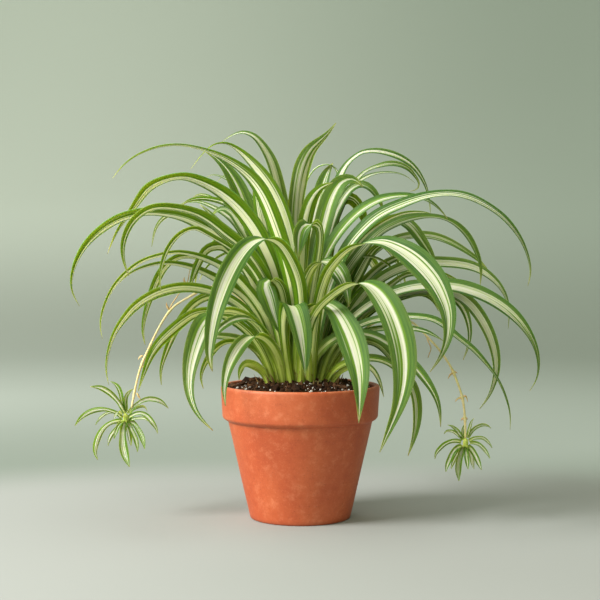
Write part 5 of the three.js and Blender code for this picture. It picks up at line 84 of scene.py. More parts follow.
    "leaf_right_08": ({}, [[16.7,3.1,125,-2.02,.62,.17],[19.8,6.8,141.5,-2.52,.8,.41],[24.3,10.4,157.7,-3.12,1.12,.75],[30.3,13.9,174.5,-3.57,1.84,1.02],[38,17.6,193.2,-3.61,2.8,.99],[46.4,21.3,212.8,-3.6,3.76,.88],[53.3,24,227.2,-3.5,4.39,1.1],[60.5,26.3,238.6,-3.26,4.77,1.42],[67.9,28.1,247.4,-2.92,4.92,1.79],[75.8,29.7,254.2,-2.53,4.98,2.18],[84.1,31.1,259.4,-2.09,4.94,2.59],[93.6,32.6,263.1,-1.6,4.71,3.01],[104.8,34.1,265.6,-1.07,4.28,3.42],[117.2,35.7,266.6,-.48,3.67,3.75],[126.7,36.8,265.9,.27,3.12,3.77],[136.3,37.8,263.5,.95,2.46,3.51],[147.9,38.8,258.6,1.35,1.65,2.99],[160.3,39.6,251.5,1.5,1.04,2.43],[171.8,40.1,243.3,1.3,.68,1.63],[181.2,40.4,234.3,.51,.24,.48]]),
    "leaf_right_09": ({}, [[20.5,-0,125,-1.86,.94,.37],[24.9,-0,143.6,-2.53,1.32,.75],[31,-.1,161.1,-3.42,2.1,1.39],[38.5,-.3,177.5,-3.73,2.99,2.03],[47.9,-.9,193.3,-3.6,3.75,2.54],[58.4,-1.8,207.9,-3.25,4.6,3.01],[68.4,-2.9,218.8,-2.67,5.29,3.51],[78.9,-4.1,227,-1.99,5.75,3.99],[89.5,-5.3,232.8,-1.24,5.88,4.41],[102.9,-6.9,237.3,-.58,5.79,4.73],[117,-8.6,240.2,.09,5.52,5.01],[130.8,-10.3,240.5,.82,5.12,5.06],[148.8,-12.5,239.2,1.23,4.7,4.73],[159.8,-13.8,236.7,1.95,4.37,4.22],[169.2,-14.9,232.5,2.49,4.02,3.44],[177.5,-16,226.5,2.63,3.68,2.46],[184.7,-16.9,218.9,2.4,3.29,1.52],[189.6,-17.6,210.9,2.05,2.81,.8],[192.4,-18,202.9,1.66,2.25,.29],[193.7,-18.4,191.8,1.06,1.43,0],[193,-18.7,178.9,.28,.38,-.04]]),
    "leaf_right_10": ({}, [[17.5,-11,125,-1.78,1.65,.48],[21.8,-12.3,142.7,-2.4,2.28,.91],[27.4,-13.7,158.1,-3.02,3.18,1.65],[34.1,-15.4,171.3,-3.13,4.15,2.52],[42.1,-17.4,182.7,-2.6,4.76,3.13],[51.3,-19.8,192.3,-1.96,5.25,3.72],[62.8,-23,201.2,-1.24,5.78,4.2],[75.8,-26.7,208.8,-.41,6.37,4.51],[89.2,-30.7,214.5,.46,6.86,4.74],[102.5,-34.8,218.1,1.29,7.1,4.99],[117.1,-39.4,219.7,2,7.05,5.19],[133.7,-44.8,219.8,2.54,6.73,5.4],[145.5,-48.7,218,3.4,6.24,5.41],[159.8,-53.7,213.5,3.95,5.74,5.15],[172.5,-58.1,207.6,4.42,5.27,4.58],[183.3,-61.9,200.4,4.76,4.86,3.85],[192.8,-65.3,191.7,4.72,4.52,2.87],[200.9,-68.2,181.5,4.13,4.23,1.77],[206.9,-70.3,171,3.28,3.73,.86],[210.4,-71.8,161,2.4,2.94,.23],[211.8,-72.8,151.4,1.65,2.14,-.12],[211.4,-73.5,142.9,1.1,1.54,-.3],[209.3,-73.9,135.6,.69,1.08,-.36],[204,-74.5,126.8,.24,.44,-.19]]),
    "leaf_right_11": ({}, [[21.3,-8.1,125,-1.78,1.22,.43],[25.2,-9.5,141.3,-2.33,1.65,.91],[31.2,-11.1,156.1,-2.89,2.31,1.71],[39.2,-13.3,169.9,-3.06,3.28,2.66],[49.8,-16.2,183.9,-2.52,4.16,3.15],[60,-19,194.3,-1.78,4.84,3.59],[70.8,-21.7,201.7,-.95,5.39,3.94],[84.7,-25.1,208.3,-.14,5.98,4.16],[99.5,-28.8,212.9,.6,6.38,4.39],[114.8,-32.7,215.3,1.26,6.43,4.56],[127.5,-35.9,215.1,2.04,6.24,4.57],[138.2,-38.5,212.9,2.97,5.91,4.45],[146.5,-40.6,209,4,5.41,4.07],[154.5,-42.8,202.6,4.86,4.77,3.51],[162.2,-45.1,193,5.37,4.14,2.77],[169.4,-47.4,180.3,5.4,3.65,2.02],[174.5,-48.9,166.9,5.01,3.16,1.14],[177.2,-50,153.5,4.27,2.66,.28],[177.4,-50.7,142.1,3.45,2.27,-.48],[175,-51.4,130.8,2.41,1.82,-.87],[170.4,-52.2,119.7,1.34,1.19,-.81],[162.4,-53.1,108.3,.28,.3,-.25]]),
    "leaf_right_12": ({}, [[18.4,-13.7,125,-1.44,1.04,.42],[22.5,-16,142,-1.78,1.3,.75],[27.4,-18.4,155.1,-2.02,1.57,1.3],[32.7,-21,164.7,-2.03,1.88,2.03],[39,-23.8,171.9,-1.62,2.11,2.65],[47.4,-27.4,178.5,-.98,2.41,3.07],[58.3,-32.1,184.5,-.22,2.85,3.27],[69.3,-36.8,188.1,.57,3.2,3.34],[83.8,-43.3,190.6,1.31,3.67,3.24],[101,-51.4,191.8,1.91,4.15,2.92],[112.1,-56.7,191.2,2.45,4.29,2.4],[120.6,-60.9,189.1,2.9,4.3,1.82],[127.7,-64.6,185,3.24,4.23,1.28],[139.5,-71.4,175.1,3.11,4.17,.99],[152.3,-78.2,164.7,2.82,3.86,.76],[162.5,-84,153.6,2.27,3.15,.4],[171.3,-88.9,141.9,1.66,2.38,.22],[176.8,-92,131.6,1.35,1.93,.14],[181,-94,120.1,1.09,1.56,.11],[183.5,-95.1,108.5,.77,1.09,.02],[183.6,-95.7,94.7,.21,.29,-.02]]),
    "leaf_right_13": ({}, [[9.9,-20.9,125,2.57,-.03,-.11],[11,-26.6,148.8,3.81,-.01,-.21],[12.5,-32.3,170.4,4.78,.54,-.25],[14.6,-38.3,190.1,5.09,1.69,-.15],[17.7,-44.6,207.7,5.19,2.76,-.06],[21.7,-50.7,222.4,5.16,3.69,-.11],[26.2,-55.8,233.1,5.02,4.44,-.42],[32.6,-61.1,242.2,4.78,5.19,-.59],[40.2,-66.7,250.3,4.44,5.94,-.41],[47.1,-71.2,255,4.04,6.47,-.07],[55.2,-75.9,257.9,3.65,6.76,1.03],[65,-81.5,259.6,3.41,6.34,3.03],[72.8,-85.8,259.4,3.86,5.36,4.32],[80.8,-90.5,256.6,4.75,3.94,5.55],[91,-96.8,251,5.87,1.73,7.29],[100.9,-103.3,243.3,7.37,.05,8.07],[109.7,-109.4,234,8.52,-.6,7.26],[117,-114.7,223.7,8.93,-.64,5.56],[122.1,-118.8,213,8.38,-.5,3.48],[125.7,-122,202,7.38,-.38,1.68],[126.8,-124.2,191.8,6.28,-.19,.21],[126.1,-126,181.4,4.69,.17,-.75],[123.6,-127.3,171.1,3.07,.42,-1.12],[119.1,-128.2,161.3,1.7,.4,-1],[110.2,-129.2,148.6,.36,.12,-.28]]),
    "leaf_right_14": ({}, [[8.1,-24.8,125,2.56,-.03,-.13],[8.1,-32.5,140.8,3.15,.04,.23],[6.4,-41.8,158.3,4.01,.53,.56],[6.5,-48.8,170.1,4.15,1.3,.41],[8.8,-56.7,182.1,4.25,2.22,.43],[12.5,-64.5,192.5,4.31,2.76,.17],[17.4,-71.4,200.6,4.4,3.12,-.44],[25.5,-80.4,209.1,4.49,3.58,-.87],[35.4,-90,217,4.55,4.1,-1.17],[43.8,-97.4,221.8,4.4,4.81,-1.04],[50.6,-102.7,223.7,4.27,5.51,.24],[55.6,-106.6,223.6,4.73,5.47,1.77],[60.2,-110.3,221.7,5.82,4.73,3.14],[65.2,-114.8,217.9,7.35,3.25,4.37],[71,-120.9,210.8,9.1,1.69,4.86],[76.9,-128.2,200.3,10.53,1.37,4.04],[81.7,-135.5,187.7,11.28,1.32,2.88],[85.1,-141.9,174.1,11.45,.85,1.74],[86.7,-147.3,160.4,10.85,.25,.41],[86.4,-152,146.7,9.41,-.15,-.85],[84.1,-156,133,7.4,-.06,-1.7],[80.1,-159.1,119.6,5.08,.14,-1.85],[73.7,-161,103.8,2.92,-.01,-1.26],[65.7,-162.1,84.7,.4,.03,-.16]]),
    "leaf_right_15": ({}, [[.6,-26.2,125,2.56,0,.04],[.6,-32.6,146.9,3.49,.09,-.04],[1.6,-39.2,166.2,4.38,1.18,.06],[3.9,-46,184.3,4.83,2.42,-.01],[6.8,-50,195.1,4.67,3.37,-.61],[9.7,-52.3,200.1,4.08,4.21,-.96],[13,-54.4,202.8,3.47,4.86,-.69],[17,-56.8,204.1,3.23,5.1,.56],[22,-60.1,203.9,3.69,4.22,2.63],[27,-64.1,202,4.73,2.51,3.95],[32.7,-70.3,196.9,6.56,.76,4.84],[38.6,-79.8,187.8,9.11,-0,4.9],[44.3,-92.6,175.1,10.94,-.14,4.19],[48.4,-105.4,161.4,10.94,-.23,2.79],[50.7,-116,148.5,9.29,-.29,1.25],[51.4,-123.2,136.8,7.23,-.29,.23],[51,-128.2,124.2,4.37,-.13,-.28],[49.5,-132.7,105.5,.43,.03,-.04]]),
    "leaf_right_16": ({"widen": 1.0}, [[-7.7,-24.1,125,3.15,.45,.65],[-11.9,-28.3,149.2,3.94,.44,.68],[-14.3,-33.8,170.6,4.85,.4,.45],[-14.4,-40.1,187.4,6.6,.38,-.46],[-12,-46.7,198.2,8.4,1.29,-2.26],[-9.6,-51.6,202.3,9.37,3.27,-2.73],[-7.4,-56,203,9.81,4.59,-.66],[-5,-60.9,201,10.2,3.86,1.73],[-2.6,-65.3,195.5,10.4,1.96,2.46],[1,-70,181,9.7,1.08,1.62],[3.7,-73.4,161.1,6.53,.61,.48],[4.6,-74.6,139,.4,.05,0]]),
    "leaf_right_17": ({"widen": 1.40}, [[-1.2,-15.3,125,2.58,-0,-.04],[-.7,-22.4,149.5,3.58,-0,-.1],[0,-28.2,171.4,4.15,.15,-.16],[1.3,-31.8,192.6,4.12,.61,-.27],[4,-34.9,213.9,4.06,1.88,-.4],[7.8,-37.6,228.7,3.46,2.71,-.82],[12.4,-39.5,236.8,2.55,3.25,-1.2],[17.2,-41,240.7,1.33,4.01,-.12],[21.2,-42.1,241.8,1.14,3.86,1.9],[26.1,-43.4,240.8,2.37,2.28,4.02],[31.8,-45.2,236.7,4.62,.39,4.54],[37.4,-46.9,229.1,5.67,-.11,3],[41.4,-47.1,218.3,4.45,-.12,1.15],[44.3,-44.9,200.9,.45,-.01,.05]]),
    "leaf_right_18": ({}, [[2.5,-12.3,125,1.76,1.05,.13],[3.8,-17.2,149.6,2.46,1.46,.15],[5.7,-22.3,173,3.19,1.96,.04],[8.4,-25.3,195.5,3.56,2.25,-.24],[11.8,-28.4,218.2,4.01,2.57,-.2],[15.8,-33.7,241.1,4.01,2.54,-.08],[18.1,-37.7,260,3.75,2.22,.35],[17.6,-40.3,270.8,3.71,1.86,1.68],[15.9,-41.6,274.5,3.23,.87,3.58],[12.8,-42.9,275.9,2.26,-1.68,4.74],[8.5,-44.6,275.9,3.76,-4.89,-1.63],[4.2,-46.2,274.2,4.73,-1.57,-5.13],[1.3,-47.7,270.5,6.69,.49,-3.52],[-.8,-49.3,261.6,6.69,1.2,-1.11],[-2.1,-49.8,243.2,.44,.09,-.01]]),
    "leaf_right_19": ({}, [[5.3,-21.3,124.9,-1.97,1.24,.18],[8.5,-20.3,139.7,-2.81,1.65,.89],[13,-21.1,150.8,-3.17,1.83,1.98],[19,-23.7,159.8,-2.86,2.1,3.21],[27,-28,167.5,-1.74,2.5,4.03],[36.6,-33.3,173.2,-.15,3.09,4.31],[45.8,-38.6,175.8,1.55,3.59,4.17],[57.8,-46,176,3.07,4.22,3.4],[68.3,-53.2,173.6,4.08,4.4,2.43],[79,-61.3,167.8,4.58,4.23,1.8],[92.1,-72,157.6,4.67,3.7,1.78],[103.9,-82.2,145.7,4.42,2.97,1.58],[112.8,-90.2,133.9,3.71,2.15,1.1],[118.5,-95.2,123.3,2.84,1.56,.6],[121.5,-98,112.2,1.86,.96,.14],[122.4,-100.2,97.9,.35,.17,-.03]]),
    "leaf_right_20": ({}, [[23.1,-14.7,125,-1.29,1.48,.71],[27.5,-17.6,135.8,-1.24,1.57,1.33],[34.3,-20.9,143.2,-.84,1.6,2.11],[44.7,-26.4,148.8,.04,2.17,3.01],[58.4,-34.2,152.3,1.46,3.29,3.23],[71.3,-41.5,152.2,2.8,4.03,2.42],[81.8,-48.1,148.5,3.73,4.32,1.56],[92.6,-55.7,140.5,4.26,4.02,1.28],[99.5,-61.3,131.5,4.65,3.48,.79],[103.4,-65.6,120.1,4.75,2.66,.18],[104.5,-69.1,105.5,4.31,1.54,-.44],[102.4,-72.1,88.9,2.76,.85,-.81],[95.8,-75.6,68.9,.4,.13,-.17]]),
    "leaf_back_01": ({}, [[0,15.1,125.9,-2.7,0,0],[0,27.2,144.8,-3.91,0,0],[0,37.4,162.4,-5.67,0,0],[0,48,182.1,-7.02,0,0],[0,58,199.3,-7.83,0,0],[0,69.7,217.4,-8.73,0,0],[0,81.2,234.1,-9.53,0,0],[0,90.6,245.4,-9.78,0,0],[0,99.6,253.5,-9.8,0,0],[0,107.8,258.9,-9.76,0,0],[0,114,261.4,-9.64,0,0],[0,118.9,262.1,-9.49,0,0],[0,123.4,261.7,-9.3,0,0],[0,128.4,259.7,-9.05,0,0],[0,134.5,255.5,-8.71,0,0],[0,141.3,248.8,-8.2,0,0],[0,147.4,240,-7.34,0,0],[0,152.3,229.9,-6.3,0,0],[0,155.4,219.1,-5.16,0,0],[0,157,206.3,-3.59,0,0],[0,157.2,187.6,-.59,0,0]]),
    "leaf_back_02": ({}, [[5.3,14.8,126,-2.81,.93,-.24],[6.5,23.6,147.5,-4.36,1.46,-.28],[8.3,32,167.5,-6.68,2.3,-.28],[10.6,40.2,184.3,-7.77,2.69,-.24],[13.4,49.3,199.3,-8.67,3.04,-.16],[16.8,59.3,212.8,-9.51,3.46,-0],[20.5,69.2,223.5,-10.02,3.73,.07],[24.2,78.9,231,-10.1,3.77,.06],[27.7,88.1,235.8,-10.03,3.87,.07],[30.6,95.5,237.6,-9.84,3.95,.03],[33.4,102.3,237.5,-9.56,3.9,-.06],[36.3,109.5,235.4,-9.22,3.71,-.12],[39.6,117.6,230.7,-8.77,3.42,-.14],[43,126,223.2,-7.9,3.02,-.14],[46,133.3,213.9,-6.61,2.53,-.18],[48.3,138.6,203.8,-5.23,2.02,-.22],[50.3,142.1,192,-3.46,1.3,-.14],[51.4,144.9,175.8,-.61,.22,.01]]),
    "leaf_back_03": ({}, [[-5.3,15.1,125.9,-2.69,-.83,.29],[-6.4,25.4,146,-4.04,-1.28,.36],[-7.9,34.4,165.1,-6.07,-2.03,.36],[-9.9,42.9,183.6,-7.29,-2.49,.3],[-12.4,51.7,199.7,-8.14,-2.82,.22],[-15.5,61.3,214.7,-8.97,-3.25,.02],[-19.1,70.7,226.8,-9.5,-3.57,-.11],[-22.6,79.7,235.7,-9.62,-3.64,-.11],[-26,88.5,241.8,-9.57,-3.74,-.12],[-29,95.8,245.1,-9.4,-3.88,-.1],[-31.5,101.7,245.9,-9.17,-3.92,-0],[-33.9,107.4,245.1,-8.91,-3.8,.12],[-36.7,113.9,242.4,-8.62,-3.55,.19],[-39.8,121.3,237.1,-8.16,-3.24,.21],[-43,128.7,229.3,-7.31,-2.86,.23],[-45.7,134.9,220,-6.15,-2.4,.27],[-48,139.3,209.8,-4.9,-1.9,.29],[-49.8,142.1,197.8,-3.24,-1.22,.17],[-50.8,143.9,181.8,-.58,-.21,-0]]),
    "leaf_back_04": ({}, [[8.7,11.3,126,-2.02,1.57,-.06],[11.1,15.4,150.5,-3.32,2.58,-.06],[13.9,19.1,172.3,-5.03,3.93,.01],[17.2,23.3,190.3,-5.76,4.49,-.01],[21.3,28.6,206.3,-6.42,5.02,0],[26.3,34.8,220.4,-6.99,5.51,.06],[31.9,41.9,232,-7.28,5.73,.04],[38.1,49.8,241.3,-7.36,5.7,-.02],[44.3,57.8,247.8,-7.27,5.71,.01],[49.7,64.6,251.1,-7.03,5.68,.03],[54.6,70.5,252,-6.79,5.53,0],[59.7,76.8,250.9,-6.59,5.25,-.01],[65.4,84.1,247.1,-6.26,4.86,.02],[71.4,92,240.6,-5.58,4.31,.03],[77.1,99.2,231.9,-4.61,3.62,-.03],[81.7,104.9,221.8,-3.54,2.84,-.1],[85.4,109,210.1,-2.25,1.77,-.02],[87.5,112.5,196,-.44,.34,.04]]),
    "leaf_back_05": ({}, [[-8.7,11.9,125.9,-2.18,-1.53,.38],[-10.8,19.6,146.4,-3.32,-2.4,.45],[-13.3,25.4,165.3,-4.94,-3.74,.3],[-16.7,30.9,183.9,-5.96,-4.58,.15],[-21,36.7,200,-6.66,-5.19,.02],[-26.2,43.1,214,-7.24,-5.81,-.17],[-32,49.8,225.3,-7.55,-6.15,-.22],[-38.2,57.1,234.1,-7.59,-6.19,-.16],[-44.2,64.4,240.2,-7.47,-6.26,-.15],[-49.6,70.6,243.3,-7.19,-6.28,-.11],[-54.3,75.9,244,-6.93,-6.13,.01],[-59.3,81.6,242.7,-6.73,-5.82,.11],[-64.9,88.1,239.1,-6.43,-5.37,.15],[-70.8,95,232.8,-5.76,-4.74,.17],[-76.2,101.2,224.5,-4.77,-3.95,.23],[-80.7,105.9,214.8,-3.68,-3.07,.28],[-84.2,109.1,203.6,-2.35,-1.9,.14],[-86.3,111.6,189.9,-.47,-.36,-.02]]),
    "leaf_back_06": ({}, [[1.1,8.7,125.9,-2.27,.28,-.06],[1.7,18.7,145.8,-3.32,.42,-.1],[2.1,25.3,162.6,-4.61,.61,-.11],[2.3,29.2,180.1,-5.57,.76,-.07],[2.5,32.2,203.2,-6.35,.88,-.02],[3,35.4,227.8,-7.21,1.01,.05],[3.8,39,250.1,-7.96,1.15,.17],[5,43.5,267.6,-8.22,1.23,.24],[6.3,49.6,282,-8.23,1.27,.25],[7.9,56.9,293.4,-8.1,1.43,.33],[8.9,61.2,297.9,-7.87,1.72,.33],[9.6,64,299.5,-7.67,1.95,.18],[10.1,65.8,299.3,-7.57,1.89,-.11],[10.7,67.8,298.7,-7.46,1.78,-.37],[11.4,70.7,296,-7.34,1.42,-.42],[12.5,74.6,289,-7.02,1.13,-.38],[13.5,77.5,279.1,-6.48,.95,-.4],[14.3,78,267.2,-5.71,.78,-.41],[15.1,75.7,252.8,-4.77,.6,-.36],[15.8,70.1,235.4,-3.37,.39,-.24],[15.8,61.8,215.5,-.5,.05,-.01]]),
    "leaf_back_07": ({}, [[-1.3,8.3,125.9,-2.26,-.36,.06],[-2.1,17.3,146.7,-3.37,-.55,.12],[-2.5,23,164.6,-4.87,-.83,.12],[-2.8,26.7,184.4,-5.88,-1.02,.06],[-3.2,29.5,208.2,-6.78,-1.2,-.03],[-4.1,32.2,232.2,-7.71,-1.38,-.18],[-5.3,35.7,252.4,-8.15,-1.51,-.33],[-7,40.5,268.6,-8.16,-1.59,-.39],[-8.7,46.3,280.4,-8.02,-1.67,-.38],[-10.2,51.7,287,-7.72,-1.84,-.37],[-11.1,55.1,289.2,-7.47,-2.07,-.23],[-11.9,57.8,289.4,-7.31,-2.05,.04],[-12.8,60.6,288.6,-7.14,-1.91,.27],[-13.8,64.3,285.6,-6.91,-1.59,.36],[-15.2,69,278.8,-6.37,-1.3,.37],[-16.5,72.4,268.8,-5.53,-1.06,.39],[-17.7,73.6,256.7,-4.57,-.82,.38],[-18.6,71.9,242.1,-3.22,-.53,.26],[-18.9,66.9,222.9,-.49,-.07,.01]]),
}
CROWN_LEAVES = [
    ({}, [[-14.5,2,124.9,1.96,-.75,.26],[-16.7,4.5,146.5,2.62,-1.02,.44],[-19.7,5.5,165.4,3.36,-1.32,.63],[-24.1,4.8,185.3,3.51,-1.37,.79],[-29.6,3.6,204.5,3.45,-1.42,1.09],[-36.3,2.8,221.1,3.43,-1.76,1.57],[-44.6,2.8,236.5,3.28,-2.16,2.08],[-54.1,3.3,249.7,2.95,-2.23,2.56],[-65.1,4.1,261.3,2.54,-2.17,2.96],[-77.5,5,271,1.99,-2.03,3.19],[-94.6,6.5,281.4,1.53,-1.83,3.05],[-105.2,7.4,286.3,.78,-1.68,2.94],[-113,8.1,287.9,.03,-1.56,2.7],[-119.3,8.6,287.5,-.62,-1.44,2.34],[-125.1,9.1,285.3,-1.07,-1.28,1.85],[-131,9.5,281.2,-1.27,-1.09,1.29],[-135.1,9.8,276.2,-1.28,-.88,.76],[-138.1,10.1,269.3,-1.05,-.62,.31],[-140.8,10.4,255.1,-.3,-.17,.04]]),
    ({}, [[-19.8,-21.6,125,2,-.33,.13],[-21.7,-24.9,141.4,2.51,-.4,.27],[-24,-29.8,153.8,3.06,-.44,.48],[-27.4,-37.2,165,3.52,-1.82,-.14],[-32.4,-47.3,175.9,3.72,-2.68,-.84],[-38.2,-58.8,185.5,3.21,-2.52,-1.24],[-43.1,-67.5,189.8,2.68,-2.38,-2.19],[-49.5,-77.6,191.8,3.22,-2.22,-2.43],[-57.3,-89.8,191.2,2.97,-1.49,-2.36],[-64.2,-100.6,188,2.63,-.67,-2.48],[-70,-108.5,183,2.52,-.47,-1.66],[-75,-115.4,174.9,.4,-.03,-.17]]),
    ({}, [[-26.4,-17.6,125,1.78,-.24,.29],[-30.7,-15.8,141.4,1.93,-.4,.81],[-37.9,-16.9,153.9,2.14,-1.5,1.4],[-47.5,-20.7,162.2,2.31,-2.91,1.4],[-59.9,-28.3,167.1,2.4,-2.94,1.94],[-69.7,-35.1,166.8,1.11,-2.91,3.19],[-78.5,-42.5,160.5,-1.08,-2.37,3.15],[-86.2,-50.2,149.2,-1.82,-1.76,1.74],[-89.6,-54.9,136.8,-1.19,-1.06,.37],[-87.5,-57.3,127.3,-.34,-.29,-.09]]),
    ({}, [[-28.4,-10.8,125,-1.64,-.81,-.01],[-29.6,-11.4,137.1,-1.95,-.81,-.55],[-34,-13.1,148.5,-2.23,-1.11,-1.41],[-40.7,-15.7,157.9,-1.78,-2.5,-2.58],[-50,-19.5,166.1,-.52,-3.82,-3.16],[-59.5,-23.3,170.1,.47,-3.57,-3.39],[-73.2,-28.4,172.4,.79,-2.79,-3.07],[-82.6,-31.7,172.1,1.17,-1.67,-2.26],[-88.3,-33.5,168.8,1.33,-.89,-1.24],[-93.9,-35.1,161.5,.39,-.17,-.19]]),
    ({}, [[-28.2,-20.3,125,2.27,.06,.5],[-30.5,-19.2,132.2,2.39,.03,1.07],[-33.1,-20.4,136.9,2.37,-.02,1.56],[-36.6,-24.2,141.3,2.38,-.06,2.2],[-41.3,-31,145.3,2.18,-.11,3.07],[-46.6,-39.3,148,2.38,-.83,3.29],[-50.2,-45.2,148.2,.3,-.99,3.8],[-52.7,-50,145.9,-1.85,-.91,2.47],[-54.6,-54.2,141.5,-1.83,-.89,1.08],[-55.3,-57.2,135,-.43,-.16,.05]]),
    ({}, [[-6,10.8,125,-1.61,-.93,.07],[-7.4,14.7,144.9,-2.17,-1.15,.05],[-9.1,18.5,164.3,-2.89,-1.38,-.01],[-11,21.9,182.8,-3.06,-1.47,-.1],[-13.3,24.7,201.1,-3.07,-1.53,-.2],[-16,27.3,218.4,-3.17,-1.89,-.28],[-19.5,30.2,235,-3.14,-2.38,-.33],[-23.8,33.1,251,-2.99,-2.62,-.41],[-28.8,35.9,265.9,-2.86,-2.66,-.57],[-34.6,38.6,279.4,-2.63,-2.59,-.72],[-41.3,41.3,292,-2.39,-2.41,-.86],[-48.3,44,302.7,-2.1,-2.05,-1.02],[-54.6,46.2,310,-1.69,-1.74,-1.17],[-61.1,48.2,315.2,-1.26,-1.48,-1.23],[-72.2,51.3,321.5,-.83,-1.02,-1.05],[-78.8,53.1,324.6,-.5,-.87,-.91],[-83.2,54.2,325.5,-.26,-.81,-.76],[-87,55.2,325.6,-.07,-.71,-.59],[-92.4,56.6,323.3,.01,-.41,-.28]]),
    ({}, [[-7.9,14.8,125,-1.67,-.84,-.06],[-9.4,16.2,146.4,-2.29,-1.03,-.1],[-11.1,18.3,165.7,-3.02,-1.21,-.13],[-13.5,21.7,186.3,-3.16,-1.26,-.19],[-16.5,25.5,207,-3.19,-1.48,-.21],[-19.9,29.7,225.8,-3.27,-2.04,-.19],[-24.3,34.4,244,-3.21,-2.37,-.22],[-29.8,39.7,261.9,-3.13,-2.42,-.32],[-36.2,45.1,278.7,-2.88,-2.32,-.46],[-43.6,50.4,294.3,-2.6,-2.02,-.66],[-52.1,55.8,308.7,-2.16,-1.28,-.92],[-59.1,59.8,317.9,-1.61,-.87,-1.09],[-65.1,62.7,323.1,-1.1,-.79,-1.11],[-69.5,64.6,325.6,-.7,-.84,-1.01],[-72.4,65.8,326.3,-.39,-.89,-.88],[-75.2,67,325.9,-.17,-.87,-.69],[-77.8,68.2,324.2,-.04,-.77,-.48],[-82.5,70.8,319.1,.01,-.36,-.18]]),
    ({}, [[-9.8,13.2,125,1.87,-.98,.29],[-12.5,14.6,145.3,2.68,-1.26,.48],[-15,16.9,162.8,3.56,-1.49,.8],[-18.2,20.8,182.5,3.98,-1.83,1.08],[-22,24.9,202.5,4.1,-2.74,1.39],[-26.3,28.3,221,4.03,-3.68,1.67],[-31.5,30.9,238.5,3.78,-4.25,1.87],[-37.7,33.2,255,3.48,-4.42,2.04],[-44.6,35,269.4,3.04,-4.39,2.23],[-51.7,36.4,280.5,2.59,-4.1,2.54],[-59,37.7,288.6,2.05,-3.72,2.87],[-66.6,38.9,294.4,1.4,-3.21,3.06],[-74.5,40.1,298.2,.73,-2.63,3.05],[-85.8,41.6,301.2,.27,-1.94,2.73],[-95.3,42.7,302.2,-.18,-1.46,2.46],[-103.8,43.5,301.3,-.54,-1.03,1.98],[-109.9,44.1,299.4,-.7,-.62,1.29],[-116,44.8,295,-.31,-.16,.35]]),
    ({}, [[-11.8,15.9,125,1.83,-1.1,.15],[-14.2,15.3,145,2.53,-1.2,.34],[-16.6,16.1,161.8,3.25,-1.29,.64],[-19.9,18.7,181.1,3.55,-1.44,.88],[-24.2,21.8,201.7,3.63,-2.07,1.15],[-28.9,25.2,221.1,3.56,-2.93,1.51],[-34.6,28.8,239.7,3.32,-3.29,1.78],[-41.2,32.5,257.6,3.02,-3.35,1.95],[-48.3,36,273.3,2.67,-3.08,2.1],[-54.5,38.6,283.5,2.19,-2.71,2.44],[-60.6,40.8,290.1,1.55,-2.24,2.71],[-67.9,43.1,295,.91,-1.72,2.7],[-79.9,46.5,299.8,.51,-1.22,2.17],[-90.4,49.4,304.9,.4,-.92,1.67],[-95.3,50.6,306.2,-.02,-.62,1.51],[-99.3,51.6,306.2,-.33,-.34,1.16],[-104.9,53,303.6,-.24,-.07,.43]]),
    ({}, [[-12.6,7.9,125,-2,-.67,-.28],[-14.8,7.4,141.5,-2.62,-.88,-.38],[-17,7.8,156,-3.31,-1.12,-.48],[-19.8,8.8,172,-3.97,-1.48,-.68],[-23,9.3,187.2,-4.02,-2.11,-.88],[-26.7,9.5,201.9,-4.04,-2.97,-1.15],[-31.1,9.4,215.4,-4.01,-3.39,-1.51],[-36.3,9.1,228.1,-3.87,-3.43,-1.87],[-42.3,8.8,239.7,-3.66,-3.31,-2.19],[-48.7,8.6,249.7,-3.38,-2.91,-2.53],[-56.5,8.5,259.1,-3.04,-2.31,-2.8],[-65.4,8.5,267.8,-2.48,-1.76,-2.81],[-76.5,8.4,277.4,-2.17,-1.4,-2.28],[-85.8,8.4,287.2,-1.54,-.97,-1.54],[-94.8,8.3,295.3,-.28,-.2,-.34]]),
    ({}, [[-14.6,12.2,125,-1.88,-.95,-.36],[-19,13.7,146.7,-2.81,-1.19,-.42],[-22.8,15.6,169.3,-3.94,-1.55,-.49],[-26.5,18.2,191.6,-4.09,-2.33,-.42],[-30.7,21.3,212.4,-4.17,-3.39,-.39],[-35.7,24.7,231.2,-4.09,-3.63,-.58],[-42,28.4,247.9,-3.88,-3.5,-.88],[-49.6,32.1,262.4,-3.59,-2.91,-1.43],[-60.9,36.8,279.4,-3.25,-1.34,-1.71],[-67.1,39.3,288.1,-2.54,-.96,-2.31],[-71.3,40.5,291.2,-1.62,-1.15,-2.8],[-74.9,41.5,292.5,-.57,-1.38,-2.92],[-78.4,42.4,291.7,.33,-1.51,-2.49],[-82.3,43.5,289.6,.8,-1.29,-1.63],[-86.9,45.3,284.4,.27,-.3,-.29]]),
    ({}, [[-15.6,17.6,125,-1.9,-.95,-.29],[-18.7,17.5,144.9,-2.54,-1.16,-.4],[-21.7,18.2,162.4,-3.29,-1.34,-.51],[-25.1,20,179.4,-3.59,-1.45,-.57],[-29,22.8,196.4,-3.57,-1.53,-.58],[-33.4,26.6,213.1,-3.61,-1.95,-.57],[-38.7,31.1,229.1,-3.64,-2.51,-.55],[-44.8,36.1,244.5,-3.54,-2.7,-.61],[-51.7,41.3,259,-3.41,-2.72,-.77],[-58.9,46.2,271.1,-3.14,-2.6,-1.01],[-66,50.5,280.3,-2.84,-2.35,-1.39],[-73.3,54.4,286.9,-2.37,-2.09,-1.71],[-82.3,58.8,292.5,-1.77,-1.79,-1.75],[-94,64.1,297.9,-1.15,-1.34,-1.52],[-101.1,66.9,299.9,-.65,-1.17,-1.35],[-108.5,69.8,299.9,-.29,-.97,-1.06],[-115.5,72.3,299,-.07,-.71,-.67],[-121.5,74.7,296,.01,-.32,-.25]]),
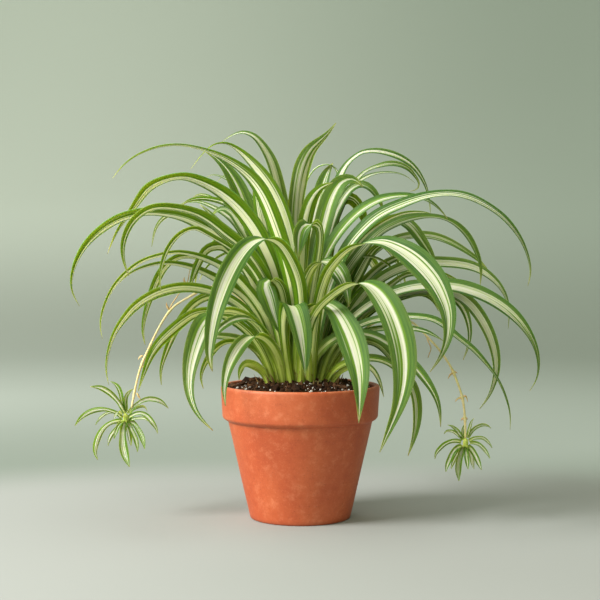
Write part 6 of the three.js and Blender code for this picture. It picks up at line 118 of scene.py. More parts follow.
    ({}, [[-17.3,3.3,125.1,2.05,-.55,.02],[-19.6,-1.8,144,2.85,-.81,.27],[-22.7,-4.3,160.5,3.84,-1.37,.74],[-27.9,-6,180.1,4.66,-2.64,1.06],[-34.4,-8.6,199.3,4.99,-3.63,1.43],[-42.3,-10.6,218.5,5.13,-4.28,1.96],[-50.2,-11.9,233.4,4.73,-4.44,2.58],[-59.3,-13.5,245,4.2,-4.22,3.13],[-67.5,-15.1,253,3.36,-3.71,3.89],[-72,-15.9,255.2,1.82,-3.72,4.51],[-77.6,-16.8,255.5,.22,-3.54,4.59],[-83.2,-17.6,254.3,-1.24,-3.27,4.13],[-87.4,-18.3,251.7,-2.44,-3.04,3.24],[-91.2,-19,246.3,-3.27,-2.65,2.16],[-97.6,-19.6,232.3,-3.01,-1.71,1.26],[-103.7,-19.1,215.2,-.4,-.22,.11]]),
    ({}, [[5.4,10.9,125,-1.99,.76,.09],[6.8,11.2,148.8,-2.95,1.13,.18],[8.7,12,172,-4.01,1.54,.33],[11.3,13.2,194.4,-4.1,1.74,.45],[14.8,14.8,215.9,-4.21,2.55,.59],[19.4,16.8,236.8,-4.18,3.52,.66],[25.3,19.3,256.6,-4.04,4.25,.77],[32.7,22.2,277,-3.63,4.72,.74],[41.3,25.4,297.2,-3.2,4.85,.66],[49,28,312.2,-2.51,4.13,.79],[56.8,30.2,322.2,-1.74,3.09,.92],[64.7,32.1,328.8,-1.33,2.59,1.17],[74.6,34.4,332.8,-1.17,2.63,1.88],[86.3,37.1,335.4,-.76,2.51,2.81],[94.7,38.9,334.8,.16,2.28,2.97],[101.9,40.3,332.2,.99,2.02,2.54],[108.2,41.6,327.3,1.38,1.67,1.71],[112.7,42.6,321.5,1.32,1.33,.89],[115.1,43.2,316.9,1.14,1.06,.31],[114.6,43.5,314.6,.95,.93,-.13],[114.1,43.8,312.2,.7,.73,-.42],[111.4,44.3,310.4,.38,.44,-.5],[106.6,44.8,309.3,.09,.15,-.31]]),
    ({}, [[8.3,14.6,125,-1.77,.61,.06],[8.8,13.1,144,-2.28,.79,.16],[9.9,12.5,161.2,-2.88,1.01,.26],[11.8,13,178.4,-3.19,1.14,.32],[14.3,14.6,196.8,-3.23,1.35,.34],[17.4,16.9,215.6,-3.34,1.94,.34],[21.2,20,235.4,-3.42,2.58,.24],[25.1,23.6,254.8,-3.49,2.82,.18],[29.1,27.1,270.9,-3.46,2.85,.35],[33.6,30.3,284,-3.32,2.87,.62],[39.5,33.7,296.2,-3.06,2.82,.84],[46.3,37.2,307.2,-2.75,2.75,.99],[52.3,40.1,314.5,-2.37,2.72,1.16],[58.9,43,319.9,-1.94,2.62,1.23],[66.3,45.9,324.1,-1.49,2.4,1.24],[74.1,48.9,326.7,-1.06,2.12,1.21],[83.1,52,328,-.66,1.76,1.15],[92.1,55,327.9,-.34,1.4,.98],[99.1,57.2,326.5,-.11,1.1,.75],[105.2,59.2,323.8,.01,.8,.5],[112.8,61.9,318.2,.03,.35,.2]]),
    ({}, [[1.6,8.2,125,-2.19,.96,-.09],[1.5,9.3,140.9,-2.95,1.3,-.12],[1.4,10.6,156.3,-4.06,1.99,-.18],[1.5,12,171.6,-5.05,3.25,-.28],[1.6,13.5,186.5,-5.27,4.2,-.35],[2.1,15.1,200.8,-5.51,4.99,-.34],[2.9,16.9,215.4,-5.9,5.58,-.3],[4.1,18.7,229.8,-6.13,5.84,-.17],[5.6,20.5,243.8,-6.15,5.85,.03],[7.5,22.2,257.9,-6.26,5.46,.27],[9.8,24,271.4,-6.43,4.41,.66],[12.6,25.6,284.7,-6.42,3.16,1.08],[15.8,27.2,297.3,-6.31,2.29,1.48],[19.7,28.9,310,-6.28,1.95,1.74],[23.5,30.7,322,-5.43,1.75,1.68],[26.1,31.7,327.9,-3.75,1.46,1.77],[31.5,33.3,336,-.41,.19,.24]]),
    ({}, [[4.5,9.5,125,-1.71,.73,.05],[5.6,10,149.8,-2.41,1.03,.11],[7.3,10.8,173.9,-3.11,1.33,.19],[9.5,12.2,197.1,-3.11,1.34,.26],[12.6,14.1,219.8,-3.19,1.56,.37],[16.8,16.4,242.2,-3.24,2.17,.44],[22.1,19.3,265.1,-2.99,2.64,.33],[27,22.2,287.8,-2.66,2.79,.28],[32,24.1,306.9,-2.09,2.87,.33],[35.5,25.7,319.1,-1.51,2.83,-.23],[35.8,26.8,325.1,-.95,2.74,-.63],[35,27.6,329.3,-.4,2.63,-.85],[32.4,28.3,331.7,.06,2.58,-.62],[29.6,29.1,333.7,.45,2.45,-.32],[24.8,30.1,334.3,.45,2.29,.29],[19.8,31.2,333.7,.17,2.03,.72],[15.2,32.2,331.6,-.24,1.72,.87],[11,33.2,327.5,-.58,1.36,.73],[6.5,34.5,319.3,-.63,.9,.41],[1.6,36.4,304.4,-.24,.29,.1]]),
    ({}, [[6.3,2.7,125,-2.01,.66,.05],[7.2,2.3,146.9,-2.85,.94,.21],[9.2,2,169.1,-3.96,1.35,.44],[12.1,1.9,191,-4.26,1.8,.66],[16.1,2.1,213.8,-4.56,2.71,.82],[20.7,2.4,237.4,-4.5,3.78,.87],[25.6,2.9,259.6,-4.25,4.11,.93],[30.9,3.4,278.8,-4.01,3.95,1.19],[36.5,3.9,293.2,-3.78,3.43,1.66],[42.7,4.6,303.9,-3.45,2.72,2.24],[47.8,5.3,309.9,-2.73,2.34,2.87],[52,5.8,312.7,-1.78,2.25,3.39],[55.8,6.2,314.1,-.72,2.2,3.68],[59.5,6.6,314,.4,2.19,3.66],[63.3,6.9,312.5,1.42,2.11,3.3],[67.2,7.3,309.7,2.22,1.93,2.65],[71.8,7.8,304,2.45,1.56,1.73],[76.7,8.3,294.6,1.73,.93,.74],[79.7,8.7,283.5,.43,.22,.09]]),
    ({}, [[8.3,6.8,125,1.86,1.02,-.15],[9.9,8.2,148.5,3.23,1.28,-.38],[12.7,9.6,172.2,4.82,1.69,-.78],[16.4,11.4,196,5.15,2.52,-1.12],[21.2,13.4,221.1,5.53,3.67,-1.38],[25.9,15.7,246.1,5.76,3.72,-1.38],[30.3,17.7,270.4,5.68,3.17,-1.3],[34.1,19.1,287.4,5.18,3.02,-2.08],[37.7,20.4,295.8,4.38,2.99,-3.47],[40.9,21.3,299.9,3.07,2.73,-4.82],[43.7,22,301.1,1.23,2.28,-5.76],[46.6,22.6,301.7,-.74,1.66,-6.01],[49.7,23.2,300.6,-2.76,1.01,-5.47],[52.9,23.9,298,-4.26,.37,-4.28],[57.1,24.9,292,-4.89,-.08,-2.73],[61.1,25.7,282.1,-3.92,-.2,-1.1],[63,26.3,268.6,-.49,-.03,-.04]]),
    ({}, [[13.9,3.9,125,1.99,.7,-.14],[16.4,1.6,143.7,2.56,.91,-.32],[19.6,.2,161,3.21,1.16,-.62],[23.8,-.1,178.8,3.53,1.36,-.9],[28.8,.2,196.9,3.59,1.92,-1.16],[34.9,1,215.5,3.61,2.78,-1.41],[41.2,2.1,232.3,3.49,3.14,-1.71],[47.6,3.2,245.6,3.23,3.16,-2.12],[54.8,4.2,256.3,2.74,3.19,-2.47],[63.2,5.3,265.6,2.09,3.19,-2.61],[73.3,6.5,273.9,1.49,3.06,-2.57],[85,7.8,281.2,1.02,2.5,-2.42],[94.7,8.8,285.4,.57,1.84,-2.31],[104,9.7,287.4,.12,1.35,-2.08],[114.6,10.6,287.7,-.16,.87,-1.5],[121.9,11.2,286.7,-.31,.53,-.89],[128.7,11.8,283.6,-.18,.18,-.29]]),
    ({}, [[15.8,5.3,125,-1.97,.77,.14],[18.1,6.2,143.4,-2.74,1.09,.42],[22.1,7.5,161.3,-3.85,1.77,.87],[28,9.4,180.4,-4.45,2.92,1.23],[35.1,11,199.2,-4.58,3.9,1.58],[44.3,12.7,221,-4.79,5,1.61],[52.8,14.2,240.8,-4.78,5.47,1.82],[60.6,15.4,255.4,-4.51,5.5,2.31],[68.6,16.5,266.5,-4.1,5.29,2.91],[76.4,17.6,274.4,-3.54,4.8,3.68],[83.2,18.3,278.7,-2.59,4.34,4.47],[88.8,18.9,280.7,-1.33,4.01,5.02],[93.4,19.4,281.2,.13,3.73,5.23],[97.9,19.8,279.8,1.64,3.48,5.07],[102.8,20.3,277,3.09,3.12,4.65],[108.6,20.9,271.3,4.38,2.62,4.03],[117.8,21.8,258.7,4.44,1.78,3.06],[126.5,22.4,244.7,2.72,.99,1.43],[130.9,22.6,233.1,.44,.15,.14]]),
    ({}, [[18.6,1.5,125,1.99,.58,-.42],[22.3,3.1,142.3,2.51,.74,-.69],[27,4.1,158.5,3.1,.93,-1.06],[32.7,4.8,174.2,3.39,1.22,-1.48],[39.2,5.5,187.5,3.27,1.77,-1.94],[46.7,6.4,199.4,3.08,2.42,-2.45],[55.2,7.3,209.5,2.66,2.98,-2.87],[64.6,8.2,217.9,2.03,3.37,-3.08],[74.7,9.1,224.4,1.38,3.59,-3.16],[85.8,10.1,229.4,.79,3.6,-3.11],[97.1,11.1,232.3,.24,3.48,-2.93],[109.8,12.1,233.7,-.15,3.12,-2.69],[121.1,12.9,233.1,-.51,2.44,-2.44],[131.2,13.6,230.8,-.83,1.71,-2.15],[145.3,14.4,224.9,-.8,1.02,-1.69],[157.8,15,218.5,-.23,.22,-.37]]),
    ({}, [[23.3,-2.7,125,-1.8,.96,.54],[28.6,-4.2,142.1,-2.2,1.2,.97],[35.8,-6.1,157.6,-2.57,1.54,1.62],[44.6,-8.6,171.6,-2.45,2.23,2.25],[55.4,-11.8,184.7,-1.81,3.17,2.61],[66.7,-15.3,195.1,-1.01,3.91,2.88],[77.5,-18.8,202.1,-.15,4.37,3.05],[91.7,-23.3,207.6,.56,4.65,2.87],[107.8,-28.4,211.9,1.02,4.64,2.71],[121,-32.8,213,1.48,4.31,2.66],[130.8,-36.1,211.7,1.99,3.82,2.6],[138.9,-38.8,208.4,2.52,3.21,2.47],[144.6,-40.6,203.9,3.06,2.54,2.03],[149.2,-42.3,197.3,3.3,1.85,1.33],[152.7,-43.9,187.5,3,1.32,.57],[154.1,-45,176.9,2.38,.98,-.06],[153,-45.8,166.6,1.56,.67,-.4],[148,-46.7,152.3,.39,.18,-.17]]),
    ({}, [[22.1,-14.7,125,-1.22,.97,.06],[25.1,-13.7,139,-1.56,.99,.51],[30.4,-14.8,151,-1.73,1.04,1.14],[37.5,-17.9,161.5,-1.59,1.56,2.01],[46.9,-22.5,170.1,-.73,2.32,2.64],[58.3,-28.2,176.3,.25,2.75,2.84],[71.5,-35,179.8,1.01,2.8,2.66],[88,-43.4,181.2,1.14,2.39,2.49],[104.1,-51.2,180.7,.95,1.42,2.31],[115.8,-56.1,177.8,1.02,.9,1.68],[128.3,-60.6,170.7,.22,.13,.26]]),
    ({}, [[28.6,-16.2,125,-1.01,1.1,.47],[32.4,-17.8,133.4,-1.15,.92,1.02],[37.5,-20.7,139.2,-.92,.77,1.64],[44.4,-25.6,143.6,-.13,1.28,2.42],[52.4,-32.3,146.1,1.44,2.08,2.67],[59.8,-39.4,146.3,2.77,2.39,1.6],[64.4,-44.5,143.9,3.01,2.26,.46],[69,-50.4,138.2,2.59,1.98,-.17],[72.5,-55.7,130.1,1.63,1.26,-.04],[75.2,-59.1,119.8,.29,.22,-0]]),
    ({}, [[26,-6.7,125,-1.77,1.11,.21],[28.9,-7.9,139.5,-2.23,.96,.88],[34.8,-10.6,152,-2.33,1.52,1.97],[42.5,-14.4,160.6,-1.32,2.92,3.41],[51.9,-19,165.9,.75,3.94,3.68],[62.5,-24.3,167.3,2.25,4.13,2.82],[70.9,-28.6,164.8,3.03,3.72,2.01],[78.8,-32.9,158,3.24,2.87,1.32],[85.9,-37,147,2.31,1.42,.75],[90.4,-39.1,133.3,.41,.22,.06]]),
    ({}, [[19.5,-4.1,125,-1.58,.9,.33],[23.9,-4.6,142.2,-2.02,1.02,.72],[30.4,-5.9,158.1,-2.6,1.77,1.46],[38.5,-7.8,172.2,-2.31,3.31,2.16],[48.6,-10.2,184.4,-1.6,4.25,2.6],[59.8,-13.1,194,-.72,4.67,2.8],[71.3,-16.2,200.4,-.01,4.6,2.93],[90.7,-21.1,207.2,-.25,3.55,3.25],[105,-24.7,211.7,-.04,2.09,3.15],[112,-26.2,211.9,.8,1.47,2.66],[117.5,-27.3,209.7,1.37,.98,1.87],[122.8,-28.3,204.8,1.28,.54,.91],[127.3,-29.4,196.1,.42,.13,.15]]),
    ({}, [[13,4,125,1.85,.97,-.34],[17.1,4,145.4,2.93,1.33,-.69],[22,4.7,164.1,4.16,2.79,-1.39],[27.8,5.9,180.8,4.35,4.23,-2.19],[35,7.6,195.6,4.52,4.74,-3.21],[45.2,10,211.4,4.37,4.81,-3.74],[55.2,12.4,227.4,4.5,4.45,-3.16],[64.5,14.7,244.5,3.9,3.43,-2.78],[70.2,15.9,252.2,2.52,2.7,-3.08],[76.2,16.9,256.6,1.21,2.09,-3.04],[83.2,17.9,258.6,.18,1.45,-2.43],[90.2,18.8,258.7,-.36,.82,-1.49],[97.1,19.9,256.1,-.23,.2,-.38]]),
    ({}, [[21.6,8.2,125,-1.94,.64,.58],[27.3,9.9,143.8,-2.59,.84,.63],[32.6,12.3,163.2,-3.57,1.81,.75],[38,15.2,180.9,-3.73,3.4,.63],[43.9,18.4,195.5,-3.83,4.2,.78],[50.7,21.7,207.4,-3.79,4.49,1.17],[60.4,26.1,219.7,-3.63,4.48,1.47],[71,30.4,230.6,-3.29,3.98,2.01],[81.6,34.2,238.5,-2.74,3.08,2.69],[91.4,37.5,243.5,-1.71,2.09,2.96],[100,40,245.4,-.66,1.55,2.81],[107.4,41.9,245,.15,1.26,2.29],[114,43.5,242.7,.52,.93,1.43],[120.5,45.3,237.7,.23,.29,.33]]),
    ({}, [[23.5,10.8,125,-2.04,.52,.35],[27.5,12.2,143,-2.59,.68,.61],[32.4,14.5,159.2,-3.21,.96,.94],[38.5,17.8,174.8,-3.54,1.7,1.15],[45.5,21.8,188.4,-3.52,2.74,1.2],[53.9,26.3,200.6,-3.34,3.51,1.14],[63.6,31.4,211.2,-3.09,3.7,1.28],[76.6,37.6,222.3,-2.74,3.47,1.46],[89.6,43.4,232.3,-2.36,2.46,2.01],[98.2,46.8,236.8,-1.46,1.82,2.28],[105.6,49.4,238.2,-.57,1.49,2.2],[111.9,51.3,237.5,.11,1.25,1.73],[117.9,53,234.8,.4,.91,1.04],[124.3,55.2,228.8,.21,.34,.3]]),
    ({}, [[25.4,12.2,125,-1.8,.42,.25],[28.9,13,141.9,-2.23,.55,.58],[34.4,14.5,157.7,-2.69,.82,1.02],[41.8,16.9,173.1,-2.96,1.86,1.32],[51,20,186.8,-2.82,2.92,1.41],[62.3,23.8,200.1,-2.71,3.24,1.55],[73.2,27.3,209.9,-2.31,3.25,1.84],[86.5,31,218.1,-2.13,2.63,2.04],[97.5,34.2,225.8,-1.63,1.62,2.29],[105.2,36,228.7,-.72,1.3,2.54],[111.7,37.3,228.7,.2,1.2,2.4],[118.8,38.6,226.1,.69,.95,1.58],[125.9,40.1,220.3,.27,.26,.32]]),
    ({}, [[27.4,14.9,125,-1.77,.51,.34],[31.8,15.4,142,-2.18,.67,.69],[38.3,16.4,158.1,-2.61,1.01,1.17],[46.6,17.8,173,-2.78,2.13,1.58],[56.8,19.6,186.4,-2.54,3.14,1.73],[68.8,21.7,198.5,-2.28,3.36,1.93],[81.4,23.8,207.9,-1.81,3.24,2.09],[98,26.3,217.4,-1.44,2.52,1.94],[107.5,27.6,221.3,-.67,1.72,2],[114.8,28.4,221.8,.08,1.26,1.74],[122,29.2,219.5,.47,.87,1.15],[129.8,30.1,213.8,.25,.29,.31]]),
    ({}, [[10.5,7.3,126,-1.23,1.77,.07],[13.6,8.8,149.6,-1.99,2.85,.05],[16.6,10.6,172.6,-3.11,4.45,.04],[20,12.9,192.3,-3.6,5.14,.01],[24.3,15.9,209.4,-4.04,5.76,-.01],[29.7,19.7,224.4,-4.39,6.25,-.02],[36.3,24.4,237.3,-4.5,6.41,-.02],[44,29.9,248.3,-4.53,6.38,-.05],[51.5,35.3,256.1,-4.45,6.25,-.05],[58,39.9,260.3,-4.27,6.07,-.01],[63.8,44,261.9,-4.09,5.89,0],[69.8,48.1,261.7,-3.96,5.64,.01],[76.5,52.9,259.2,-3.76,5.23,.04],[84,58.4,253.9,-3.32,4.58,.06],[91.4,63.8,246,-2.69,3.81,.02],[97.7,68.1,236.5,-2,2.92,-.05],[102.5,71.2,225.8,-1.24,1.78,.02],[104.9,73.8,214,-.28,.38,.04]]),
    ({}, [[-10.6,7.6,126,-1.26,-1.73,.27],[-13.6,13.1,146.9,-1.9,-2.66,.39],[-16,17,166.7,-2.83,-4.09,.31],[-19,20.1,187.9,-3.39,-4.97,.15],[-22.9,23,206.8,-3.82,-5.64,.03],[-27.8,26.3,223.2,-4.16,-6.24,-.1],[-34,30,237.5,-4.27,-6.54,-.2],[-41.4,34.4,249.8,-4.24,-6.59,-.21],[-49,39,259.3,-4.17,-6.52,-.17],[-55.6,43,264.8,-3.97,-6.39,-.14],[-61.1,46.4,267.6,-3.74,-6.26,-.09],[-66.3,49.4,268.2,-3.59,-6.09,.01],[-71.9,52.7,267.1,-3.53,-5.81,.08],[-78.5,56.8,263.6,-3.37,-5.33,.1],[-85.8,61.3,257.3,-2.98,-4.65,.12],[-92.8,65.5,248.5,-2.43,-3.85,.18],[-98.7,68.5,238.3,-1.82,-2.91,.22],[-102.8,70.4,227.4,-1.15,-1.76,.07],[-104.6,71.7,216,-.27,-.39,-.02]]),
    ({}, [[10.9,18.4,126,-2.1,1.2,.12],[11.9,17.8,146.4,-3.2,1.87,.21],[14,19.9,162.8,-4.75,2.8,.18],[17.6,25.1,179.6,-6.14,3.64,.19],[23.3,33.3,197.7,-7.17,4.4,.35],[28.9,42,211.8,-7.65,4.39,-0],[33.3,49.9,220.1,-7.57,4.45,-0],[36.3,54.7,222.6,-7.29,4.61,.03],[39.3,59.4,222.5,-7.12,4.42,-.02],[43.5,66.6,219,-6.93,3.9,.07],[48.8,76.7,210.2,-6.23,3.39,.16],[53.7,85.9,198.1,-4.85,2.75,.05],[57.4,92.2,184.7,-3.17,1.83,-.01],[58.8,96.4,170.3,-.46,.25,.07]]),
    ({}, [[-10.9,18.2,126.1,-2.11,-1.2,.14],[-11.8,21.8,146,-3.22,-1.81,.16],[-14.1,27.5,163.4,-4.94,-2.74,.22],[-18.5,35.2,183,-6.34,-3.8,-.28],[-24.5,42.7,201.8,-7.28,-4.6,-.59],[-30,50.4,215.7,-7.54,-4.57,-.26],[-34,56.4,222.6,-7.27,-4.83,-.29],[-36.7,60.1,224.7,-6.94,-5.01,-.13],[-39.5,64.1,224.4,-6.84,-4.7,.1],[-43.6,70.4,221.2,-6.75,-4.06,.08],[-48.8,79.3,212.8,-6.04,-3.5,.03],[-53.5,87,201.5,-4.71,-2.82,.15],[-57.2,92.1,188.4,-3.08,-1.84,.14],[-58.7,95.3,174.4,-.46,-.25,-.05]]),
    ({}, [[5.6,22.3,126,-2.62,.6,-.16],[6.4,30,145.1,-3.92,.91,-.14],[7.8,37.9,160.7,-5.7,1.34,-.14],[9.8,47.6,175.6,-7.24,1.74,-.09],[12.4,58.9,189.5,-8.24,2.06,-0],[15.5,70.9,201.6,-9.16,2.36,.06],[18.4,82,210.1,-9.48,2.42,.03],[20.8,91.1,214.6,-9.48,2.47,.03],[22.7,98.3,216,-9.38,2.53,0],[24.7,105.5,215.3,-9.15,2.49,-.05],[26.9,113.6,212.1,-8.74,2.35,-.08],[29.4,122.8,205.5,-8.15,2.13,-.08],[31.9,132,196,-6.97,1.8,-.07],[33.8,138.9,185.5,-5.47,1.43,-.11],[35.3,143.5,174.1,-3.71,.96,-.09],[36.3,147.2,157.9,-.57,.14,.01]]),
    ({}, [[-5.2,22.4,126,-2.63,-.56,.14],[-6,30,145.2,-3.96,-.86,.12],[-7.4,38.1,160.6,-5.79,-1.26,.12],[-9.4,48.3,175.3,-7.38,-1.65,.07],[-12.1,60.2,188.8,-8.43,-1.96,-.01],[-15.1,72.9,200.2,-9.33,-2.22,-.05],[-17.9,84.5,207.8,-9.53,-2.25,-.02],[-20.2,94,211.4,-9.5,-2.32,-.02],[-22.2,102.1,212,-9.3,-2.32,.01],[-24.4,110.7,210.1,-8.91,-2.22,.05],[-26.8,120.5,205.1,-8.33,-2.02,.06],[-29.3,130.7,196.9,-7.18,-1.72,.05],[-31.4,138.9,187,-5.6,-1.35,.08],[-33,144.6,176,-3.75,-.9,.08],[-34.2,149.5,159.9,-.57,-.13,-.01]]),
    ({}, [[9.6,3.6,126,-.64,1.78,.04],[13,4.4,148.9,-1.06,2.95,.06],[16.3,4.8,172.4,-1.72,4.83,.2],[20.4,5.2,192.5,-1.98,5.73,.37],[26,5.8,209.6,-2.08,6.4,.56],[33.2,6.7,223.9,-1.95,6.54,.65],[42.1,8.1,235.5,-1.78,6.43,.56],[50.4,9.8,242.6,-1.53,6.13,.4],[57.7,11.3,245.9,-1.33,5.82,.18],[65,13,246.3,-1.29,5.3,-.05],[73.6,15.2,244,-1.23,4.43,-.15],[82.9,17.6,238.6,-.97,3.35,-.18],[90.9,19.4,230.6,-.62,2.03,-.14],[96.6,20.8,220.3,-.14,.39,-.01]]),
    ({}, [[-9.6,4.2,125.9,-.79,-1.61,.59],[-12.7,12.2,144.8,-1.12,-2.52,.76],[-14.9,17,162.1,-1.57,-3.95,.63],[-18.1,20.5,182.4,-1.98,-5.2,.37],[-22.6,22.7,201.2,-2.17,-6.04,-.06],[-28.8,24.2,217.6,-2.14,-6.49,-.42],[-36.7,25.7,231.5,-1.98,-6.52,-.52],[-45.7,27.5,242.1,-1.78,-6.3,-.45],[-53.5,29.2,247.9,-1.47,-6.02,-.33],[-60.4,30.7,250.1,-1.26,-5.72,-.11],[-67.6,32.3,250,-1.19,-5.19,.11],[-76.3,34.3,247,-1.09,-4.32,.23],[-85.3,36.1,240.7,-.83,-3.26,.29],[-92.8,37.2,232.3,-.55,-1.96,.22],[-97.9,37.7,222,-.13,-.39,.03]]),
]
RUNNERS = {
    "runner_left": {
        "line": [[-16.4,6.6,134.7],[-21.1,5.5,149.3],[-27.2,4.8,163.2],[-34.6,4.6,176.6],[-42.8,4.8,189.4],[-51.9,4.7,201.6],[-63.3,4.2,211.6],[-77.1,3.7,217.8],[-91.8,3.1,215.3],[-105.1,2.6,207.8],[-118.1,2.1,199.8],[-127.9,1.7,188.3],[-135.5,1.4,175.1],[-142.1,1.2,161.3],[-148.5,1,147.4],[-153.3,0.8,133],[-156.6,0.7,118],[-159.5,0.7,103]],
        "twig": [[-123.4,1.9,195.7],[-121,1.9,201.4],[-117.2,1.9,207],[-110.6,1.9,216.5],[-107.3,1.9,220.2],[-105.4,1.9,225.9],[-104,1.9,233.4],[-101.1,1.9,239.1],[-97.3,1.9,242.9]],
        "bracts": [[[-123.4,1.9,195.7],[-125.8,1.9,199.5],[-126.2,1.9,203.2]],[[-148.5,1.1,152.7],[-151.3,1.1,151.3],[-153.2,1.1,148.5]],[[-150.4,1,145.6],[-148.5,1,141.9],[-148.1,1,138.1]],[[-154.3,0.7,117.3],[-152.4,0.7,113.5],[-150.5,0.7,110.6]],[[-107.4,2.7,220.2],[-109.7,2.7,224],[-109.2,2.7,226.8]]],
    },
    "runner_right": {
        "line": [[31.9,4,135],[37.3,2.9,146.9],[43.7,1.7,158.4],[51.3,0.2,169.1],[60.7,-1.6,178],[71.9,-3.8,184.4],[84.3,-6.3,188],[97.2,-8.8,187.7],[108.5,-11,181.7],[117.5,-12.9,172.4],[126.5,-14.6,162.8],[134.5,-16.2,152.5],[141.2,-17.5,141.3],[146.2,-18.6,129.2],[150.3,-19.3,116.7],[152.5,-19.8,103.7],[153.4,-19.9,90.6],[153.8,-20,77.4]],
        "twig": [[118.2,-13.2,170.2],[120.1,-13.2,165.5],[122,-13.2,159.9],[121.1,-13.2,157.1],[119.2,-13.2,151.5]],
        "bracts": [[[142.6,-17.8,138.3],[139.4,-17.8,136],[137.5,-17.8,132.2]],[[142.6,-17.8,138.3],[144,-17.8,138.8],[146.3,-17.8,137.4]],[[150.9,-19.3,115.1],[146.7,-19.3,114.2],[143.9,-19.3,110.9]],[[150.9,-19.3,115.1],[153.2,-19.3,116.5],[155.6,-19.3,110.9]],[[153.2,-19.9,96.1],[150.9,-19.9,95.6],[149.5,-19.9,93.3]],[[153.2,-19.9,96.1],[154.2,-19.9,96.1],[155.6,-19.9,94.2]]],
    },
}
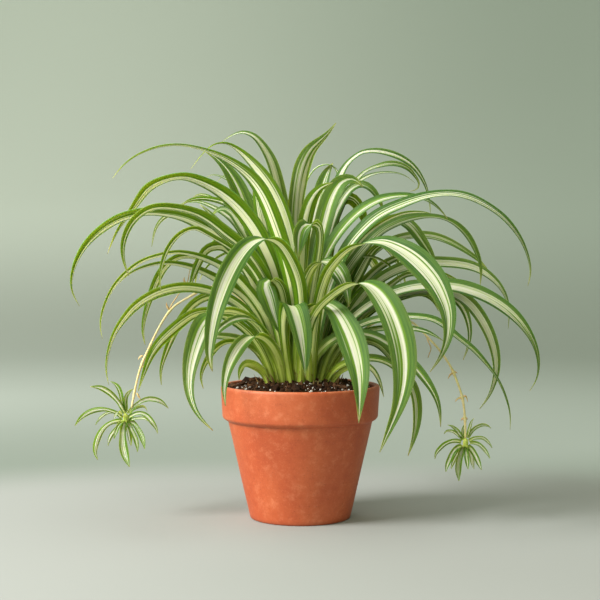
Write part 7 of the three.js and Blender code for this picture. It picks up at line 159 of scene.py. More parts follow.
PLANTLETS = {
    "plantlet_left": {
        "centre": [-165.2, 0, 94.1],
        "leaves": [
            [[-165.6,0,98.4,.79,-.02,.37],[-168.5,-.8,103.9,1.06,.05,.61],[-171.7,-1.7,109.1,1.34,.06,.95],[-175.3,-2.8,113.6,1.58,.04,1.4],[-179.2,-3.8,117.4,1.56,-.02,1.82],[-183.3,-4.8,120.4,1.26,-.1,2.07],[-187.8,-5.9,122.7,.8,-.17,1.98],[-192.1,-6.8,123.7,.26,-.19,1.4],[-197.3,-8,124.1,.01,-.06,.34]],
            [[-166.5,-0,100.3,-.69,-.16,-.15],[-167.6,1.1,105.1,-.99,-.22,-.15],[-168.7,2.5,110.2,-1.35,-.31,-.19],[-169.8,4,115,-1.68,-.43,-.32],[-171.2,5.4,118.9,-1.71,-.54,-.54],[-172.8,6.6,121.9,-1.48,-.67,-.78],[-175,7.7,124.3,-1.05,-.75,-.83],[-177.8,8.8,126.1,-.52,-.64,-.54],[-181,10,127.3,-.14,-.29,-.13]],
            [[-164.6,-0,100.3,-.62,-.19,-.03],[-165.2,1.4,103.5,-.86,-.26,.01],[-165.6,3.2,106.7,-1.13,-.31,.07],[-165.7,5.1,109.8,-1.4,-.32,.19],[-165.5,6.6,112.1,-1.48,-.21,.47],[-164.8,8.3,114.4,-1.37,-.15,.73],[-163.6,9.9,116.2,-1.11,.02,.88],[-161.8,11.9,118.1,-.68,.12,.63],[-159.7,14,119.7,-.24,.08,.24]],
            [[-161.8,-0,98.4,-.61,.1,.43],[-157.6,.6,103.6,-.78,.16,.73],[-152.9,1.4,107.7,-.86,.25,1.15],[-148.4,2,110.1,-.66,.37,1.64],[-143.4,2.8,111.3,-.24,.5,1.98],[-138.7,3.4,110.9,.31,.7,2],[-133.6,4.2,109.3,.69,.79,1.68],[-129.1,5.1,106.2,.71,.57,.98],[-125.1,6,102,.23,.16,.21]],
            [[-162.8,0,93.6,-.32,.34,.59],[-157.5,-1.4,96.8,-.32,.43,.93],[-152.8,-2.9,98.6,-.13,.44,1.32],[-149.4,-4.1,98.6,.43,.36,1.55],[-145.5,-5.5,97.1,1.06,.44,1.56],[-142,-7.2,94.3,1.6,.45,1.25],[-137.8,-9.8,89.3,1.53,.4,1.07],[-134.9,-12,85.2,1.1,.19,.45],[-133.5,-14,80.8,.35,.04,.04]],
            [[-161.9,0,91.7,0,.17,.43],[-159,-2.3,92.6,.02,.22,.59],[-156.1,-5.3,93.5,.05,.27,.78],[-153,-8.5,94.4,.08,.3,.97],[-150.2,-11.8,95.1,.15,.31,1.11],[-147.6,-15,95.4,.31,.31,1.07],[-145.5,-17.8,95.4,.41,.2,.93],[-143.4,-20.8,94.8,.32,.07,.59],[-141.3,-24,93.8,.19,.01,.3]],
            [[-162.8,0,91.7,.41,.4,.66],[-159.3,-1.4,90.1,.68,.41,.8],[-156.3,-3.3,88,1.05,.38,.9],[-153.8,-5.5,85.3,1.46,.32,.94],[-151.2,-8.1,81.8,1.9,.29,1.02],[-148.8,-11.2,78,2.07,.26,1.01],[-147.1,-14,74.5,2.01,.11,.74],[-145.8,-17,70.8,1.33,0,.37],[-145.1,-20,67.1,.35,-.02,.05]],
            [[-163.8,0,90.8,.71,.01,.37],[-161.8,-.9,87.1,.94,.05,.51],[-159.8,-2.1,83.5,1.24,.1,.66],[-157.7,-3.4,79.8,1.58,.15,.85],[-155.8,-4.7,76.3,1.81,.14,.84],[-154.5,-5.9,73.3,1.9,.05,.6],[-153.5,-7.3,69.7,1.71,-.01,.4],[-152.9,-8.7,66.3,1.1,-.05,.15],[-152.8,-10,62.8,.35,-.03,.01]],
            [[-165.6,0,90.8,1.2,-.07,-.29],[-166.8,-1.3,85.6,1.64,-.07,-.24],[-167.2,-2.8,81,2.12,-.01,-.04],[-167.1,-4.7,75.4,2.7,.04,.12],[-166.6,-6.7,70.3,3.24,.17,.43],[-165.6,-8.7,65.5,3.39,.16,.89],[-163.9,-11,60.1,3.14,-.05,1.09],[-161.9,-13.4,54.9,2.09,-.02,.87],[-159.6,-16,49.6,.32,0,.15]],
            [[-168.5,0,90.8,.06,-.13,.86],[-175,-1.4,90.3,-.21,-.13,1.18],[-180.1,-2.9,88.5,-.7,-.23,1.38],[-184.5,-4.7,85,-1.27,-.5,1.41],[-187.9,-6.7,80.1,-1.88,-.79,1.28],[-190.4,-9.2,73.7,-2.14,-1.1,.99],[-191.8,-11.8,66.7,-1.79,-1.32,.64],[-191.3,-13.9,61.3,-1.19,-.92,.06],[-189,-16,56.2,-.27,-.21,-.08]],
            [[-168.5,0,93.6,.56,-.09,.49],[-173.1,-.3,97.8,.57,-.07,.84],[-178.6,-.7,100.5,.42,-.08,1.27],[-185.1,-1.2,101.8,.15,-.14,1.72],[-191.4,-1.7,101.5,-.34,-.23,2.08],[-197.8,-2.2,99.7,-.82,-.57,2.04],[-203.9,-2.8,96.2,-1.06,-.78,1.63],[-208.8,-3.4,91.8,-.9,-.54,.85],[-212.3,-4,86.6,-.28,-.14,.15]],
            [[-169.4,-0,95.5,.2,-.21,.33],[-172.6,.9,97.5,.15,-.22,.49],[-175.8,2,98.5,.02,-.21,.68],[-179.6,3.4,98.5,-.16,-.18,.84],[-182.8,4.6,97.7,-.45,-.13,.93],[-186.6,6.3,95.6,-.67,-.18,.88],[-189.9,8.1,92.9,-.79,-.16,.71],[-192.8,10,89.4,-.61,-.08,.41],[-195.3,12,85.5,-.31,-.03,.16]],
            [[-168.5,0,96.5,.32,.15,.25],[-169.6,-1.2,98.4,.4,.08,.37],[-170.6,-2.7,99.5,.49,-.07,.44],[-171.4,-4.5,99.9,.66,-.26,.33],[-172.1,-6.3,99.6,.85,-.29,.01],[-172.8,-8.6,98.4,.99,-.18,-.11],[-173.3,-11.5,96.5,.98,-.09,-.06],[-173.6,-14.8,94.6,.68,-.02,-.01],[-173.6,-18,93,.35,.01,.01]],
            [[-167.5,.1,90.8,.51,-.29,-.29],[-169.1,-1.7,89.4,.72,-.26,-.34],[-170.2,-3.8,88,.96,-.19,-.37],[-171.2,-6.4,86.4,1.19,-.12,-.38],[-171.9,-9.1,84.6,1.45,-.03,-.38],[-172.3,-12.1,82.6,1.57,-.01,-.31],[-172.7,-15.3,80.6,1.47,-.04,-.15],[-172.9,-18.6,78.7,.99,-.03,-.06],[-173.1,-22,76.7,.35,-.01,-.02]],
            [[-163.7,-0,98.4,-.25,.03,.39],[-160.6,2.3,100.2,-.36,.05,.57],[-157.6,5,101.7,-.43,.11,.77],[-154.4,7.8,102.8,-.46,.19,.97],[-151.9,10.2,103.3,-.32,.24,1.07],[-150,12.3,103.1,-.14,.37,1.01],[-148.8,14,102.3,.08,.53,.81],[-147.7,15.9,100.6,.15,.46,.47],[-146.8,18,97.7,.11,.26,.2]],
            [[-164.7,-0,91.7,-.71,-.01,-.15],[-164.1,1.3,88.5,-.94,-.01,-.17],[-163.6,3,85.3,-1.21,-.02,-.19],[-163.1,5,81.8,-1.48,-.03,-.21],[-162.7,7.1,78.4,-1.76,-.05,-.21],[-162.4,9.2,75,-1.82,-.07,-.18],[-162.2,11.4,71.6,-1.66,-.09,-.13],[-162.1,13.7,68.2,-1.09,-.07,-.07],[-162,16,64.8,-.35,-.03,-.02]],
            [[-167.5,-0,91.7,-.55,-.09,.35],[-170,1.5,88.3,-.73,-.13,.49],[-172.7,3.4,84.9,-.96,-.18,.66],[-175.6,5.6,81.5,-1.18,-.24,.85],[-178.3,7.7,78.2,-1.39,-.24,.9],[-180.3,9.7,75.2,-1.51,-.15,.76],[-182,11.8,71.8,-1.4,-.08,.56],[-183.3,13.9,68.4,-.92,-.01,.27],[-184.1,16,64.8,-.34,.01,.06]],
        ],
    },
    "plantlet_right": {
        "centre": [153.8, -20, 73.2],
        "leaves": [
            [[151.4,-20,75.5,-.52,-.05,-.23],[150.2,-19.4,78.1,-.68,-.08,-.34],[148.8,-18.7,80.5,-.85,-.08,-.51],[147.2,-17.9,82.8,-1.01,-.14,-.71],[145.6,-17.1,84.7,-.99,-.16,-.9],[143.8,-16.3,86.2,-.84,-.28,-.97],[141.9,-15.6,87.5,-.6,-.4,-.86],[139.8,-14.8,88.3,-.3,-.4,-.49],[137.6,-14,88.8,-.12,-.28,-.17]],
            [[152.4,-20,77.4,-.42,-.15,-.13],[151.7,-19.1,79.2,-.55,-.14,-.06],[151.5,-18,80.8,-.7,-.11,.06],[151.6,-16.6,82.7,-.84,-.05,.18],[152.1,-15,84.6,-.98,.04,.31],[152.9,-13.5,86.1,-.96,.17,.44],[154.1,-11.7,88,-.9,.13,.38],[155,-9.9,89.9,-.6,.05,.2],[155.6,-8,91.8,-.34,0,.09]],
            [[155.2,-20,78.3,.42,.03,-.18],[156,-20.3,80.5,.57,.03,-.18],[156.7,-20.8,83,.74,.03,-.17],[157.2,-21.4,85.7,.95,.04,-.18],[157.8,-22,88.6,1.05,.05,-.2],[158.4,-22.6,91.2,.97,.06,-.24],[159.1,-23.1,93.3,.72,.08,-.28],[159.9,-23.6,94.8,.39,.08,-.25],[161.1,-24,96.1,.24,.09,-.23]],
            [[156.1,-20,77.4,-.53,.12,.18],[157.8,-19.2,80.9,-.66,.18,.37],[160.3,-18.2,84,-.75,.26,.65],[163.3,-17.2,86.4,-.74,.32,1.01],[166.9,-16,88.1,-.59,.44,1.23],[170.2,-15,88.9,-.24,.55,1.27],[173.3,-14,88.5,.08,.57,1.07],[176.3,-13,87.3,.22,.42,.6],[178.6,-12,85.2,.16,.21,.22]],
            [[157,-20,74.6,-.23,.28,.41],[160.1,-20.7,76.5,-.22,.34,.61],[162.8,-21.5,77.5,-.08,.36,.84],[166.3,-22.6,77.9,.09,.4,1.1],[169.1,-23.5,77.8,.4,.34,1.21],[171.1,-24.3,76.9,.78,.22,1.07],[173.6,-25.4,74.8,.9,.13,.83],[175.7,-26.7,72.2,.69,.05,.44],[177.4,-28,69.2,.32,.01,.14]],
            [[158,-20,72.7,.04,.34,.5],[160.9,-21.2,73,.17,.35,.66],[163.5,-22.8,72.8,.37,.32,.84],[165.5,-24.2,72.1,.65,.19,.92],[167.6,-26,70.6,.96,.08,.99],[169.8,-28.3,68.4,1.16,.1,.94],[171.6,-30.7,66,1.17,.03,.77],[173.2,-33.3,63.4,.83,-.03,.46],[174.5,-36,60.6,.32,-.02,.15]],
            [[156.1,-20,69.9,.57,.01,.65],[158.2,-21.1,67.9,.8,.01,.75],[159.9,-22.4,65.9,1.09,-0,.83],[161.4,-23.9,63.6,1.42,-.08,.91],[162.7,-25.6,61.1,1.78,-.18,.96],[163.9,-27.5,58.4,1.91,-.24,.93],[165,-29.6,55.5,1.77,-.24,.81],[166,-31.7,52.6,1.19,-.17,.52],[166.9,-34,49.7,.32,-.05,.14]],
            [[154.3,-20,69,.72,-.19,.06],[154.1,-21.6,66.6,.93,-.22,.12],[154,-23.6,64.4,1.17,-.24,.2],[154,-26.1,62,1.44,-.27,.28],[154,-28.7,59.8,1.71,-.26,.38],[154.1,-31.5,57.5,1.78,-.27,.39],[154.1,-34.2,55.3,1.61,-.28,.33],[154,-37.1,53.2,1.05,-.2,.2],[153.8,-40,51.1,.34,-.07,.06]],
            [[152.4,-20,69,.88,-.27,-.4],[150.7,-20.8,65.4,1.19,-.35,-.43],[149.3,-21.8,61.9,1.58,-.44,-.42],[148.2,-23,58.2,2.04,-.51,-.37],[147.3,-24.3,54.4,2.43,-.56,-.28],[146.7,-25.5,50.8,2.53,-.49,-.05],[146.5,-27,46.8,2.33,-.41,.08],[146.5,-28.5,42.8,1.52,-.24,.13],[146.7,-30,38.8,.34,-.05,.05]],
            [[150.5,-20,69.9,.3,-.69,-.43],[147.3,-21,68.9,.55,-.65,-.67],[144.6,-22.4,67.4,.91,-.56,-.81],[142.4,-24,65.4,1.35,-.51,-.81],[140.5,-25.8,62.7,1.82,-.57,-.68],[138.5,-28.3,58.9,2.03,-.67,-.62],[136.5,-30.9,55.2,1.9,-.73,-.41],[135,-33.4,51.7,1.28,-.49,-.1],[134,-36,48.2,.33,-.11,.01]],
            [[149.6,-20,73.6,.24,-.08,.67],[145.6,-20.5,74.6,.11,-.05,.93],[141.6,-21.1,74.6,-.16,-.03,1.2],[137.6,-21.8,73.5,-.53,-.11,1.45],[133.9,-22.6,71.6,-.97,-.2,1.51],[130.3,-23.5,68.6,-1.22,-.25,1.35],[127.1,-24.5,65.2,-1.2,-.24,.95],[125.5,-25.2,62.2,-.91,-.19,.36],[124.9,-26,58.7,-.34,-.07,.03]],
            [[150.5,-20,75.5,.26,-.28,.3],[148.7,-18.5,78.1,.36,-.26,.5],[146.6,-16.5,80.2,.41,-.25,.75],[144.2,-14.4,81.9,.39,-.21,1.02],[142,-12.6,82.8,.14,-.11,1.17],[139.5,-10.6,82.8,-.16,-.09,1.11],[137.4,-8.8,82.4,-.37,.01,.82],[136.2,-7.6,81.4,-.41,.14,.45],[135.2,-6,79.3,-.28,.12,.18]],
            [[155.2,-20,69.9,-.61,.2,-.33],[156.8,-18.9,67.3,-.83,.25,-.34],[158.1,-17.5,64.7,-1.09,.3,-.32],[159.2,-15.9,61.9,-1.37,.31,-.29],[160.1,-14.1,58.9,-1.67,.32,-.24],[160.9,-12.1,55.6,-1.76,.31,-.21],[161.6,-10.1,52.4,-1.59,.31,-.22],[162.5,-8.1,49.2,-1.03,.22,-.17],[163.6,-6,46.2,-.33,.08,-.07]],
            [[151.5,-20,69.9,-.52,.14,.39],[149.8,-18.8,67.2,-.7,.17,.49],[148.3,-17.3,64.4,-.92,.2,.6],[146.8,-15.5,61.4,-1.16,.26,.7],[145.5,-13.7,58.4,-1.38,.32,.77],[144.3,-11.8,55.4,-1.43,.36,.74],[143.3,-9.9,52.4,-1.31,.36,.61],[142.5,-8,49.3,-.86,.26,.36],[141.9,-6,46.2,-.31,.1,.12]],
        ],
    },
}

# ------------------------------------------------------------------ helpers
def obj_from(name, verts, faces, smooth=True):
    me = bpy.data.meshes.new(name)
    verts = np.asarray(verts, dtype=np.float64)
    me.from_pydata(verts.tolist(), [], [tuple(int(i) for i in f) for f in faces])
    me.update()
    if smooth:
        me.polygons.foreach_set("use_smooth", np.ones(len(me.polygons), dtype=bool))
    ob = bpy.data.objects.new(name, me)
    bpy.context.scene.collection.objects.link(ob)
    return ob

def attr3(ob, name, data):
    a = ob.data.attributes.new(name, "FLOAT_VECTOR", "POINT")
    a.data.foreach_set("vector", np.asarray(data, dtype=np.float32).ravel())

def sharp_margins(ob):
    """The upper and under side of a blade meet at a crease, not in a round edge."""
    me = ob.data
    a = np.empty(len(me.vertices) * 3, np.float32); me.attributes["lfa"].data.foreach_get("vector", a)
    on = np.abs(a[::3]) > 0.999
    e = np.empty(len(me.edges) * 2, np.int32); me.edges.foreach_get("vertices", e); e = e.reshape(-1, 2)
    me.edges.foreach_set("use_edge_sharp", on[e[:, 0]] & on[e[:, 1]])

def spline(table, n):
    """Natural cubic through the stations at n places spread along the length."""
    p = np.asarray(table, dtype=float)
    d = np.r_[0, np.cumsum(np.linalg.norm(np.diff(p[:, :3], axis=0), axis=1))]
    m = len(p); h = np.diff(d)
    A = np.eye(m); rhs = np.zeros_like(p)
    for i in range(1, m - 1):
        A[i, i - 1], A[i, i], A[i, i + 1] = h[i - 1], 2 * (h[i - 1] + h[i]), h[i]
        rhs[i] = 6 * ((p[i + 1] - p[i]) / h[i] - (p[i] - p[i - 1]) / h[i - 1])
    M = np.linalg.solve(A, rhs)
    q = np.linspace(0, d[-1], n) if np.isscalar(n) else np.asarray(n) * d[-1]
    k = np.clip(np.searchsorted(d, q, side="right") - 1, 0, m - 2)
    t0, t1, hh = (q - d[k])[:, None], (d[k + 1] - q)[:, None], h[k][:, None]
    out = (M[k] * t1**3 + M[k + 1] * t0**3) / (6 * hh) + (p[k] / hh - M[k] * hh / 6) * t1 + (p[k + 1] / hh - M[k + 1] * hh / 6) * t0
    return out, q

def smoothstep(a, b, x):
    t = np.clip((x - a) / (b - a), 0, 1)
    return t * t * (3 - 2 * t)

def leaf_arrays(table, rng, rows=64, cols=10, thick=0.55, fold=0.34, hw=None, tone=None, seed=None, base=0.42, reach=26.0, widen=1.08, flip=False):
    """One closed blade: channelled along the midrib, with softly waved edges."""
    s = np.linspace(0, 1, rows)
    st, arc = spline(table, s)
    mid, half = st[:, :3], st[:, 3:]
    T = np.gradient(mid, axis=0); T /= np.linalg.norm(T, axis=1)[:, None]
    w = np.linalg.norm(half, axis=1) * widen * (1 + base * np.exp(-(arc / reach) ** 2)) * (1 - 0.22 * s ** 5)
    side = half / w[:, None]; side -= (side * T).sum(1)[:, None] * T; side /= np.linalg.norm(side, axis=1)[:, None]
    up = np.cross(T, side)
    L = arc[-1]
    seed = rng.uniform(0, 100) if seed is None else seed
    tone = rng.uniform(-1, 1) if tone is None else tone
    hw = rng.uniform(0.29, 0.43) if hw is None else hw
    # stronger fold near the base and again slightly towards the tip
    fo = fold * (0.75 + 1.3 * np.exp(-arc / 38.0) + 0.25 * s**2)
    u = np.linspace(-1, 1, cols + 1)
    cs = np.abs(u)
    prof = (cs**1.25) - 0.42
    ph = rng.uniform(0, 6.28, 4)
    wav = 0.05 * np.sin(arc / 17.0 + ph[0]) + 0.035 * np.sin(arc / 7.3 + ph[1])
    wav2 = 0.05 * np.sin(arc / 15.0 + ph[2]) + 0.035 * np.sin(arc / 8.1 + ph[3])
    top = np.zeros((rows, cols + 1, 3)); bot = np.zeros_like(top)
    A = np.zeros((rows, cols + 1, 3)); B = np.zeros_like(A)
    hw = -hw if flip else hw  # which face is the upper one
    for j, uu in enumerate(u):
        ca = np.cos(np.minimum(fo, 1.1) * 0.6)
        x = uu * w * ca
        z = w * np.sin(np.minimum(fo, 1.1)) * prof[j] + w * (wav if uu > 0 else wav2) * max(0, abs(uu) - 0.35)
        th = thick * (0.5 + 0.75 * (1 - abs(uu))) * np.clip(w / 2.5, 0.25, 1)
        p = mid + side * x[:, None] + up * z[:, None]
        if j in (0, cols):
            top[:, j] = p; bot[:, j] = p
        else:
            top[:, j] = p + up * (th / 2)[:, None]; bot[:, j] = p - up * (th / 2)[:, None]
        A[:, j] = np.stack([np.full(rows, uu), s, np.full(rows, hw)], 1)
        B[:, j] = np.stack([arc, np.full(rows, tone), np.full(rows, seed)], 1)
    n = cols + 1
    V = [top.reshape(-1, 3)]; a1 = [A.reshape(-1, 3)]; b1 = [B.reshape(-1, 3)]
    inner = list(range(1, cols))
    Bi = bot[:, 1:cols].reshape(-1, 3)
    Ab = A[:, 1:cols].copy(); Ab[:, :, 2] *= -1
    V.append(Bi); a1.append(Ab.reshape(-1, 3)); b1.append(B[:, 1:cols].reshape(-1, 3))
    off = rows * n; m = cols - 1
    def t(i, j): return i * n + j
    def b(i, j): return t(i, j) if j in (0, cols) else off + i * m + (j - 1)
    F = []
    for i in range(rows - 1):
        for j in range(cols):
            F.append((t(i, j), t(i + 1, j), t(i + 1, j + 1), t(i, j + 1)))
            F.append((b(i, j), b(i, j + 1), b(i + 1, j + 1), b(i + 1, j)))
    for i, flip in ((0, False), (rows - 1, True)):
        for j in range(cols):
            q = [t(i, j), t(i, j + 1), b(i, j + 1), b(i, j)]
            q = list(dict.fromkeys(q))
            if flip: q = q[::-1]
            if len(q) > 2: F.append(tuple(q))
    return np.concatenate(V) * MM, F, np.concatenate(a1), np.concatenate(b1)

def tube_arrays(points, radii, sides=10, caps=True):
    P = np.asarray(points, float); n = len(P)
    T = np.gradient(P, axis=0); T /= np.linalg.norm(T, axis=1)[:, None]
    ref = np.array([0.3, 1.0, 0.2]); V = []
    for i in range(n):
        a = ref - (ref @ T[i]) * T[i]; a /= np.linalg.norm(a); ref = a
        b = np.cross(T[i], a)
        for k in range(sides):
            g = 2 * math.pi * k / sides
            V.append(P[i] + radii[i] * (a * math.cos(g) + b * math.sin(g)))
    F = []
    for i in range(n - 1):
        for k in range(sides):
            k2 = (k + 1) % sides
            F.append((i * sides + k, i * sides + k2, (i + 1) * sides + k2, (i + 1) * sides + k))
    if caps:
        F.append(tuple(range(sides))[::-1]); F.append(tuple((n - 1) * sides + k for k in range(sides)))
    return np.array(V), F

def join_arrays(parts):
    V, F, n = [], [], 0
    for v, f in parts:
        V.append(v); F += [tuple(i + n for i in q) for q in f]; n += len(v)
    return np.concatenate(V), F

# ------------------------------------------------------------------ materials
class Nodes:
    def __init__(self, name):
        self.mat = bpy.data.materials.new(name)
        self.mat.use_nodes = True
        self.t = self.mat.node_tree
        self.t.nodes.clear()
        self.out = self.t.nodes.new("ShaderNodeOutputMaterial")
        self.p = self.t.nodes.new("ShaderNodeBsdfPrincipled")
        self.t.links.new(self.p.outputs[0], self.out.inputs[0])
    def new(self, kind, **kw):
        n = self.t.nodes.new(kind)
        for k, v in kw.items(): setattr(n, k, v)
        return n
    def link(self, a, b): self.t.links.new(a, b)
    def put(self, sock, v):
        if isinstance(v, (int, float)): sock.default_value = v
        elif isinstance(v, (tuple, list)): sock.default_value = (*v, 1.0)[: len(sock.default_value)] if len(v) == 3 and len(sock.default_value) == 4 else v
        else: self.link(v, sock)
    def math(self, op, a, b=0.0, c=0.0, clamp=False):
        n = self.new("ShaderNodeMath", operation=op, use_clamp=clamp)
        for s, v in zip(n.inputs, (a, b, c)): self.put(s, v)
        return n.outputs[0]
    def mix(self, f, a, b, blend="MIX"):
        n = self.new("ShaderNodeMix", data_type="RGBA", blend_type=blend)
        self.put(n.inputs[0], f); self.put(n.inputs[6], a); self.put(n.inputs[7], b)
        return n.outputs[2]
    def step(self, x, lo, hi):
        n = self.new("ShaderNodeMapRange", interpolation_type="SMOOTHSTEP")
        self.put(n.inputs[0], x); n.inputs[1].default_value = lo; n.inputs[2].default_value = hi
        return n.outputs[0]
    def noise(self, vec, scale, detail=3.0, rough=0.55, dist=0.0):
        n = self.new("ShaderNodeTexNoise")
        if vec is not None: self.link(vec, n.inputs["Vector"])
        n.inputs["Scale"].default_value = scale; n.inputs["Detail"].default_value = detail
        n.inputs["Roughness"].default_value = rough; n.inputs["Distortion"].default_value = dist
        return n.outputs[0]
    def attr(self, name):
        n = self.new("ShaderNodeAttribute", attribute_name=name)
        s = self.new("ShaderNodeSeparateXYZ"); self.link(n.outputs["Vector"], s.inputs[0])
        return s.outputs
    def vec(self, x, y, z):
        n = self.new("ShaderNodeCombineXYZ")
        for s, v in zip(n.inputs, (x, y, z)): self.put(s, v)
        return n.outputs[0]
    def bump(self, h, strength, dist, normal=None):
        n = self.new("ShaderNodeBump"); n.inputs["Strength"].default_value = strength
        n.inputs["Distance"].default_value = dist; self.link(h, n.inputs["Height"])
        if normal is not None: self.link(normal, n.inputs["Normal"])
        return n.outputs[0]

def leaf_material(name, base_pale=1.0, fresh=0.0):
    m = Nodes(name)
    u, s, hw = m.attr("lfa"); arc, tone, seed = m.attr("lfb")
    a = m.math("ABSOLUTE", u)
    top = m.step(hw, -0.02, 0.02)
    hwa = m.math("MULTIPLY", m.math("ABSOLUTE", hw), m.math("SUBTRACT", 1.0, m.math("MULTIPLY", m.step(s, 0.72, 0.99), 0.75)))
    # slow wander of the stripe's edge, and fine streaks that run along the blade
    slow = m.noise(m.vec(m.math("MULTIPLY", arc, 0.010), seed, m.math("MULTIPLY", u, 0.6)), 1.0, 2.0)
    streak = m.noise(m.vec(m.math("MULTIPLY", u, 7.5), m.math("MULTIPLY", arc, 0.006), seed), 1.0, 3.0, 0.62)
    streak2 = m.noise(m.vec(m.math("MULTIPLY", u, 11.0), m.math("MULTIPLY", arc, 0.0035), m.math("ADD", seed, 31.0)), 1.0, 2.0, 0.5)
    band = m.noise(m.vec(m.math("MULTIPLY", u, 5.6), m.math("MULTIPLY", arc, 0.0016), m.math("ADD", seed, 77.0)), 1.0, 0.0, 0.5)
    edge = m.math("ADD", m.math("SUBTRACT", a, hwa), m.math("MULTIPLY", m.math("SUBTRACT", slow, 0.5), 0.34))
    edge = m.math("ADD", edge, m.math("MULTIPLY", m.math("SUBTRACT", band, 0.5), 1.30))
    edge = m.math("ADD", edge, m.math("MULTIPLY", m.math("SUBTRACT", streak2, 0.5), 0.30))
    edge = m.math("ADD", edge, m.math("MULTIPLY", m.math("SUBTRACT", streak, 0.5), 0.25))
    green = m.step(edge, -0.065, 0.065)
    # two or three thin green lines inside the pale stripe
    line = m.step(streak2, 0.46, 0.62)
    near = m.step(m.math("DIVIDE", a, hwa), 0.25, 0.9)
    line = m.math("MULTIPLY", line, m.math("ADD", 0.22, m.math("MULTIPLY", near, 0.38)))
    cream = m.mix(m.step(streak, 0.35, 0.7), CREAM_A, CREAM_B)
    cream = m.mix(line, cream, LINE_G)
    # painted light: towards the crown the pale stripe turns yellow-green, the tint of light filtered through the leaves
    # in the shaded interior
    crown_light_tint = m.math("MULTIPLY", m.step(arc, 120.0, 25.0), 0.50)
    cream = m.mix(crown_light_tint, cream, CROWN_LIGHT_TINT)
    gtone = m.math("ADD", m.math("MULTIPLY", tone, 0.22), m.step(streak, 0.3, 0.72))
    grn = m.mix(m.math("MULTIPLY", gtone, 1.0, clamp=True), GREEN_D, GREEN_L)
    # greener right at the margin, slightly yellow towards the stripe
    grn = m.mix(m.math("MULTIPLY", m.step(m.math("SUBTRACT", a, hwa), 0.2, -0.02), 0.35), grn, GREEN_Y)
    if fresh:  # the youngest plants: a livelier green
        grn = m.mix(fresh, grn, FRESH)
    # darker margin: partly the blade's own dark edge, partly painted shade that holds down the light its thin edges
    # catch
    rim_shade = m.math("MULTIPLY", m.step(a, 0.74, 0.97), 0.60 - 0.4 * fresh)
    grn = m.mix(rim_shade, grn, RIM_SHADE)
    col = m.mix(green, cream, grn)
    # underside: duller, yellower. Its pale stripe is painted much brighter than the upper side's: painted light
    # standing in for light that shines through the thin blade.
    low = m.mix(m.step(streak, 0.32, 0.68), UNDER_D, UNDER_G)
    # on the underside the same painted yellow-green light tint reaches further out from the crown
    under = m.mix(green, m.mix(m.math("MULTIPLY", m.step(arc, 230.0, 30.0), 0.65), UNDER_CREAM_BACKLIT, CROWN_LIGHT_TINT), m.mix(rim_shade, low, RIM_SHADE))
    under = m.mix(m.math("MULTIPLY", line, 0.7), under, UNDER_G)
    col = m.mix(m.math("MULTIPLY", m.math("SUBTRACT", 1.0, top), 0.80), col, under)
    # pale sheath at the base
    basef = m.math("MULTIPLY", m.step(arc, 62.0, 6.0), m.math("SUBTRACT", 0.80 * base_pale, m.math("MULTIPLY", m.step(a, 0.45, 0.95), 0.42 * base_pale)))
    col = m.mix(basef, col, m.mix(m.step(streak, 0.4, 0.65), BASE_A, BASE_B))
    spots = m.noise(m.vec(m.math("MULTIPLY", u, 1.6), m.math("MULTIPLY", arc, 0.12), seed), 1.0, 3.0)
    brown = m.math("MULTIPLY", m.step(spots, 0.61, 0.69), m.step(arc, 44.0, 12.0))
    col = m.mix(m.math("MULTIPLY", brown, 0.7), col, BROWN)
    # tips turn yellow, then tan
    tipn = m.math("ADD", s, m.math("MULTIPLY", m.math("SUBTRACT", slow, 0.5), 0.10))
    col = m.mix(m.math("MULTIPLY", m.step(tipn, 0.94, 1.0), 0.35), col, TIP_Y)
    col = m.mix(m.math("MULTIPLY", m.step(tipn, 0.985, 1.005), 0.65), col, TIP_B)
    m.put(m.p.inputs["Base Color"], col)
    m.put(m.p.inputs["Roughness"], m.math("ADD", 0.48, m.math("MULTIPLY", streak, 0.16)))
    m.p.inputs["Specular IOR Level"].default_value = 0.12
    m.p.inputs["Subsurface Weight"].default_value = 0.62
    m.p.inputs["Subsurface Radius"].default_value = (1.0, 1.0, 0.55)
    m.p.inputs["Subsurface Scale"].default_value = 0.0028
    h = m.math("ADD", m.math("MULTIPLY", streak2, 0.6), m.math("MULTIPLY", streak, 0.4))
    m.put(m.p.inputs["Normal"], m.bump(h, 0.35, 0.0006))
    return m.mat

CREAM_A, CREAM_B = (0.49, 0.52, 0.36), (0.62, 0.62, 0.54)
LINE_G = (0.105, 0.235, 0.008)
GREEN_D, GREEN_L, GREEN_Y = (0.029, 0.087, 0.018), (0.084, 0.177, 0.031), (0.20, 0.36, 0.008)
# the underside stripe colour carries painted light: far paler than the upper side's cream, for light shining through
# the blade
UNDER_CREAM_BACKLIT, UNDER_G, UNDER_D = (0.92, 0.94, 0.66), (0.104, 0.232, 0.001), (0.036, 0.106, 0.001)
FRESH = (0.058, 0.180, 0.003)
# the margin colour is partly the leaf's dark edge and partly painted shade
# the yellow-green towards the crown is painted light: the colour of light filtered through the shaded crown
CROWN_LIGHT_TINT, RIM_SHADE = (0.56, 0.68, 0.10), (0.014, 0.050, 0.004)
BASE_A, BASE_B = (0.37, 0.53, 0.020), (0.68, 0.78, 0.19)
BROWN, TIP_Y, TIP_B = (0.20, 0.105, 0.035), (0.40, 0.43, 0.06), (0.36, 0.25, 0.06)

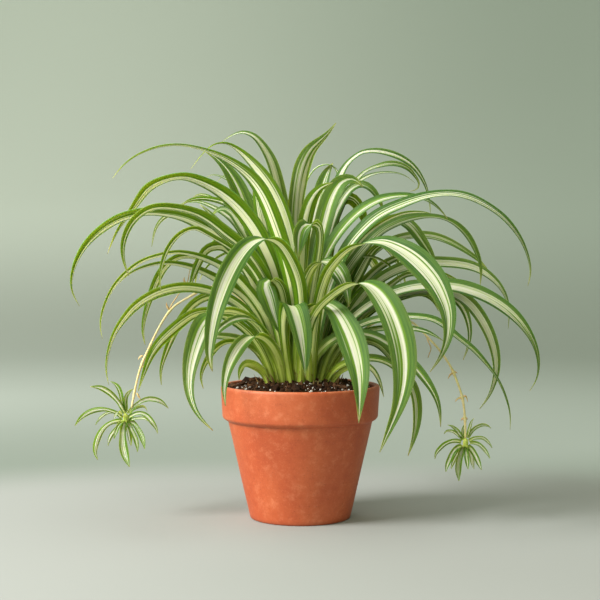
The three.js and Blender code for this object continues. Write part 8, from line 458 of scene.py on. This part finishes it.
def clay_material():
    m = Nodes("terracotta")
    co = m.new("ShaderNodeTexCoord").outputs["Object"]
    big = m.noise(co, 16.0, 3.0, 0.55, 0.5)
    mid = m.noise(co, 120.0, 7.0, 0.70, 0.0)
    fine = m.noise(co, 620.0, 4.0, 0.62)
    mp = m.new("ShaderNodeMapping"); m.link(co, mp.inputs[0]); mp.inputs["Scale"].default_value = (4.0, 4.0, 150.0)
    turn = m.noise(mp.outputs[0], 3.0, 4.0, 0.6)
    vo = m.new("ShaderNodeTexVoronoi"); m.link(co, vo.inputs["Vector"]); vo.inputs["Scale"].default_value = 210.0
    pit = m.step(vo.outputs["Distance"], 0.16, 0.07)
    col = m.mix(m.step(big, 0.34, 0.68), CLAY_A, CLAY_B)
    col = m.mix(m.math("MULTIPLY", m.step(mid, 0.48, 0.74), 0.40), col, CLAY_C)
    col = m.mix(m.math("MULTIPLY", m.step(mid, 0.48, 0.30), 0.45), col, CLAY_D)
    col = m.mix(m.math("MULTIPLY", m.step(turn, 0.52, 0.72), 0.20), col, CLAY_D)
    col = m.mix(m.math("MULTIPLY", m.step(fine, 0.56, 0.72), 0.30), col, CLAY_C)
    col = m.mix(m.math("MULTIPLY", m.step(fine, 0.42, 0.30), 0.35), col, CLAY_E)
    sep = m.new("ShaderNodeSeparateXYZ"); m.link(co, sep.inputs[0])
    # painted highlight: a pale line along the rounded top edge of the rim, broken up by the clay's mottling
    rim_highlight = m.math("MULTIPLY", m.step(sep.outputs[2], 0.1228, 0.1252), m.step(mid, 0.36, 0.6))
    col = m.mix(m.math("MULTIPLY", rim_highlight, 0.45), col, CLAY_C)
    # painted shadow: the clay darkens over its lowest few millimetres, where the pot stands on the floor
    foot_shadow = m.math("MULTIPLY", m.step(sep.outputs[2], 0.0045, 0.0005), 0.5)
    col = m.mix(foot_shadow, col, CLAY_E)
    col = m.mix(m.math("MULTIPLY", pit, 0.35), col, CLAY_E)
    m.put(m.p.inputs["Base Color"], col)
    m.put(m.p.inputs["Roughness"], m.math("ADD", 0.44, m.math("MULTIPLY", mid, 0.26)))
    m.p.inputs["Specular IOR Level"].default_value = 0.65
    h = m.math("ADD", m.math("MULTIPLY", fine, 0.5), m.math("ADD", m.math("MULTIPLY", turn, 0.30), m.math("MULTIPLY", mid, 0.6)))
    h = m.math("SUBTRACT", h, m.math("MULTIPLY", pit, 0.5))
    m.put(m.p.inputs["Normal"], m.bump(h, 0.35, 0.0008))
    return m.mat
CLAY_A, CLAY_B, CLAY_C = (0.475, 0.078, 0.017), (0.560, 0.112, 0.029), (0.740, 0.258, 0.122)
CLAY_D, CLAY_E = (0.410, 0.060, 0.012), (0.270, 0.044, 0.011)

def soil_material(name, a, b, scale=90.0, rough=0.95):
    m = Nodes(name)
    co = m.new("ShaderNodeTexCoord").outputs["Object"]
    n1 = m.noise(co, scale, 5.0, 0.7); n2 = m.noise(co, scale * 6, 3.0, 0.6)
    col = m.mix(m.step(n1, 0.38, 0.68), a, b)
    col = m.mix(m.math("MULTIPLY", m.step(n2, 0.55, 0.75), 0.5), col, tuple(min(1, x * 2.4) for x in b))
    m.put(m.p.inputs["Base Color"], col)
    m.p.inputs["Roughness"].default_value = rough
    m.p.inputs["Specular IOR Level"].default_value = 0.25
    m.put(m.p.inputs["Normal"], m.bump(m.math("ADD", n1, m.math("MULTIPLY", n2, 0.5)), 0.6, 0.0012))
    return m.mat

def stem_material(name, a, b, c, scale=260.0):
    m = Nodes(name)
    co = m.new("ShaderNodeTexCoord").outputs["Object"]
    n1 = m.noise(co, scale, 4.0, 0.6); n2 = m.noise(co, scale / 7, 2.0, 0.5)
    col = m.mix(m.step(n1, 0.35, 0.7), a, b)
    col = m.mix(m.math("MULTIPLY", m.step(n2, 0.5, 0.7), 0.5), col, c)
    m.put(m.p.inputs["Base Color"], col)
    m.p.inputs["Roughness"].default_value = 0.5
    m.p.inputs["Subsurface Weight"].default_value = 0.15
    m.p.inputs["Subsurface Scale"].default_value = 0.001
    m.put(m.p.inputs["Normal"], m.bump(n1, 0.3, 0.0004))
    return m.mat

MAT_LEAF = leaf_material("leaf")
MAT_CLAY = clay_material()
MAT_SOIL = soil_material("soil", (0.013, 0.006, 0.003), (0.050, 0.022, 0.009))
MAT_CRUMB = soil_material("soil_crumb", (0.018, 0.007, 0.003), (0.085, 0.034, 0.012), 240.0)
MAT_BARK = soil_material("bark", (0.045, 0.020, 0.009), (0.16, 0.074, 0.034), 200.0)
MAT_PERLITE = soil_material("white_grain", (0.58, 0.56, 0.52), (0.82, 0.80, 0.76), 500.0)
MAT_STEM = stem_material("runner_stem", (0.74, 0.63, 0.28), (0.86, 0.77, 0.43), (0.62, 0.58, 0.20))
MAT_BRACT = stem_material("dry_bract", (0.66, 0.46, 0.19), (0.80, 0.62, 0.30), (0.44, 0.27, 0.10))
MAT_SHEATH = stem_material("dry_sheath", (0.24, 0.125, 0.045), (0.46, 0.33, 0.13), (0.13, 0.06, 0.025), 380.0)
MAT_PLANTLET = leaf_material("plantlet_leaf", 1.0, 0.6)
MAT_HEART = stem_material("plantlet_heart", (0.44, 0.56, 0.07), (0.68, 0.76, 0.18), (0.46, 0.46, 0.08), 420.0)
MAT_CROWN = stem_material("crown_tissue", (0.34, 0.36, 0.14), (0.50, 0.50, 0.24), (0.22, 0.14, 0.06), 160.0)

def give(ob, mat):
    ob.data.materials.append(mat)
    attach(ob, "root")
    return ob

# ------------------------------------------------------------------ pot
def lathe(profile, seg):
    V, F = [], []
    n = len(profile)
    for k in range(seg):
        a = 2 * math.pi * k / seg
        for r, z in profile:
            V.append((r * math.cos(a), r * math.sin(a), z))
    for k in range(seg):
        k2 = (k + 1) % seg
        for i in range(n):
            j = (i + 1) % n
            F.append((k * n + i, k2 * n + i, k2 * n + j, k * n + j))
    return np.array(V), F

def rounded(points, rad):
    """The closed profile with each corner turned into a short arc."""
    out = []; n = len(points)
    for i in range(n):
        p0, p, p1 = (np.array(points[(i + d) % n][:2], float) for d in (-1, 0, 1))
        r = points[i][2] if len(points[i]) > 2 else rad
        a, b = p0 - p, p1 - p; la, lb = np.linalg.norm(a), np.linalg.norm(b)
        r = min(r, la * 0.45, lb * 0.45)
        s, e = p + a / la * r, p + b / lb * r
        for t in np.linspace(0, 1, 5):
            out.append((1 - t) ** 2 * s + 2 * t * (1 - t) * p + t * t * e)
    return out

POT = [(6.5, 0, .5), (47.2, 0, 1.6), (68.1, 92.3, 0.9), (69.9, 92.7, 0.9), (73.2, 95.2, 3.0), (74.9, 122.9, 2.0), (74.2, 125.4, 1.5),
       (70.3, 125.4, 1.8), (69.3, 122.0, 2.0), (67.6, 97.0, 3.0), (63.0, 89.6, 3.0), (43.3, 8.0, 3.0), (41.4, 6.2, 2.0), (6.4, 6.2, .5)]
def pot_profile():
    base = rounded(POT, 1.0); out = []
    for i, p in enumerate(base):
        q = base[(i + 1) % len(base)]
        d = np.linalg.norm(q - p); k = max(1, int(d / 4.0))
        for t in range(k): out.append(p + (q - p) * t / k)
    return out
v, f = lathe(pot_profile(), 144)
ang = np.arctan2(v[:, 1], v[:, 0]); rr = np.hypot(v[:, 0], v[:, 1])
wob = 0.12 * np.sin(2 * ang + 0.6 + v[:, 2] * 0.02) + 0.07 * np.sin(5 * ang + v[:, 2] * 0.11)
outer = (rr > 46) & (v[:, 2] > 2)
v[:, 0] += np.where(outer, wob * np.cos(ang), 0); v[:, 1] += np.where(outer, wob * np.sin(ang), 0)
pot = obj_from("pot_clay", v * MM, f)
give(pot, MAT_CLAY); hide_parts("pot")

# ------------------------------------------------------------------ soil
def soil_z(x, y):
    r = math.hypot(x, y) / 68.4
    return 121.2 + 9.2 * max(0.0, 1 - r * r) ** 1.1
def soil_body():
    R, rings, seg = 68.6, 46, 132
    V = []; F = []
    for i in range(rings + 1):
        r = R * i / rings
        for k in range(seg):
            a = 2 * math.pi * k / seg
            x, y = r * math.cos(a), r * math.sin(a)
            z = soil_z(x, y) + 1.1 * noise.noise(Vector((x * 0.16, y * 0.16, 3.1))) + 0.9 * noise.noise(Vector((x * 0.5, y * 0.5, 7.7)))
            if i == rings: z -= 0.6
            V.append((x, y, z))
    def idx(i, k): return i * seg + k % seg
    for i in range(rings):
        for k in range(seg):
            if i == 0:
                F.append((idx(0, 0), idx(1, k), idx(1, k + 1)))
            else:
                F.append((idx(i, k), idx(i + 1, k), idx(i + 1, k + 1), idx(i, k + 1)))
    low = len(V)
    for r, z in ((66.6, 97.0), (62.2, 89.0), (42.6, 8.2), (41.0, 6.7)):
        for k in range(seg):
            a = 2 * math.pi * k / seg
            V.append((r * math.cos(a), r * math.sin(a), z))
    prev = rings * seg
    for t in range(4):
        cur = low + t * seg
        for k in range(seg):
            F.append((prev + k, cur + k, cur + (k + 1) % seg, prev + (k + 1) % seg))
        prev = cur
    F.append(tuple(prev + k for k in range(seg))[::-1])
    V = np.array(V); used = sorted(set(i for q in F for i in q)); remap = {o: n for n, o in enumerate(used)}
    return V[used], [tuple(remap[i] for i in q) for q in F]
v, f = soil_body()
soil = obj_from("soil_mix", v * MM, f)
give(soil, MAT_SOIL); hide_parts("soil")

ICO_V = None
def ico():
    global ICO_V
    if ICO_V is None:
        import bmesh
        bm = bmesh.new(); bmesh.ops.create_icosphere(bm, subdivisions=1, radius=1.0)
        ICO_V = (np.array([v.co[:] for v in bm.verts]), [tuple(v.index for v in f.verts) for f in bm.faces])
        bm.free()
    return ICO_V
def grains(name, count, size, flat, lift, mat, seed, stretch=1.0, rmax=67.0):
    rng = np.random.RandomState(seed)
    bv, bf = ico(); parts = []
    for _ in range(count):
        r = rmax * math.sqrt(rng.uniform(0.0, 1)); a = rng.uniform(0, 2 * math.pi)
        x, y = r * math.cos(a), r * math.sin(a)
        s = size * math.exp(rng.normal(0, 0.38))
        q = rng.normal(size=4); q /= np.linalg.norm(q)
        w, i, j, k = q
        Rm = np.array([[1 - 2 * (j * j + k * k), 2 * (i * j - k * w), 2 * (i * k + j * w)], [2 * (i * j + k * w), 1 - 2 * (i * i + k * k), 2 * (j * k - i * w)], [2 * (i * k - j * w), 2 * (j * k + i * w), 1 - 2 * (i * i + j * j)]])
        vv = bv * (1 + rng.uniform(-0.28, 0.28, (len(bv), 1)))
        vv = vv * np.array([s * stretch, s, s * flat]) @ Rm.T
        parts.append((vv + np.array([x, y, soil_z(x, y) + lift * s]), bf))
    v, f = join_arrays(parts)
    ob = obj_from(name, v * MM, f, smooth=False)
    return give(ob, mat)
grains("soil_crumbs", 2300, 0.95, 0.8, 0.35, MAT_CRUMB, 11)
grains("soil_clods", 420, 1.6, 0.7, 0.3, MAT_SOIL, 12)
grains("soil_bark", 340, 1.35, 0.40, 0.6, MAT_BARK, 13, 1.9)
grains("soil_white_grains", 330, 0.76, 0.85, 0.75, MAT_PERLITE, 14, rmax=67.5)

# ------------------------------------------------------------------ leaves
def leaf_uv(faces, a, k, n):
    """Each blade gets a column of the map: its upper side left, its underside right."""
    out = []; pad = 0.06
    for f in faces:
        under = min(a[i][2] for i in f) < 0
        for i in f:
            across = (a[i][0] + 1) / 2 * (1 - 2 * pad) + pad
            out.append(((k + (0.5 if under else 0.0) + across * 0.5) / n, 0.01 + 0.98 * a[i][1]))
    return out
def set_uv(ob, uv):
    lay = ob.data.uv_layers.new(name="OFBake")
    lay.data.foreach_set("uv", np.asarray(uv, dtype=np.float32).ravel())
def make_leaf(name, table, k, **kw):
    rng = np.random.RandomState(1000 + k)
    L = np.linalg.norm(np.diff(np.array(table)[:, :3], axis=0), axis=1).sum()
    rows = int(np.clip(L / 4.2, 20, 80))
    v, f, a, b = leaf_arrays(table, rng, rows=rows, **kw)
    ob = obj_from(name, v, f)
    attr3(ob, "lfa", a); attr3(ob, "lfb", b); sharp_margins(ob)
    set_uv(ob, leaf_uv(f, a, 0, 1))
    give(ob, MAT_LEAF)
    return ob
for k, (name, (kw, table)) in enumerate(LEAVES.items()):
    ob = make_leaf(name, table, k, **kw)
    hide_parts(name)
for g in range(4):
    V, F, A, B, U, n = [], [], [], [], [], 0
    group = CROWN_LEAVES[g::4]
    for k, (kw, table) in enumerate(group):
        rng = np.random.RandomState(1200 + 4 * k + g)
        L = np.linalg.norm(np.diff(np.array(table)[:, :3], axis=0), axis=1).sum()
        v, f, a, b = leaf_arrays(table, rng, rows=int(np.clip(L / 4.2, 20, 80)), **kw)
        V.append(v); F += [tuple(q + n for q in w) for w in f]; A.append(a); B.append(b); n += len(v)
        U += leaf_uv(f, a, k, len(group))
    ob = obj_from("crown_leaves_%d" % (g + 1), np.concatenate(V), F)
    attr3(ob, "lfa", np.concatenate(A)); attr3(ob, "lfb", np.concatenate(B)); sharp_margins(ob)
    set_uv(ob, U); give(ob, MAT_LEAF)

# the crown: short fleshy base with papery sheath edges between the leaves
def crown_mound():
    V, F = [], []; rings, seg = 14, 48
    for i in range(rings + 1):
        t = i / rings
        for k in range(seg):
            a = 2 * math.pi * k / seg
            bump = 1 + 0.10 * math.sin(5 * a + 1.0) + 0.07 * math.sin(11 * a + t * 4)
            r = 34 * math.cos(t * math.pi / 2) ** 0.7 * bump if t < 1 else 0.6
            V.append((r * math.cos(a) * 1.1, -2 + r * math.sin(a) * 0.78, 121 + 12.5 * math.sin(t * math.pi / 2)))
    for i in range(rings):
        for k in range(seg):
            k2 = (k + 1) % seg
            F.append((i * seg + k, i * seg + k2, (i + 1) * seg + k2, (i + 1) * seg + k))
    F.append(tuple(range(seg))[::-1]); F.append(tuple(rings * seg + k for k in range(seg)))
    return np.array(V), F
v, f = crown_mound()
crown = obj_from("crown_base", v * MM, f)
give(crown, MAT_CROWN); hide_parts("crown")

def sheaths():
    rng = np.random.RandomState(909); parts = []
    for i in range(34):
        a = rng.uniform(0, 2 * math.pi); rx, ry = rng.uniform(30, 39), rng.uniform(24, 31)
        p = np.array([rx * math.cos(a), -3 + ry * math.sin(a), 121.5])
        out = np.array([math.cos(a), math.sin(a), 0.0]); tan = np.array([-math.sin(a), math.cos(a), 0.0])
        L = rng.uniform(7, 17); lean = rng.uniform(0.15, 0.6); wid = rng.uniform(1.6, 3.4); curl = rng.uniform(-0.4, 0.9)
        t = []
        for q in np.linspace(0, 1, 6):
            c = p + out * (lean * L * q + curl * 2.2 * q * q) + np.array([0, 0, L * q * (1 - 0.25 * q * max(curl, 0))]) + tan * rng.uniform(-0.4, 0.4)
            t.append([*c, *(tan * wid * (1 - q) ** 0.6 + 0.05)])
        v, f, _, _ = leaf_arrays(t, rng, rows=9, cols=6, thick=0.3, fold=0.7, base=0.0, widen=1.0)
        parts.append((v / MM, f))
    return join_arrays(parts)
v, f = sheaths()
ob = obj_from("crown_sheaths", v * MM, f); give(ob, MAT_SHEATH)

# ------------------------------------------------------------------ runners and plantlets
def resample(points, n):
    p = np.asarray(points, float); t = np.c_[p, np.zeros((len(p), 3))]
    out, _ = spline(t, n)
    return out[:, :3]
def bract(p, L, rng):
    """A small dry pointed scale on a node of the runner."""
    p = np.asarray(p, float)
    P = resample(p, 8); s = np.linspace(0, 1, 8)
    return tube_arrays(P, 1.05 * (1 - s) ** 0.7 * (0.6 + 1.2 * s * (1 - s) * 2) + 0.12, 6)
for name, r in RUNNERS.items():
    P = resample(r["line"], 90)
    s = np.linspace(0, 1, 90)
    rad = 1.12 - 0.12 * s + 0.05 * np.sin(s * 60)
    nodes = [np.argmin(np.linalg.norm(P - np.array(b[0]), axis=1)) for b in r["bracts"]]
    for i in nodes:
        rad += 0.35 * np.exp(-((np.arange(90) - i) / 1.2) ** 2)
    v1 = tube_arrays(P, rad, 10)
    ob = obj_from(name + "_stem", v1[0] * MM, v1[1]); give(ob, MAT_STEM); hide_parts(name)
    T = resample(r["twig"], 24); st = np.linspace(0, 1, 24)
    parts = [tube_arrays(T, 0.55 - 0.25 * st + 0.12 * np.abs(np.sin(st * 22)), 7)]
    rng = np.random.RandomState(5)
    for b in r["bracts"]:
        parts.append(bract(b, 6, rng))
    v2 = join_arrays(parts)
    ob = obj_from(name + "_bracts", v2[0] * MM, v2[1]); give(ob, MAT_BRACT)

for k, (name, p) in enumerate(PLANTLETS.items()):
    V, F, A, B, U, n = [], [], [], [], [], 0
    for i, t in enumerate(p["leaves"]):
        rng = np.random.RandomState(3000 + 50 * k + i)
        v, f, a, b = leaf_arrays(t, rng, rows=26, cols=8, thick=0.45, fold=0.42, hw=rng.uniform(0.29, 0.37), tone=rng.uniform(-1.0, 0.4), base=1.3, reach=8.0, widen=1.28)
        q = np.clip(b[:, 0] / 15.0, 0, 1)
        b[:, 0] += 36.0 + 200.0 * q * q * (3 - 2 * q)  # striped almost down to their base
        V.append(v); F += [tuple(q + n for q in w) for w in f]; A.append(a); B.append(b); n += len(v)
        U += leaf_uv(f, a, i, len(p["leaves"]))
    ob = obj_from(name + "_leaves", np.concatenate(V), F)
    set_uv(ob, U)
    attr3(ob, "lfa", np.concatenate(A)); attr3(ob, "lfb", np.concatenate(B)); sharp_margins(ob)
    give(ob, MAT_PLANTLET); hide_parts(name)
    c = np.array(p["centre"]); parts = []
    rng = np.random.RandomState(77 + k)
    core = ico()
    import bmesh
    bm = bmesh.new(); bmesh.ops.create_icosphere(bm, subdivisions=3, radius=1.0)
    cv = np.array([v.co[:] for v in bm.verts]); cf = [tuple(v.index for v in f.verts) for f in bm.faces]; bm.free()
    parts.append((cv * np.array([2.5, 2.5, 4.4]) * (1 + 0.06 * np.sin(cv[:, [0]] * 9)) + c, cf))
    for i in range(7):  # short root buds under the heart
        a = i * 2.399 + 0.4; d = np.array([math.cos(a), math.sin(a), 0])
        q = [c + d * 1.4 + [0, 0, -1.6], c + d * 2.4 + [0, 0, -3.2], c + d * 2.7 + [0, 0, -5.0]]
        parts.append(tube_arrays(np.array(q), [0.7, 0.55, 0.3], 7))
    v, f = join_arrays(parts)
    ob = obj_from(name + "_heart", v * MM, f); give(ob, MAT_HEART)

# ------------------------------------------------------------------ floor, light
def backdrop():
    """A round studio sweep: a flat floor that curves up into a low wall all the way round."""
    prof = [(0.0, 0.0)] + [(r, 0.0) for r in (0.25, 0.5, 0.8, 1.2, 1.6, 2.0)]
    R, H = 2.1, 1.3
    prof += [(2.0 + R * math.sin(t), R - R * math.cos(t)) for t in np.linspace(0.08, math.pi / 2 * 0.86, 22)]
    seg = 96; V, F = [(0, 0, 0)], []
    for r, z in prof[1:]:
        for k in range(seg):
            a = 2 * math.pi * k / seg
            V.append((r * math.cos(a), r * math.sin(a), z))
    for k in range(seg):
        F.append((0, 1 + k, 1 + (k + 1) % seg))
    for i in range(len(prof) - 2):
        for k in range(seg):
            k2 = (k + 1) % seg
            F.append((1 + i * seg + k, 1 + (i + 1) * seg + k, 1 + (i + 1) * seg + k2, 1 + i * seg + k2))
    ob = obj_from("floor", V, F)
    m = Nodes("floor")
    co = m.new("ShaderNodeTexCoord").outputs["Object"]
    n = m.noise(co, 1.7, 3.0)
    sep = m.new("ShaderNodeSeparateXYZ"); m.link(co, sep.inputs[0])
    x, y, z = sep.outputs
    y = m.math("ADD", y, 0.5)
    far = m.math("SQRT", m.math("ADD", m.math("MULTIPLY", x, x), m.math("MULTIPLY", y, y)))
    # painted light: the sweep is painted paler on the left and higher up and darker to the right, as the studio light
    # falls across it
    side = m.step(x, -1.1, 1.1)
    rise = m.step(z, -0.02, 0.40)
    wall = m.mix(side, m.mix(rise, WALL_A, WALL_B), m.mix(rise, WALL_C, WALL_D))
    # painted shadow: a dark band low on the left of the sweep, near the plant
    wall = m.mix(m.math("MULTIPLY", m.step(far, 1.75, 0.75), m.math("SUBTRACT", 1.0, side)), wall, WALL_SHADOW_BAND)
    under = m.math("MULTIPLY", m.step(x, -0.80, -1.15), m.step(y, 2.2, 1.4))  # painted shade on the floor under the key light, holding down its pool of light
    wall = m.mix(m.math("MULTIPLY", under, m.math("SUBTRACT", 1.0, rise)), wall, KEY_POOL_SHADE)
    m.put(m.p.inputs["Base Color"], m.mix(m.step(far, 0.68, 0.90), m.mix(n, FLOOR_A, FLOOR_B), wall))
    m.p.inputs["Roughness"].default_value = 0.95
    m.p.inputs["Specular IOR Level"].default_value = 0.1
    ob.data.materials.append(m.mat)
FLOOR_A, FLOOR_B = (0.325, 0.345, 0.338), (0.340, 0.360, 0.354)
# the colour under the key light is painted shade against the light's bright spot
# the dark band colour is a painted shadow
WALL_SHADOW_BAND, KEY_POOL_SHADE = (0.150, 0.185, 0.155), (0.200, 0.230, 0.215)
# lit and shaded copies of the backdrop colour: painted light
WALL_A, WALL_B, WALL_C, WALL_D = (0.430, 0.480, 0.455), (0.81, 0.90, 0.88), (0.350, 0.405, 0.375), (0.470, 0.555, 0.515)
backdrop()

def area(name, loc, target, size, power, color):
    d = bpy.data.lights.new(name, "AREA"); d.shape = "DISK"; d.size = size; d.energy = power; d.color = color
    o = bpy.data.objects.new(name, d); bpy.context.scene.collection.objects.link(o)
    o.location = loc
    o.rotation_euler = (Vector(target) - Vector(loc)).to_track_quat("-Z", "Y").to_euler()
area("key", (-1.74, -0.82, 1.42), (0, 0, 0.14), 1.15, 98.0, (1.0, 0.965, 0.92))
area("fill", (-0.35, -2.1, 1.3), (0, 0, 0.2), 1.6, 12.5, (1.0, 0.99, 0.80))
area("back", (-0.9, 1.7, 1.9), (0, 0, 0.25), 1.2, 10.0, (0.97, 1.0, 0.97))
area("top", (0.45, -0.15, 2.1), (0.1, 0, 0.2), 1.5, 11.0, (1.0, 1.0, 0.95))
world = bpy.data.worlds.new("world"); bpy.context.scene.world = world; world.use_nodes = True
bg = world.node_tree.nodes["Background"]
bg.inputs[0].default_value = (0.96, 0.97, 0.62, 1.0); bg.inputs[1].default_value = 0.335
